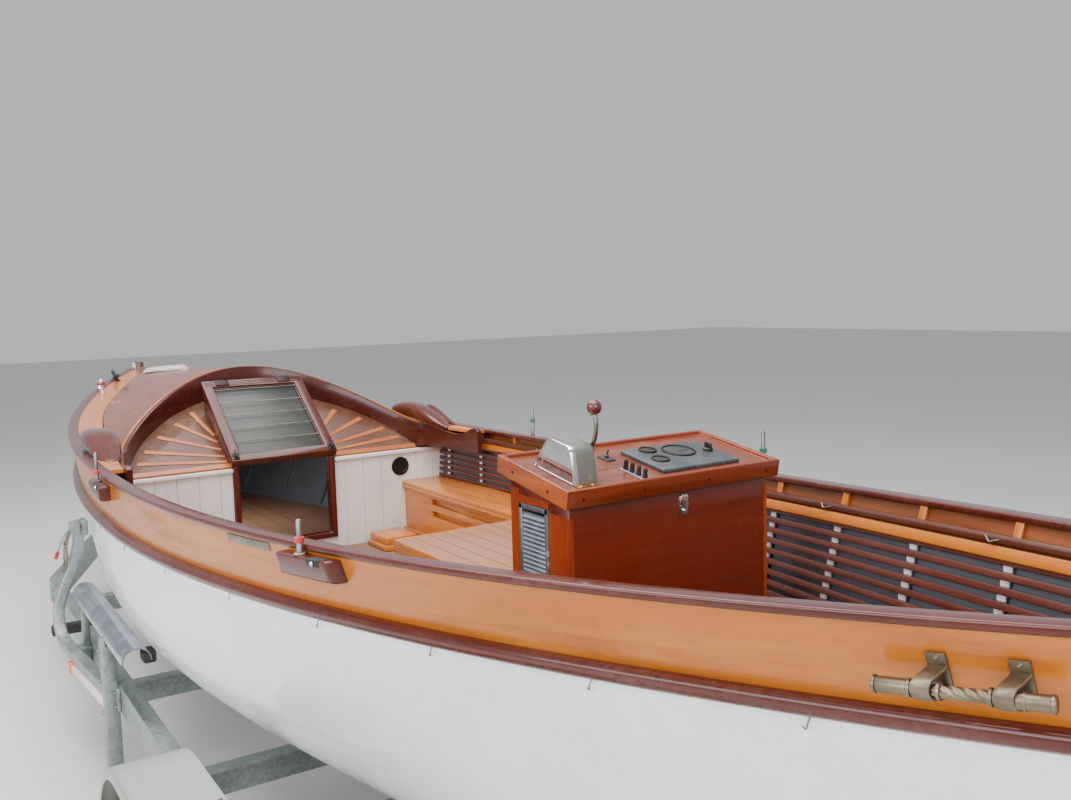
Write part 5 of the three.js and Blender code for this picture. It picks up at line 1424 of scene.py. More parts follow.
def on_lid(a, y, h):
    """A point on the lid: forward along it, to port and above its top."""
    return Vector((-2.64 + a * math.cos(LID_TILT) - h * math.sin(LID_TILT), y,
                   1.556 + a * math.sin(LID_TILT) + h * math.cos(LID_TILT)))


def lid_shape(shape):
    """Takes a shape made in the lid's own axes (forward, port, up) to its place."""
    return [tuple(on_lid(*p)) for p in shape[0]], shape[1]


softened("console_body", console_red, 0.003)
low = SOLE_TOP
posts = []
for y in (-1, 1):
    y0, y1 = sorted((y * CONSOLE_HALF, y * (CONSOLE_HALF + 0.0015)))
    posts.append(board(CONSOLE_AFT + 0.002, CONSOLE_AFT + 0.088, y0, y1, low, 1.492, 0.0006, 1))
    posts.append(board(CONSOLE_FORE - 0.042, CONSOLE_FORE, y0, y1, low, 1.535, 0.0006, 1))
    posts.append(board(CONSOLE_AFT + 0.088, CONSOLE_FORE - 0.042, y0, y1, 1.5005, 1.52, 0.0006, 1))
    posts.append(board(CONSOLE_AFT + 0.088, CONSOLE_FORE - 0.042, y0, y1, low, 1.0595, 0.0006, 1))
piece("console_side_frames", joined(*posts), console_orange, "mahogany")
lips = [board(CONSOLE_AFT - 0.0012, CONSOLE_AFT, -CONSOLE_HALF, -CONSOLE_HALF + 0.012, low, 1.49, 0.0005,
              1),
        board(CONSOLE_AFT - 0.0012, CONSOLE_AFT, CONSOLE_HALF - 0.012, CONSOLE_HALF, low, 1.49, 0.0005, 1),
        board(CONSOLE_AFT - 0.004, CONSOLE_AFT, -CONSOLE_HALF, CONSOLE_HALF, low, 0.79, 0.002)]
piece("console_aft_edges", joined(*lips), console_orange, "mahogany")
softened("console_lid", lid_edge, 0.003, "console_lid")
tray = lid_shape(board(0.0145, LID_LONG - 0.0145, -LID_HALF + 0.0145, LID_HALF - 0.0145, -0.0005, 0.0008,
                       0.0003, 1))
piece("console_lid_top", tray, lid_wood, "mahogany", "console_lid")
ends = joined(lid_shape(board(-0.0006, LID_LONG + 0.0006, LID_HALF - 0.0005, LID_HALF + 0.0012, -0.0375,
                              0.0095, 0.0006, 1)),
              lid_shape(board(-0.0006, LID_LONG + 0.0006, -LID_HALF - 0.0012, -LID_HALF + 0.0005, -0.0375,
                              0.0095, 0.0006, 1)))
piece("console_lid_ends", ends, lid_edge_x, "varnished_pine", "console_lid")
nails = [rod(on_lid(a, LID_HALF + 0.0008, -0.016), on_lid(a, LID_HALF + 0.0022, -0.016), 0.004, 12, 0.0004)
         for a in (0.085, 0.25)]
nails += [rod(on_lid(-0.0001, y, -0.016), on_lid(-0.0016, y, -0.016), 0.0032, 12, 0.0004)
          for y in (-0.31, -0.1, 0.12, 0.31)]
piece("console_lid_nails", joined(*nails), dark_iron, "bronze", "console_lid")
print("console dressed")

# %% [markdown]
# A louvre lets air to the engine on the port side: a grey frame with narrow slats that slope down and
# out. They are the same bar many times, so Geometry Nodes set them on points of a line.

# %% Louvre
def slats_tree():
    """Sets a tilted slat on each point of a line of points."""
    sizes = (("Length", 0.1), ("Depth", 0.016), ("Thickness", 0.0012), ("Tilt", 0.9), ("Pitch", 0.012))
    tree, start, end = grow_tree("tilted_slats", sizes, [("Count", "Int", 30), ("Middle", "Vector", None)])
    size = node(tree, "ShaderNodeCombineXYZ", None, X=start["Length"], Y=start["Depth"],
                Z=start["Thickness"]).outputs[0]
    slat = node(tree, "GeometryNodeMeshCube", None, Size=size).outputs[0]
    step = node(tree, "ShaderNodeCombineXYZ", None, Z=start["Pitch"]).outputs[0]
    line_points = node(tree, "GeometryNodeMeshLine", {"mode": "OFFSET"}, Count=start["Count"],
                       Start_Location=start["Middle"], Offset=step).outputs[0]
    turn = node(tree, "ShaderNodeCombineXYZ", None, X=start["Tilt"]).outputs[0]
    angle = node(tree, "FunctionNodeEulerToRotation", None, Euler=turn).outputs[0]
    placed_slats = node(tree, "GeometryNodeInstanceOnPoints", None, Points=line_points, Instance=slat,
                        Rotation=angle).outputs[0]
    return ended(tree, placed_slats, start, end)


softened("console_louvre", vent_grey, 0.002)
start_mesh = bpy.data.meshes.new("slat_start")
grown("louvre_slats", start_mesh, slats_tree(), {"Length": 0.104, "Depth": 0.0165, "Thickness": 0.0016,
        "Tilt": -0.85, "Pitch": 0.0118,
      "Middle": (-2.455, 0.3345, 1.0815), "Count": 34, "Finish": vent_grey}, angle=20)
LOUVRE_AFT, LOUVRE_FORE, LOUVRE_LOW, LOUVRE_TOP = -2.5215, -2.3885, 1.0605, 1.4995
lip_sides = ((LOUVRE_AFT, -2.5085, LOUVRE_LOW, LOUVRE_TOP), (-2.4015, LOUVRE_FORE, LOUVRE_LOW, LOUVRE_TOP),
             (LOUVRE_AFT, LOUVRE_FORE, LOUVRE_LOW, 1.0745), (LOUVRE_AFT, LOUVRE_FORE, 1.4855, LOUVRE_TOP))
frame_lip = joined(*[board(x0, x1, CONSOLE_HALF, 0.3405, z0, z1, 0.0012) for x0, x1, z0, z1 in lip_sides])
piece("louvre_frame_lip", frame_lip, vent_grey, "grey_metal")
hasp = joined(board(-2.6155, -2.6125, -0.045, -0.015, 1.452, 1.502, 0.001),
              board(-2.6185, -2.6155, -0.04, -0.02, 1.475, 1.506, 0.001),
              rod((-2.6155, -0.03, 1.462), (-2.6225, -0.03, 1.462), 0.0055, 14, 0.001))
piece("console_hasp", hasp, chrome, "bright_chrome")
print("louvre slats made")

# %% [markdown]
# The instrument panel is a grey plate with one large and two small round gauges and a key. Beside it are
# four dark pointed knobs on a pale plate and a toggle. Each gauge is a turned ring with a dark face, ticks
# and a needle, without letters.

# %% Instruments
softened("instrument_panel", gauge_grey, 0.0035, "console_lid", steps=3)
TOP = 0.012
dial_shapes, face_shapes, mark_shapes = [], [], []


def lid_turned(profile, a, y, h, count=36):
    """A profile of (radius, height) turned about an upright on the lid."""
    return lid_shape(turned(profile, (a, y, h), "Z", count))


for a, y, radius in ((0.165, -0.131, 0.049), (0.2, -0.049, 0.0255), (0.121, -0.03, 0.0255)):
    dial_shapes.append(lid_turned([(radius, 0), (radius, 0.003), (radius - 0.002, 0.0045),
                                   (radius - 0.005, 0.0042), (radius - 0.0055, 0.0015),
                                   (radius - 0.0055, 0)], a, y, TOP))
    face_shapes.append(lid_turned([(0, 0), (radius - 0.0056, 0), (radius - 0.0056, 0.0014), (0, 0.0014)], a,
                                  y, TOP))
    for k in range(11):
        turn = math.radians(-130 + 26 * k)
        c, s = math.cos(turn), math.sin(turn)
        p, q = radius * 0.62, radius * 0.78
        mark_shapes.append(swept([on_lid(a + p * c, y + p * s, TOP + 0.0017),
                                  on_lid(a + q * c, y + q * s, TOP + 0.0017)], circle(0.0006, 6),
                                  (0, 0, 1)))
    turn = math.radians(-95)
    mark_shapes.append(swept([on_lid(a, y, TOP + 0.0024), on_lid(a + radius * 0.66 * math.cos(turn),
            y + radius * 0.66 * math.sin(turn), TOP + 0.0024)],
                             circle(0.0008, 6), (0, 0, 1)))
piece("gauge_rings", joined(*dial_shapes), dark_iron, "grey_plastic", "console_lid")
piece("gauge_faces", joined(*face_shapes), gauge_dark, "grey_plastic", "console_lid")
piece("gauge_marks", joined(*mark_shapes), dull_steel, "grey_plastic", "console_lid")
key = joined(lid_turned([(0.0, 0), (0.0145, 0), (0.0145, 0.006), (0.012, 0.0085), (0, 0.0085)], 0.141,
                        -0.218, TOP, 24),
             lid_shape(board(0.127, 0.155, -0.2205, -0.2155, TOP + 0.008, TOP + 0.022, 0.002)))
piece("starter_key", key, black_knob, "black_rubber", "console_lid")
plate_shape = joined(lid_shape(board(0.024, 0.122, 0.082, 0.110, 0.0008, 0.0035, 0.001)))
piece("knob_plate", plate_shape, vent_grey, "grey_metal", "console_lid")
knobs = [lid_turned([(0, 0), (0.0072, 0), (0.0072, 0.006), (0.0052, 0.012), (0.0062, 0.018),
                     (0.0035, 0.0265), (0, 0.028)], a, 0.096, 0.0033, 16)
         for a in (0.031, 0.057, 0.084, 0.111)]
piece("pointed_knobs", joined(*knobs), black_knob, "black_rubber", "console_lid")
toggle = joined(lid_shape(board(0.185, 0.232, 0.071, 0.1, 0.0008, 0.0045, 0.001)),
                lid_turned([(0, 0), (0.006, 0), (0.006, 0.007), (0.0035, 0.009), (0, 0.009)], 0.209, 0.0855,
                           0.0043, 14),
                swept([on_lid(0.209, 0.0855, 0.012), on_lid(0.203, 0.0855, 0.028)], circle(0.0022, 8),
                      (0, 1, 0)))
piece("toggle_switch", toggle, gauge_dark, "grey_plastic", "console_lid")
screws = [lid_turned([(0, 0), (0.0035, 0), (0.003, 0.0014), (0, 0.0018)], a, y, TOP, 12)
          for a in (0.053, 0.224) for y in (-0.242, 0.014)]
piece("panel_screws", joined(*screws), dull_steel, "grey_metal", "console_lid")
print("gauges:", len(dial_shapes), "knobs:", len(knobs))

# %% [markdown]
# The engine control is a cast housing with a bright chromed face to port, bowed ends and a rounded top.
# Its lever bends up on the inboard side and carries a dark red ball.

# %% Engine control
PROFILE = [(0.048, 0.0008), (0.236, 0.0008), (0.178, 0.094), (0.078, 0.094)]


def housing_outline(shrink, corner):
    points = [Vector(p) for p in PROFILE]
    centre = Vector((0.135, 0.045))
    points = [centre + (p - centre) * shrink for p in points]
    made = []
    for i, p in enumerate(points):
        reach = corner if p.y > 0.03 else 0.003
        curve = eased_corner(p, points[i - 1], points[(i + 1) % 4], reach, 6)
        made += [(q.x, max(q.y, 0.0008)) for q in curve]
    return made


body_rows = [(0.232, 0.965), (0.236, 0.99), (0.24, 1.0), (0.29, 1.0)]
housing = rings([[on_lid(a, y, h) for a, h in housing_outline(s, 0.022)] for y, s in body_rows])
piece("control_housing", housing, olive_metal, "bright_chrome", "console_lid", stands_for="control_unit",
      angle=50)
rim_rows = [(0.2895, 1.0), (0.302, 1.0), (0.3048, 0.975), (0.3048, 0.93), (0.3030, 0.915)]
rim = rings([[on_lid(a, y, h) for a, h in housing_outline(s, 0.022)] for y, s in rim_rows])
piece("control_bright_face", rim, chrome, "bright_chrome", "console_lid", angle=50)
# Two dark strips on the bright face are painted shade in its slots.
slot_shade_strips = joined(lid_shape(board(0.078, 0.20, 0.3026, 0.3038, 0.012, 0.0145, 0.0005, 1)),
               lid_shape(board(0.085, 0.195, 0.3026, 0.3042, 0.0195, 0.0215, 0.0005, 1)))
piece("control_face_slot_shade", slot_shade_strips, gauge_dark, "grey_plastic", "console_lid")
feet = joined(lid_turned([(0, 0), (0.008, 0), (0.008, 0.003), (0.005, 0.006), (0, 0.006)], 0.038, 0.29,
                         0.0008, 14),
              lid_turned([(0, 0), (0.008, 0), (0.008, 0.003), (0.005, 0.006), (0, 0.006)], 0.038, 0.255,
                         0.0008, 14),
              lid_shape(board(0.03, 0.052, 0.235, 0.305, 0.0008, 0.004, 0.001)))
piece("control_foot_screws", feet, brass, "bronze", "console_lid")
LEVER_Y = 0.218
lever_line = ((0.112, 0.07), (0.095, 0.1), (0.093, 0.14), (0.106, 0.172))
stick = smooth_path([on_lid(a, LEVER_Y, h) for a, h in lever_line], 8)
lever_pivot = rod(on_lid(0.112, 0.21, 0.07), on_lid(0.112, 0.2315, 0.07), 0.0125, 24, 0.002)
collar_ends = [on_lid(0.105, LEVER_Y, 0.160), on_lid(0.1065, LEVER_Y, 0.168)]
lever = joined(swept(stick, circle(0.0056, 14), (0, 1, 0)), lever_pivot,
               swept(collar_ends, circle(0.0085, 14), (0, 1, 0)))
piece("control_lever_rod", lever, dull_steel, "bright_chrome", "console_lid", stands_for="control_lever",
      angle=50)
ball = [(0.0195 * math.sin(math.pi * k / 16), -0.0195 * math.cos(math.pi * k / 16)) for k in range(17)]
ball[0] = (0.004, -0.0195)
piece("control_ball", lid_turned([(0, -0.021), (0.006, -0.021), *ball[1:]], 0.107, LEVER_Y, 0.181, 32),
      ball_red, "black_rubber", "console_lid", angle=60)
print("control made")

# %% [markdown]
# Each rowlock is a block of mahogany on the strake's face, with a recess aft and a steel pin that stands
# through it. The recess is a black block that fills it: painted shade in the hollow. The port pins have a
# red collar and the starboard pins a green one. The block's grid of points lies on the hull's own curve, so
# it touches the strake along its whole length.

# %% Rowlocks
def on_strake(x, drop, out, side):
    """A point on the strake's outer face, a drop below the sheer and a little outboard."""
    return Vector((x, side * (breadth(x, sheer(x) - drop) + out), sheer(x) - drop))


def strake_plate(x0, x1, drop_high, drop_low, out, side, columns=8, ease=0.004, back=0.0008):
    """A plate that follows the strake, with rounded edges."""
    drops = [drop_high, drop_high + ease * 0.3, drop_high + ease, drop_low - ease, drop_low - ease * 0.3,
             drop_low]
    outs = [out - ease, out - ease * 0.3, out, out, out - ease * 0.3, out - ease]
    xs = [x0, x0 + ease * 0.3, x0 + ease, *[x0 + (x1 - x0) * k / columns for k in range(1, columns)],
          x1 - ease, x1 - ease * 0.3, x1]
    top, bottom = [], []
    for i, x in enumerate(xs):
        end = min(i, len(xs) - 1 - i)
        less = (ease, ease * 0.3, 0)[min(end, 2)]
        top.append([on_strake(x, d, max(o - less, back + 0.0004), side) for d, o in zip(drops, outs)])
        bottom.append([on_strake(x, d, back, side) for d in drops])
    return shell(top, bottom)


for place, port_x, starboard_x in (("aft", -2.135, -2.135), ("forward", -0.17, -0.41)):
    for label, side in SIDES:
        x = port_x if side > 0 else starboard_x
        whole = strake_plate(x - 0.1245, x + 0.1245, 0.0265, 0.0875, 0.0425, side, 12, 0.009)
        place_of = [(p[0], p[2] + p[1]) for p in whole[0]]
        piece(f"rowlock_block_{place}_{label}", whole, mahogany, "mahogany", along=place_of, angle=50)
        pin_x = x + 0.025
        foot = on_strake(pin_x, 0.026, 0.022, side)
        collar_low = 0.03 if side > 0 else 0.086
        top = 0.163 if side < 0 else 0.093 if place == "aft" else 0.123
        pin = joined(rod(foot + Vector((0, 0, -0.04)), foot + Vector((0, 0, collar_low + 0.008)), 0.0088,
                         18, 0.0025),
                     rod(foot, foot + Vector((0, 0, top)), 0.0072, 18, 0.0025),
                     rod(foot + Vector((0, 0, 0.0)), foot + Vector((0, 0, 0.0055)), 0.017, 24, 0.0015))
        piece(f"rowlock_pin_{place}_{label}", pin, dull_steel, "grey_metal",
              stands_for=f"rowlock_{place}_{label}", angle=50)
        collar = turned([(0.0068, 0), (0.0132, 0.002), (0.0132, 0.016), (0.0068, 0.018)],
                        foot + Vector((0, 0, collar_low)), "Z", 24)
        piece(f"rowlock_collar_{place}_{label}", collar, signal_red if side > 0 else signal_green,
              "black_rubber")
        # The black block fills the recess: painted shade in the hollow.
        recess_shade = strake_plate(x - 0.092, x - 0.035, 0.0262, 0.046, 0.0433, side, 3, 0.001, 0.012)
        piece(f"rowlock_recess_shade_{place}_{label}", recess_shade, rubber, "black_rubber")
        bolt = on_strake(x - 0.063, 0.037, 0.0432, side)
        head = joined(rod(bolt, bolt + Vector((0, side * 0.0035, 0)), 0.0085, 6, 0.001),
                      rod(bolt, bolt + Vector((0, side * 0.0065, 0)), 0.0045, 14, 0.001))
        piece(f"rowlock_bolt_{place}_{label}", head, chrome, "bright_chrome")
print("rowlocks made")

# %% [markdown]
# The mooring bar near the stern is a steel bar on two bent strip brackets, with thicker sleeves at its
# ends and a twisted middle. It is swept along the sheer. A straight bar would be simpler, but the
# solid follows the sheer and the piece has to lie in it.

# %% Mooring bars
BAR_X, BAR_DROP, BAR_OUT = -3.707, 0.117, 0.046


def bar_point(at, side):
    x = BAR_X + at
    return Vector((x, side * (breadth(x, sheer(x) - BAR_DROP) + BAR_OUT), sheer(x) - BAR_DROP))


for label, side in SIDES:
    ends = joined(swept([bar_point(-0.125 + 0.001 * k, side) for k in (0, 2, 60)], circle(0.0132, 20),
                        (0, 0, 1), [0.86, 1, 1]),
                  swept([bar_point(0.125 - 0.001 * k, side) for k in (52, 2, 0)], circle(0.0132, 20),
                        (0, 0, 1), [1, 1, 0.86]))
    middle_path = [bar_point(-0.066 + 0.1385 * k / 40, side) for k in range(41)]
    sections = []
    for k, p in enumerate(middle_path):
        turn = 0.16 * k
        sections.append([p + Vector((0, 0.0104 * math.cos(turn + t) * (1 if i % 2 else 0.82),
                                     0.0104 * math.sin(turn + t) * (1 if i % 2 else 0.82)))
                         for i, t in enumerate(2 * math.pi * j / 16 for j in range(16))])
    rings_at = [joined(*[swept([bar_point(at, side), bar_point(at + 0.004, side)], circle(0.0148, 20),
                               (0, 0, 1)) for at in (-0.087, -0.044, 0.026, 0.068, 0.119, -0.123)])]
    piece(f"mooring_bar_{label}", joined(ends, rings(sections), *rings_at), bar_steel, "grey_metal",
          angle=50)
    strips = []
    for at in (-0.065, 0.047):
        rows_out = []
        for k in range(22):
            t = k / 21
            # Down from the top plate, out under the bar and round it.
            if t < 0.35:
                drop, out = 0.062 + (BAR_DROP - 0.03 - 0.062) * (t / 0.35), 0.0045
            elif t < 0.55:
                s = (t - 0.35) / 0.2
                drop, out = BAR_DROP - 0.03 + 0.012 * s, 0.0045 + (BAR_OUT - 0.0045) * s
            elif t < 0.85:
                s = (t - 0.55) / 0.3
                turn = math.pi / 2 - math.pi * s
                drop, out = BAR_DROP - 0.0165 * math.sin(turn), BAR_OUT + 0.0165 * math.cos(turn)
            else:
                s = (t - 0.85) / 0.15
                drop, out = BAR_DROP + 0.0165 + 0.004 * s, BAR_OUT - (BAR_OUT - 0.0045) * s
            rows_out.append((drop, out))
        path = rows_out + [(0.139, 0.0045)]
        top, bottom = [], []
        for end in (-0.014, -0.0125, 0.0125, 0.014):
            x = BAR_X + at + end
            easing = 0.0012 if abs(end) > 0.013 else 0
            line_out, line_in = [], []
            for i, (drop, out) in enumerate(path):
                a, b = path[max(i - 1, 0)], path[min(i + 1, len(path) - 1)]
                dd, do = b[0] - a[0], b[1] - a[1]
                length = math.hypot(dd, do) or 1
                n_drop, n_out = -do / length, dd / length
                line_out.append(on_strake(x, drop + n_drop * (0.0022 - easing),
                                          out + n_out * (0.0022 - easing), side))
                line_in.append(on_strake(x, drop - n_drop * 0.0022, out - n_out * 0.0022, side))
            top.append(line_out)
            bottom.append(line_in)
        strips.append(shell(top, bottom))
        strips.append(strake_plate(BAR_X + at - 0.0136, BAR_X + at + 0.0136, 0.063, 0.139, 0.0042, side, 3,
                                   0.0012))
        for drop in (0.07, 0.132):
            head = on_strake(BAR_X + at, drop, 0.004, side)
            strips.append(rod(head, head + Vector((0, side * 0.0035, 0)), 0.0048, 14, 0.0012))
    piece(f"mooring_brackets_{label}", joined(*strips), bar_steel, "grey_metal",
          stands_for=f"bar_cleat_{label}", angle=40)
print("mooring bars made")

# %% [markdown]
# Small fittings: thin wire hooks under the rail, a grey plate on the strake, the bow's black horn cleat,
# its navigation lights and a long white fairlead. They are too small for solids, and each is a few
# turned or swept shapes that sink a little into the piece they are screwed to.

# %% Small fittings
hooks = []
for x in (-3.43, -2.98, -2.52, -2.07, -1.58, -1.06, -0.55, -0.05, 0.45, 0.95):
    for _, side in SIDES:
        base = [on_strake(x, 0.217, 0.0015, side), on_strake(x, 0.222, 0.008, side),
                on_strake(x + 0.004, 0.234, 0.0115, side),
                on_strake(x + 0.01, 0.243, 0.0095, side), on_strake(x + 0.016, 0.238, 0.008, side)]
        hooks.append(swept(smooth_path(base, 4), circle(0.0016, 8), (1, 0, 0)))
piece("wire_hooks", joined(*hooks), dull_steel, "grey_metal")
for label, side in SIDES:
    lash = joined(strake_plate(-1.905, -1.645, 0.022, 0.045, 0.0034, side, 6, 0.001),
                  *[rod(on_strake(x, 0.0335, 0.003, side), on_strake(x, 0.0335, 0.0052, side), 0.004, 12,
                        0.001) for x in (-1.89, -1.775, -1.66)])
    piece(f"strake_plate_{label}", lash, dull_steel, "grey_metal")


def deck_point(x, y, lift=0.0):
    """A point on the foredeck's top."""
    return Vector((x, y, deck_under(x, y / board_inner(x)) + DECK_TOP + lift))


cleat_at = [deck_point(3.2 + 0.05 * k, 0.27, h) for k, h in ((0, 0.052), (1, 0.04), (2, 0.038), (3, 0.04),
        (4, 0.052))]
fore = joined(rod(deck_point(3.3, 0.27, -0.004), deck_point(3.3, 0.27, 0.035), 0.019, 20, 0.003),
              swept(smooth_path(cleat_at, 5), circle(0.0115, 14), (0, 0, 1)),
              turned([(0, -0.003), (0.034, -0.003), (0.034, 0.003), (0.028, 0.008), (0, 0.008)],
                     deck_point(3.3, 0.27), "Z", 28))
piece("bow_cleat", fore, rubber, "black_rubber", angle=50)
lamp_profile = [(0, -0.02), (0.03, -0.02), (0.03, 0.004), (0.026, 0.012), (0.024, 0.04), (0.03, 0.046),
                (0.024, 0.06), (0.0, 0.066)]
lens_profile = [(0.0245, 0.014), (0.0268, 0.02), (0.0268, 0.032), (0.0245, 0.038)]
for label, side, lens in (("port", 1, lens_red), ("starboard", -1, signal_green)):
    at = Vector((3.02, side * (half_beam(3.02) - 0.026), sheer(3.02)))
    piece(f"bow_lamp_{label}", turned(lamp_profile, at, "Z", 28), chrome, "bright_chrome", angle=40)
    piece(f"bow_lamp_lens_{label}", turned(lens_profile, at, "Z", 28), lens, "black_rubber", angle=50)
bar_path = [deck_point(2.78 - 0.095 * k, 0.155 - 0.0081 * k, 0.016) for k in range(9)]
flat = [(-0.03, -0.019), (-0.03, -0.006), (-0.024, 0.0), (-0.012, 0.002), (-0.008, 0.014), (0.008, 0.014),
        (0.012, 0.002), (0.024, 0.0), (0.03, -0.006), (0.03, -0.019)]
piece("white_fairlead", swept(bar_path, flat, (0, 0, 1), [0.9, *[1] * 7, 0.9]), marker_white,
      "grey_plastic", angle=50)
softened("stern_deck", honey_x, 0.003)
print("small fittings made")

# %% [markdown]
# The rudder hangs on three pintles, and the propeller turns in its aperture under the stern. The straps
# of the rudder are flat strips bent round the post. They are guessed from the type, because the photo
# doesn't show the stern.

# %% Rudder straps and propeller
straps = []
for z in (0.6, 0.94, 1.28):
    for y in (0.0163, -0.0163 - 0.0035):
        wide = 0.16 if z > 0.7 else 0.2
        straps.append(board(-4.6 - wide, -4.606, y, y + 0.0035, z - 0.017, z + 0.017, 0.0015))
        for k in range(3):
            at = Vector((-4.63 - 0.045 * k, y + 0.00175, z))
            straps.append(rod(at + Vector((0, -0.0035, 0)), at + Vector((0, 0.0035, 0)), 0.0052, 14, 0.001))
piece("rudder_straps", joined(*straps), bronze, "bronze", "rudder")
PROP_Z, PROP_X = 0.69, -4.328
hub = turned([(0, 0.06), (0.0275, 0.06), (0.0278, 0.0), (0.0262, -0.045), (0.02, -0.058), (0, -0.06)],
             (PROP_X, 0, PROP_Z), "X", 40)
shaft = rod((-4.3, 0, PROP_Z), (-4.0855, 0, PROP_Z), 0.0148, 24)
blades = []
for turn_by in (0, 120, 240):
    rows_a, rows_b = [], []
    for k in range(15):
        t = k / 14
        radius = 0.022 + (0.159 - 0.022) * t
        wide = 0.021 + 0.034 * math.sin(math.pi * min(t * 0.93 + 0.06, 1)) ** 0.8 * (1 - 0.25 * t)
        pitch = 0.6 + (0.5 - t) * 0.25
        a_row, b_row = [], []
        for j in range(9):
            s = (j / 8) * 2 - 1
            thick = 0.0032 * (1 - s * s) * (1 - 0.5 * t) + 0.0005
            chord = Vector((math.sin(pitch), math.cos(pitch), 0)) * (s * wide)
            across = Vector((math.cos(pitch), -math.sin(pitch), 0))
            base = Vector((0, 0, radius)) + chord
            a_row.append(base + across * thick)
            b_row.append(base - across * thick)
        rows_a.append(a_row)
        rows_b.append(b_row)
    blades.append(moved(shell(rows_a, rows_b), Matrix.Translation((PROP_X, 0,
            PROP_Z)) @ Matrix.Rotation(math.radians(turn_by), 4, "X")))
piece("propeller_bronze", joined(hub, shaft, *blades), bronze, "bronze", "propeller",
      stands_for="propeller", angle=50)
print("rudder straps and propeller made")

# %% [markdown]
# Bolt heads and screw heads sit all over a boat and its trailer. Geometry Nodes place one head on each
# point of a small mesh of points and turn it to the direction stored there. The result is a plain mesh,
# one for each moving body.

# %% Heads on points, made by Geometry Nodes
def heads_tree():
    """A head with a given number of sides on each point, turned to the point's 'facing'."""
    sizes = (("Radius", 0.006), ("Height", 0.004))
    tree, start, end = grow_tree("heads_on_points", sizes, [("Sides", "Int", 6)])
    top_radius = number(tree, "MULTIPLY", start["Radius"], 0.86)
    head = node(tree, "GeometryNodeMeshCone", None, Vertices=start["Sides"], Radius_Top=top_radius,
                Radius_Bottom=start["Radius"], Depth=start["Height"]).outputs[0]
    facing = node(tree, "GeometryNodeInputNamedAttribute", {"data_type": "FLOAT_VECTOR"},
                  Name="facing").outputs[0]
    angle = node(tree, "FunctionNodeAlignRotationToVector", {"axis": "Z"}, Vector=facing).outputs[0]
    heads = node(tree, "GeometryNodeInstanceOnPoints", None, Points=start["Geometry"], Instance=head,
                 Rotation=angle).outputs[0]
    return ended(tree, heads, start, end)


heads = heads_tree()


def fastened(name, places, radius, height, sides, finish, body="root"):
    """Heads at (point, facing) places."""
    mesh = bpy.data.meshes.new(name + "_points")
    mesh.from_pydata([tuple(p) for p, _ in places], [], [])
    mesh.attributes.new("facing", "FLOAT_VECTOR", "POINT").data.foreach_set("vector",
            [c for _, f in places for c in f])
    return grown(name, mesh, heads, {"Radius": radius, "Height": height, "Sides": sides, "Finish": finish},
                 body, angle=30)


OUT_Y = lambda side: (0, side, 0)
print("tree:", heads.name)

# %% [markdown]
# The frame, axles, winch post and jockey fork are galvanised steel sections. Zinc shows as grey crystals,
# with a little rust at the joints. Their solids have the right shape, so they only get soft edges and the
# bolts, clamps and cap plates that a solid leaves out.

# %% Frame
softened("trailer_frame", galvanised, 0.004)
softened("axle_rear", galvanised, 0.003)
softened("axle_front", galvanised, 0.003)
softened("winch_post", galvanised, 0.0025)
softened("bow_stop", rubber, 0.006, steps=3)
softened("jockey_fork", galvanised, 0.002)
REAR_X, FRONT_X, WHEEL_Y, WHEEL_Z = -2.25, -1.55, 1.115, 0.31
FRAME_OUT = 0.9706
places = []
for _, side in SIDES:
    for x in (-2.8, -0.95, 0.15, 1.75):
        places += [((x + dx, side * 0.9705, 0.39 + dz), OUT_Y(side)) for dx in (-0.03, 0.03)
                   for dz in (-0.035, 0.035)]
    for x in (REAR_X, FRONT_X):
        places += [((x + dx, side * 1.0005, WHEEL_Z + dz), OUT_Y(side)) for dx in (-0.03, 0.03)
                   for dz in (-0.035, 0.035)]
places += [((x, y, 0.4505), (0, 0, 1)) for x in (4.1, 4.25) for y in (-0.03, 0.03)]
fastened("frame_bolts", places, 0.011, 0.012, 6, dull_steel)
caps = joined(*[board(-2.904, -2.899, side * 0.94 - 0.032, side * 0.94 + 0.032, 0.328, 0.452, 0.002)
                for _, side in SIDES])
piece("frame_end_caps", caps, rubber, "black_rubber")
bellows = [(0.038 + (0.008 if k % 2 else 0.0), 4.652 + 0.014 * k) for k in range(10)]
gaiter = turned([(0.02, 4.652), *bellows, (0.02, 4.778)], (0, 0, 0.39), "X", 32)
piece("coupling_gaiter", gaiter, rubber, "black_rubber", angle=60)
wound = turned([(0.0385, -0.052), (0.05, -0.05), (0.0525, -0.03), (0.0525, 0.03), (0.05, 0.046),
                (0.0385, 0.05)], (4.21, 0, 1.31), "Y", 40)
piece("winch_strap", wound, marker_white, "white_boards", angle=50)
lamp_bar = joined(board(-2.935, -2.9, -1.02, 1.02, 0.36, 0.42, 0.004),
                  *[board(-2.94, -2.9, side * 0.94 - 0.11, side * 0.94 + 0.11, 0.335, 0.45, 0.006)
                    for _, side in SIDES])
piece("lamp_board", lamp_bar, galvanised, "galvanised_steel")
lamps = joined(*[board(-2.958, -2.938, side * 0.94 - 0.1, side * 0.94 + 0.02, 0.345, 0.44, 0.006)
                 for _, side in SIDES])
piece("rear_lamps", lamps, lens_red, "black_rubber")
turn_lamps = joined(*[board(-2.957, -2.938, side * 0.94 + 0.024, side * 0.94 + 0.1, 0.345, 0.44, 0.006)
                      for _, side in SIDES])
piece("rear_turn_lamps", turn_lamps, lens_orange, "black_rubber")
print("frame dressed,", len(places), "bolts")

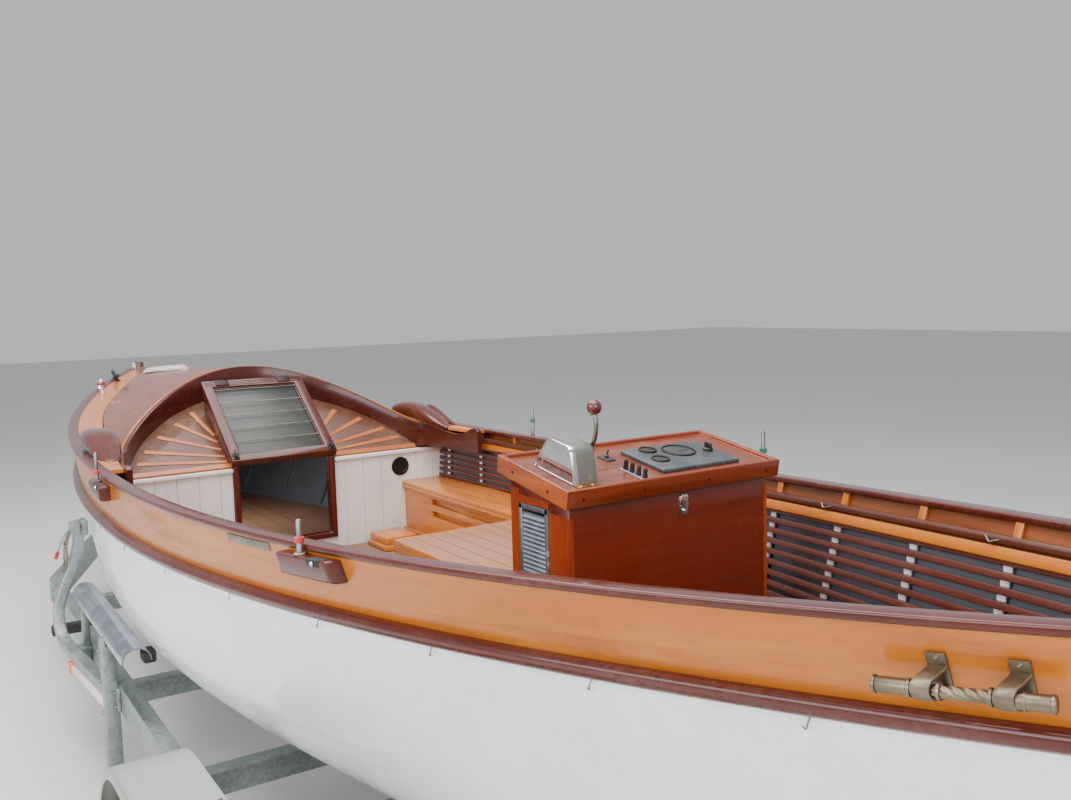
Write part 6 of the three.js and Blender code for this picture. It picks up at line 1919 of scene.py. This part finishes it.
# %% [markdown]
# A trailer tyre has block tread, a rounded shoulder and ribs on its side; the rim is pressed steel with a
# hub and five nuts. The tread is one block many times round the wheel: Geometry Nodes put it in four
# rows, each turned a little from the next. The wheel turns, so its pieces ride on the wheel's own body.

# %% Wheels
def tread_tree():
    """Rows of blocks round a wheel whose axle lies along Y."""
    sizes = (("Radius", 0.3055), ("Length", 0.027), ("Width", 0.0225), ("Depth", 0.0085),
             ("Row Gap", 0.0285), ("Skew", 0.3))
    tree, start, end = grow_tree("tread_blocks", sizes, [("Count", "Int", 56), ("Centre", "Vector", None)],
                                 False)
    size = node(tree, "ShaderNodeCombineXYZ", None, X=start["Length"], Y=start["Width"],
                Z=start["Depth"]).outputs[0]
    block = node(tree, "GeometryNodeMeshCube", None, Size=size).outputs[0]
    points = node(tree, "GeometryNodeMeshLine", {"mode": "OFFSET"}, Count=start["Count"],
                  Offset=(0, 0, 0)).outputs[0]
    index = node(tree, "GeometryNodeInputIndex").outputs[0]
    step = number(tree, "DIVIDE", 2 * math.pi, start["Count"])
    whole = node(tree, "GeometryNodeJoinGeometry")
    for row in range(4):
        across = number(tree, "MULTIPLY", start["Row Gap"], row - 1.5)
        skew = number(tree, "MULTIPLY", start["Skew"], 1.0 if row % 2 else -1.0)
        turn = node(tree, "ShaderNodeCombineXYZ", None, Z=skew).outputs[0]
        place = node(tree, "ShaderNodeCombineXYZ", None, Y=across, Z=start["Radius"]).outputs[0]
        moved_block = node(tree, "GeometryNodeTransform", None, Geometry=block, Translation=place,
                           Rotation=turn).outputs[0]
        angle = number(tree, "MULTIPLY", number(tree, "ADD", index, 0.5 if row in (1, 2) else 0.0), step)
        about = node(tree, "ShaderNodeCombineXYZ", None, Y=angle).outputs[0]
        rotation = node(tree, "FunctionNodeEulerToRotation", None, Euler=about).outputs[0]
        row_of = node(tree, "GeometryNodeInstanceOnPoints", None, Points=points, Instance=moved_block,
                      Rotation=rotation).outputs[0]
        tree.links.new(row_of, whole.inputs[0])
    real = node(tree, "GeometryNodeRealizeInstances", None, Geometry=whole.outputs[0]).outputs[0]
    shifted = node(tree, "GeometryNodeTransform", None, Geometry=real,
                   Translation=start["Centre"]).outputs[0]
    finished = node(tree, "GeometryNodeSetMaterial", None, Geometry=shifted,
                    Material=start["Finish"]).outputs[0]
    tree.links.new(finished, end["Geometry"])
    return tree


tread = tread_tree()
TYRE_HALF = [(0.187, 0.07), (0.19, 0.078), (0.198, 0.0855), (0.216, 0.0895), (0.225, 0.0915),
             (0.229, 0.0905), (0.251, 0.092), (0.2545, 0.0925),
             (0.258, 0.0918), (0.274, 0.0905), (0.286, 0.086), (0.295, 0.0775), (0.2998, 0.066),
             (0.3015, 0.048), (0.302, 0.02)]
TYRE = [*[(r, -w) for r, w in TYRE_HALF], *[(r, w) for r, w in reversed(TYRE_HALF)]]
RIM = [(0.0214, 0.062), (0.044, 0.062), (0.05, 0.058), (0.053, 0.044), (0.06, 0.04), (0.095, 0.036),
       (0.108, 0.041), (0.135, 0.041), (0.148, 0.036),
       (0.158, 0.044), (0.164, 0.062), (0.176, 0.07), (0.184, 0.078), (0.194, 0.0845), (0.199, 0.0845),
       (0.2, 0.081), (0.1965, 0.0775), (0.1868, 0.07),
       (0.1868, -0.07), (0.1965, -0.0775), (0.2, -0.081), (0.199, -0.0845), (0.194, -0.0845),
       (0.184, -0.078), (0.176, -0.07), (0.164, -0.062),
       (0.158, 0.02), (0.148, 0.028), (0.135, 0.035), (0.108, 0.035), (0.095, 0.03), (0.06, 0.034),
       (0.05, -0.03), (0.046, -0.058), (0.0214, -0.058)]
for place, x in (("rear", REAR_X), ("front", FRONT_X)):
    for label, side in SIDES:
        body = f"wheel_{place}_{label}"
        centre = (x, side * WHEEL_Y, WHEEL_Z)
        piece(f"tyre_{place}_{label}", turned(TYRE, centre, "Y", 96), tyre, "tyre_rubber", body, angle=50)
        grown(f"tread_{place}_{label}", bpy.data.meshes.new("tread_start"), tread,
              {"Centre": centre, "Count": 56, "Finish": tyre}, body, angle=20)
        piece(f"rim_{place}_{label}", turned([(r, w * side) for r, w in RIM], centre, "Y", 72), galvanised,
              "galvanised_steel", body, stands_for=body, angle=40)
        cap = [(0.0, 0.0645), (0.03, 0.0645), (0.031, 0.063), (0.036, 0.063), (0.036, 0.066),
               (0.031, 0.069), (0.029, 0.079), (0.024, 0.0835), (0.0, 0.085)]
        piece(f"hub_cap_{place}_{label}", turned([(r, w * side) for r, w in cap], centre, "Y", 40),
              dull_steel, "galvanised_steel", body, angle=50)
        nuts = [((x + 0.078 * math.cos(a), centre[1] + side * 0.045, WHEEL_Z + 0.078 * math.sin(a)),
                 OUT_Y(side)) for a in [2 * math.pi * k / 5 for k in range(5)]]
        fastened(f"wheel_nuts_{place}_{label}", nuts, 0.0115, 0.017, 6, dull_steel,
                 body)
print("wheels:", 4)

# %% [markdown]
# A mudguard covers each pair of wheels. It is one bent sheet with a rolled outer lip, so it is a shell
# that follows two arcs and the flat between them.

# %% Mudguards
ACROSS = [(1.0006, 0.3645), (1.001, 0.365), (1.04, 0.365), (1.2, 0.365), (1.219, 0.3646), (1.2265, 0.3625),
          (1.2315, 0.358), (1.2342, 0.351), (1.2345, 0.341), (1.2345, 0.331)]
BELOW = [(1.0006, 0.3618), (1.001, 0.3614), (1.04, 0.3612), (1.2, 0.3612), (1.218, 0.361), (1.2245, 0.3592),
         (1.2285, 0.3555), (1.2308, 0.35), (1.231, 0.341), (1.231, 0.331)]
arc_path = [(REAR_X, math.radians(172 - 82 * k / 30)) for k in range(31)]
arc_path += [(REAR_X + 0.7 * k / 10, math.pi / 2) for k in range(1, 10)]
arc_path += [(FRONT_X, math.radians(90 - 82 * k / 30)) for k in range(31)]
for label, side in SIDES:
    rows = [[[(cx + r * math.cos(a), side * y, WHEEL_Z + r * math.sin(a)) for y, r in line]
             for cx, a in arc_path] for line in (ACROSS, BELOW)]
    piece(f"mudguard_sheet_{label}", shell(rows[0], rows[1]), guard_grey, "galvanised_steel",
          stands_for=f"mudguard_{label}", angle=40)
    flip = lambda a, b: sorted((side * a, side * b))
    bits = [board(-1.93, -1.87, *flip(FRAME_OUT, 1.0), 0.38, 0.44, 0.003),
            board(-1.93, -1.87, *flip(0.988, 0.9996), 0.38, 0.66, 0.002),
            board(-1.93, -1.87, *flip(0.988, 1.06), 0.654, 0.6711, 0.002)]
    piece(f"mudguard_stay_{label}", joined(*bits), galvanised, "galvanised_steel")
    bolts = [((-1.9 + dx, side * y, 0.678), (0, 0, 1)) for dx in (-0.018, 0.018) for y in (1.02, 1.045)]
    bolts += [((-1.9 + dx, side * 0.9877, 0.41), OUT_Y(-side)) for dx in (-0.018, 0.018)]
    fastened(f"mudguard_bolts_{label}", bolts, 0.007, 0.006, 6, dull_steel)
print("mudguards made")

# %% [markdown]
# A leg and a short post beside the frame carry a half-round steel bunk, which the hull has rubbed bright.
# A bent bar runs forward from the leg and turns up beside the hull to a steel pad, with a ratchet near its
# top and a marker strip under it. The bar follows the solid's own points. All is made for port and
# mirrored to starboard, because the photo shows port only.

# %% Side supports
BUNK_Y, BUNK_Z = 0.96, 0.652
BENT_BAR = [(-0.12, 1.0, 0.42), (0.2, 1.025, 0.42), (0.52, 1.052, 0.424), (0.69, 1.069, 0.45),
            (0.748, 1.072, 0.553), (0.75, 1.046, 0.654), (0.75, 0.976, 0.823), (0.75, 0.948, 0.985)]


def bunk(x0, x1, outer, inner, columns=8):
    """A half-round sheet along the bilge."""
    rows = [[[(x0 + (x1 - x0) * i / columns, BUNK_Y + r * math.cos(math.pi * k / 40),
               BUNK_Z + r * math.sin(math.pi * k / 40))
              for i in range(columns + 1)] for k in range(41)] for r in (outer, inner)]
    return shell(*rows)


half_disc = [(BUNK_Y + 0.0545 * math.cos(math.pi * k / 24), BUNK_Z + 0.0545 * math.sin(math.pi * k / 24))
             for k in range(25)]
web = lambda x0, x1: plate([(BUNK_Y + 0.0545, 0.6205), *half_disc, (BUNK_Y - 0.0545, 0.6205)], x0, x1, "YZ",
                           0.0015)
tube_section = [(0.0255 * math.copysign(abs(a) ** 0.35, a), 0.0255 * math.copysign(abs(b) ** 0.35, b))
                for a, b in circle(1.0, 36)]
bar = swept(smooth_path(BENT_BAR, 9), tube_section, (0, 1, 0))
steel = joined(bar, web(-0.1495, -0.1425), web(-0.0975, -0.0905), web(0.5005, 0.5075), web(0.5325, 0.5395),
               board(-0.1495, -0.0905, FRAME_OUT, 1.0308, 0.0, 0.654, 0.005),
               board(-0.1795, -0.0605, FRAME_OUT, 0.9848, 0.3405, 0.4395, 0.003),
               board(0.5005, 0.5395, FRAME_OUT, 1.0038, 0.3455, 0.654, 0.004),
               board(0.4805, 0.5595, FRAME_OUT, 1.0478, 0.4005, 0.4395, 0.004),
               board(-0.165, -0.075, 0.962, 1.04, 0.0, 0.007, 0.003))
along_bar = Matrix.Translation((-0.12, 1.0, 0)) @ Matrix.Rotation(math.atan2(0.027, 0.32), 4, "Z")
marker = moved(board(0.0, 0.525, -0.004, 0.035, 0.357, 0.393, 0.003), along_bar)
marker_back = moved(board(0.0, 0.58, -0.0075, -0.0035, 0.354, 0.3965, 0.001, 1), along_bar)
lens = moved(board(0.528, 0.578, -0.004, 0.04, 0.345, 0.4, 0.006, 3), along_bar)
# Ratchet fitting: two cheeks, a toothed wheel and a handle with a red grip.
hub = Vector((0.712, 0.978, 0.975))
round_teeth = [2 * math.pi * k / 24 for k in range(24)]
teeth = [(0.026 * math.cos(t) * (1.0 if k % 2 else 0.84), 0.026 * math.sin(t) * (1.0 if k % 2 else 0.84))
         for k, t in enumerate(round_teeth)]
wheel_shape = plate([(hub.y + a, hub.z + b) for a, b in teeth], hub.x - 0.006, hub.x + 0.002, "YZ", 0.0006,
                    1)
cheek = [(hub.y - 0.018, hub.z - 0.036), (hub.y + 0.022, hub.z - 0.028), (hub.y + 0.024, hub.z + 0.024),
         (hub.y - 0.02, hub.z + 0.036)]
cheeks = joined(*[plate(cheek, x, x + 0.004, "YZ", 0.001, 1) for x in (hub.x - 0.016, hub.x + 0.01)])
reach = lambda y, z: hub + Vector((0.004, y, z))
handle = swept(smooth_path([reach(0.01, 0), reach(0.045, -0.03), reach(0.068, -0.075), reach(0.084, -0.12)],
                           6), circle(0.005, 14), (1, 0, 0))
ratchet = joined(wheel_shape, cheeks, handle, rod(hub + Vector((-0.022, 0, 0)), hub + Vector((0.045, 0, 0)),
        0.009, 18))
grip = swept([reach(0.081, -0.11), reach(0.093, -0.145)], circle(0.0085, 16), (1, 0, 0))
for label, side in SIDES:
    put = lambda name, shape, *rest, **more: piece(f"{name}_{label}", mirrored(shape, side), *rest, **more)
    put("side_support_steel", steel, galvanised, "galvanised_steel", stands_for=f"side_support_{label}",
        angle=50)
    put("side_support_pad", board(0.715, 0.785, 0.9145, 0.95, 0.926, 1.004, 0.01, 3), galvanised,
        "galvanised_steel", angle=50)
    put("bunk_sheet", bunk(-0.5195, 0.6595, 0.0578, 0.0522), bunk_steel, "bright_chrome", angle=40)
    put("bunk_block", joined(board(-0.5, -0.42, 0.88, 0.93, 0.63, 0.68, 0.01, 3),
                             board(0.8, 0.86, 0.89, 1.1, 0.42, 0.47, 0.01, 3)),
        rubber, "black_rubber", angle=40)
    put("ratchet", ratchet, galvanised, "galvanised_steel", angle=40)
    put("ratchet_grip", grip, lens_red, "black_rubber", angle=50)
    put("side_marker", marker, marker_white, "grey_plastic")
    put("side_marker_lens", lens, lens_orange, "black_rubber")
    put("side_marker_back", marker_back, dull_steel, "galvanised_steel")
    fastened(f"support_bolts_{label}", [((x, side * 0.9865, z), OUT_Y(side)) for x in (-0.168, -0.072)
                                        for z in (0.36, 0.42)]
             + [((-0.12, side * 1.033, z), OUT_Y(side)) for z in (0.33, 0.47, 0.6)], 0.0085, 0.009, 6,
             dull_steel)
print("side supports made")

# %% [markdown]
# The chain is one link many times, each turned a quarter from the last. Geometry Nodes set a bent ring on
# the points of a hanging line.

# %% Chains
def chain_tree():
    """Sets a link on each point, turned to the line's direction and a quarter turn more each time."""
    sizes = (("Link Radius", 0.0105), ("Wire", 0.0026), ("Stretch", 1.5))
    tree, start, end = grow_tree("chain_links", sizes)
    ring = node(tree, "GeometryNodeCurvePrimitiveCircle", {"mode": "RADIUS"}, Resolution=16,
                Radius=start["Link Radius"]).outputs[0]
    size = node(tree, "ShaderNodeCombineXYZ", None, X=1.0, Y=start["Stretch"], Z=1.0).outputs[0]
    oval = node(tree, "GeometryNodeTransform", None, Geometry=ring, Scale=size,
                Rotation=(math.pi / 2, 0, 0)).outputs[0]
    wire = node(tree, "GeometryNodeCurvePrimitiveCircle", {"mode": "RADIUS"}, Resolution=7,
                Radius=start["Wire"]).outputs[0]
    link = node(tree, "GeometryNodeCurveToMesh", None, Curve=oval, Profile_Curve=wire).outputs[0]
    along = node(tree, "GeometryNodeInputNamedAttribute", {"data_type": "FLOAT_VECTOR"},
                 Name="facing").outputs[0]
    aligned = node(tree, "FunctionNodeAlignRotationToVector", {"axis": "Z"}, Vector=along).outputs[0]
    index = node(tree, "GeometryNodeInputIndex").outputs[0]
    quarter = node(tree, "ShaderNodeCombineXYZ", None, Z=number(tree, "MULTIPLY", index,
            math.pi / 2)).outputs[0]
    quarter_turn = node(tree, "FunctionNodeEulerToRotation", None, Euler=quarter).outputs[0]
    turned_link = node(tree, "FunctionNodeRotateRotation", {"rotation_space": "LOCAL"}, Rotation=aligned,
                       Rotate_By=quarter_turn).outputs[0]
    links = node(tree, "GeometryNodeInstanceOnPoints", None, Points=start["Geometry"], Instance=link,
                 Rotation=turned_link).outputs[0]
    return ended(tree, links, start, end)


chain = chain_tree()
for label, side in SIDES:
    line = smooth_path([(0.735, side * 0.99, 0.965), (0.725, side * 1.02, 0.9), (0.71, side * 1.025, 0.84),
                        (0.715, side * 1.035, 0.78)], 6)
    mesh = bpy.data.meshes.new("chain_points")
    mesh.from_pydata([tuple(p) for p in line], [], [])
    directions = [(line[min(i + 1, len(line) - 1)] - line[max(i - 1, 0)]).normalized()
                  for i in range(len(line))]
    mesh.attributes.new("facing", "FLOAT_VECTOR", "POINT").data.foreach_set("vector",
            [c for d in directions for c in d])
    grown(f"support_chain_{label}", mesh, chain, {"Finish": dull_steel}, angle=60)
print("chains made")

# %% [markdown]
# Three rubber rollers carry the keel, each between two ears on a cross beam. The jockey wheel is a small
# hard rubber tyre on a pressed rim.

# %% Rollers and jockey wheel
ROLLER_Z = 0.3897
for node_name in [n for n in frame["nodes"] if n.startswith("keel_roller")]:
    made = frame["nodes"][node_name]
    middle_x = sum(v.co.x for v in made.data.vertices) / len(made.data.vertices)
    roll = turned([(0.0095, -0.079), (0.034, -0.0795), (0.0392, -0.075), (0.0397, -0.045), (0.0385, -0.02),
                   (0.038, 0.0), (0.0385, 0.02), (0.0397, 0.045), (0.0392, 0.075),
                   (0.034, 0.0795), (0.0095, 0.079)], (middle_x, 0, ROLLER_Z), "Y", 40)
    piece(node_name + "_rubber", roll, rubber, "black_rubber", angle=40)
    low = 0.3403
    ears = joined(*[plate([(middle_x - 0.028, low), (middle_x + 0.028, low), (middle_x + 0.028, 0.392),
                           (middle_x + 0.018, 0.408), (middle_x - 0.018, 0.408),
                           (middle_x - 0.028, 0.392)], y, y + 0.006, "XZ", 0.001, 1)
                           for y in (-0.088, 0.082)],
                  rod((middle_x, -0.095, ROLLER_Z), (middle_x, 0.095, ROLLER_Z), 0.0088, 16))
    piece(node_name + "_ears", ears, galvanised, "galvanised_steel", stands_for=node_name)
small = (4.43, 0.11, 0.1)
piece("jockey_tyre", turned([(0.066, -0.024), (0.07, -0.0265), (0.088, -0.0258), (0.096, -0.021),
                             (0.0997, -0.012), (0.0998, 0), (0.0997, 0.012), (0.096, 0.021),
                             (0.088, 0.0258), (0.07, 0.0265), (0.066, 0.024)], small, "Y", 56), rubber,
                             "black_rubber", "jockey_wheel", angle=50)
piece("jockey_rim", turned([(0.0088, -0.0268), (0.02, -0.0268), (0.022, -0.018), (0.045, -0.012),
                            (0.058, -0.02), (0.066, -0.024), (0.066, 0.024), (0.058, 0.02),
                            (0.045, 0.012), (0.022, 0.018), (0.02, 0.0268), (0.0088, 0.0268)], small, "Y",
                            56), galvanised, "galvanised_steel", "jockey_wheel",
      stands_for="jockey_wheel", angle=40)
print("rollers and jockey wheel made")

# %% [markdown]
# Brass and bronze screws hold the benches, the cabin front and the console. Their heads stand a hair out
# of the wood, as wood shrinks round them.

# %% Screw heads
screws = []
for _, side in SIDES:
    for k in range(12):
        x = -1.86 + 0.2 * k
        screws += [((x, side * 0.6565, 1.016), OUT_Y(-side)), ((x, side * 0.6565, 0.775), OUT_Y(-side))]
for y in (-0.24, -0.12, 0.0, 0.12, 0.24):
    screws += [((x, y, 1.2303), (0, 0, 1)) for x in (-2.31, -1.95, -1.56)]
fastened("wood_screws", screws, 0.0042, 0.0016, 12, brass)
print("screw heads:", len(screws))

# %% [markdown]
# The boat stands in a plain pale studio. The camera stands by the port quarter, at eye height, and looks
# forward over the gunwale. Large soft lights above and beside the boat stand for a shed's roof lights.

# %% Floor, light and camera
floor_mesh = bpy.data.meshes.new("studio_floor")
floor_mesh.from_pydata([(-40, -40, -0.001), (40, -40, -0.001), (40, 40, -0.001), (-40, 40, -0.001)], [],
                       [(0, 1, 2, 3)])
floor_paint, tree, shader = new_finish("pale_floor", Roughness=0.7)
where = node(tree, "ShaderNodeTexCoord").outputs["Object"]
tree.links.new(blended(tree, noise(tree, where, 0.8, 3.0), rgb(214, 212, 208), rgb(206, 204, 200)),
               shader.inputs["Base Color"])
floor_mesh.materials.append(floor_paint)
floor = in_scene("studio_floor", floor_mesh)

world = bpy.data.worlds.new("studio_air")
world.use_nodes = True
world.node_tree.nodes["Background"].inputs["Color"].default_value = (0.78, 0.8, 0.84, 1)
world.node_tree.nodes["Background"].inputs["Strength"].default_value = 0.75
bpy.context.scene.world = world


def soft_light(name, place, target, width, height, power, colour=(1, 1, 1)):
    data = bpy.data.lights.new(name, "AREA")
    data.shape, data.size, data.size_y, data.energy, data.color = "RECTANGLE", width, height, power, colour
    lamp = in_scene(name, data)
    lamp.location = place
    lamp.rotation_euler = (Vector(target) - Vector(place)).to_track_quat("-Z", "Y").to_euler()
    return lamp


soft_light("roof_light", (-0.5, 0.5, 6.5), (-0.5, 0, 0.8), 9, 5, 985, (1, 0.99, 0.97))
soft_light("port_window", (-2.5, 7.5, 4.0), (-0.5, 0, 1.0), 8, 3.5, 610, (0.95, 0.98, 1))
soft_light("quarter_window", (-9.0, 2.0, 4.2), (-1, 0, 1.0), 5, 3, 350, (1, 0.98, 0.95))
soft_light("cabin_lamp", (1.3, 0.1, 1.28), (1.3, 0, 0.7), 0.5, 0.4, 6)

camera_data = bpy.data.cameras.new("studio_camera")
camera_data.sensor_width, camera_data.lens = 36, 33.95
camera_data.clip_end = 200
camera = in_scene("studio_camera", camera_data)
right, up, back = Vector((-0.5454, -0.8377, -0.0273)), Vector((0.0697, -0.0778, 0.9945)), Vector((-0.8353,
        0.5405, 0.1008))
turn = Matrix((right, up, back)).transposed().to_4x4()
camera.matrix_world = Matrix.Translation((-4.6, 1.71, 2.03)) @ turn
bpy.context.scene.camera = camera
print("floor, lights and camera placed")
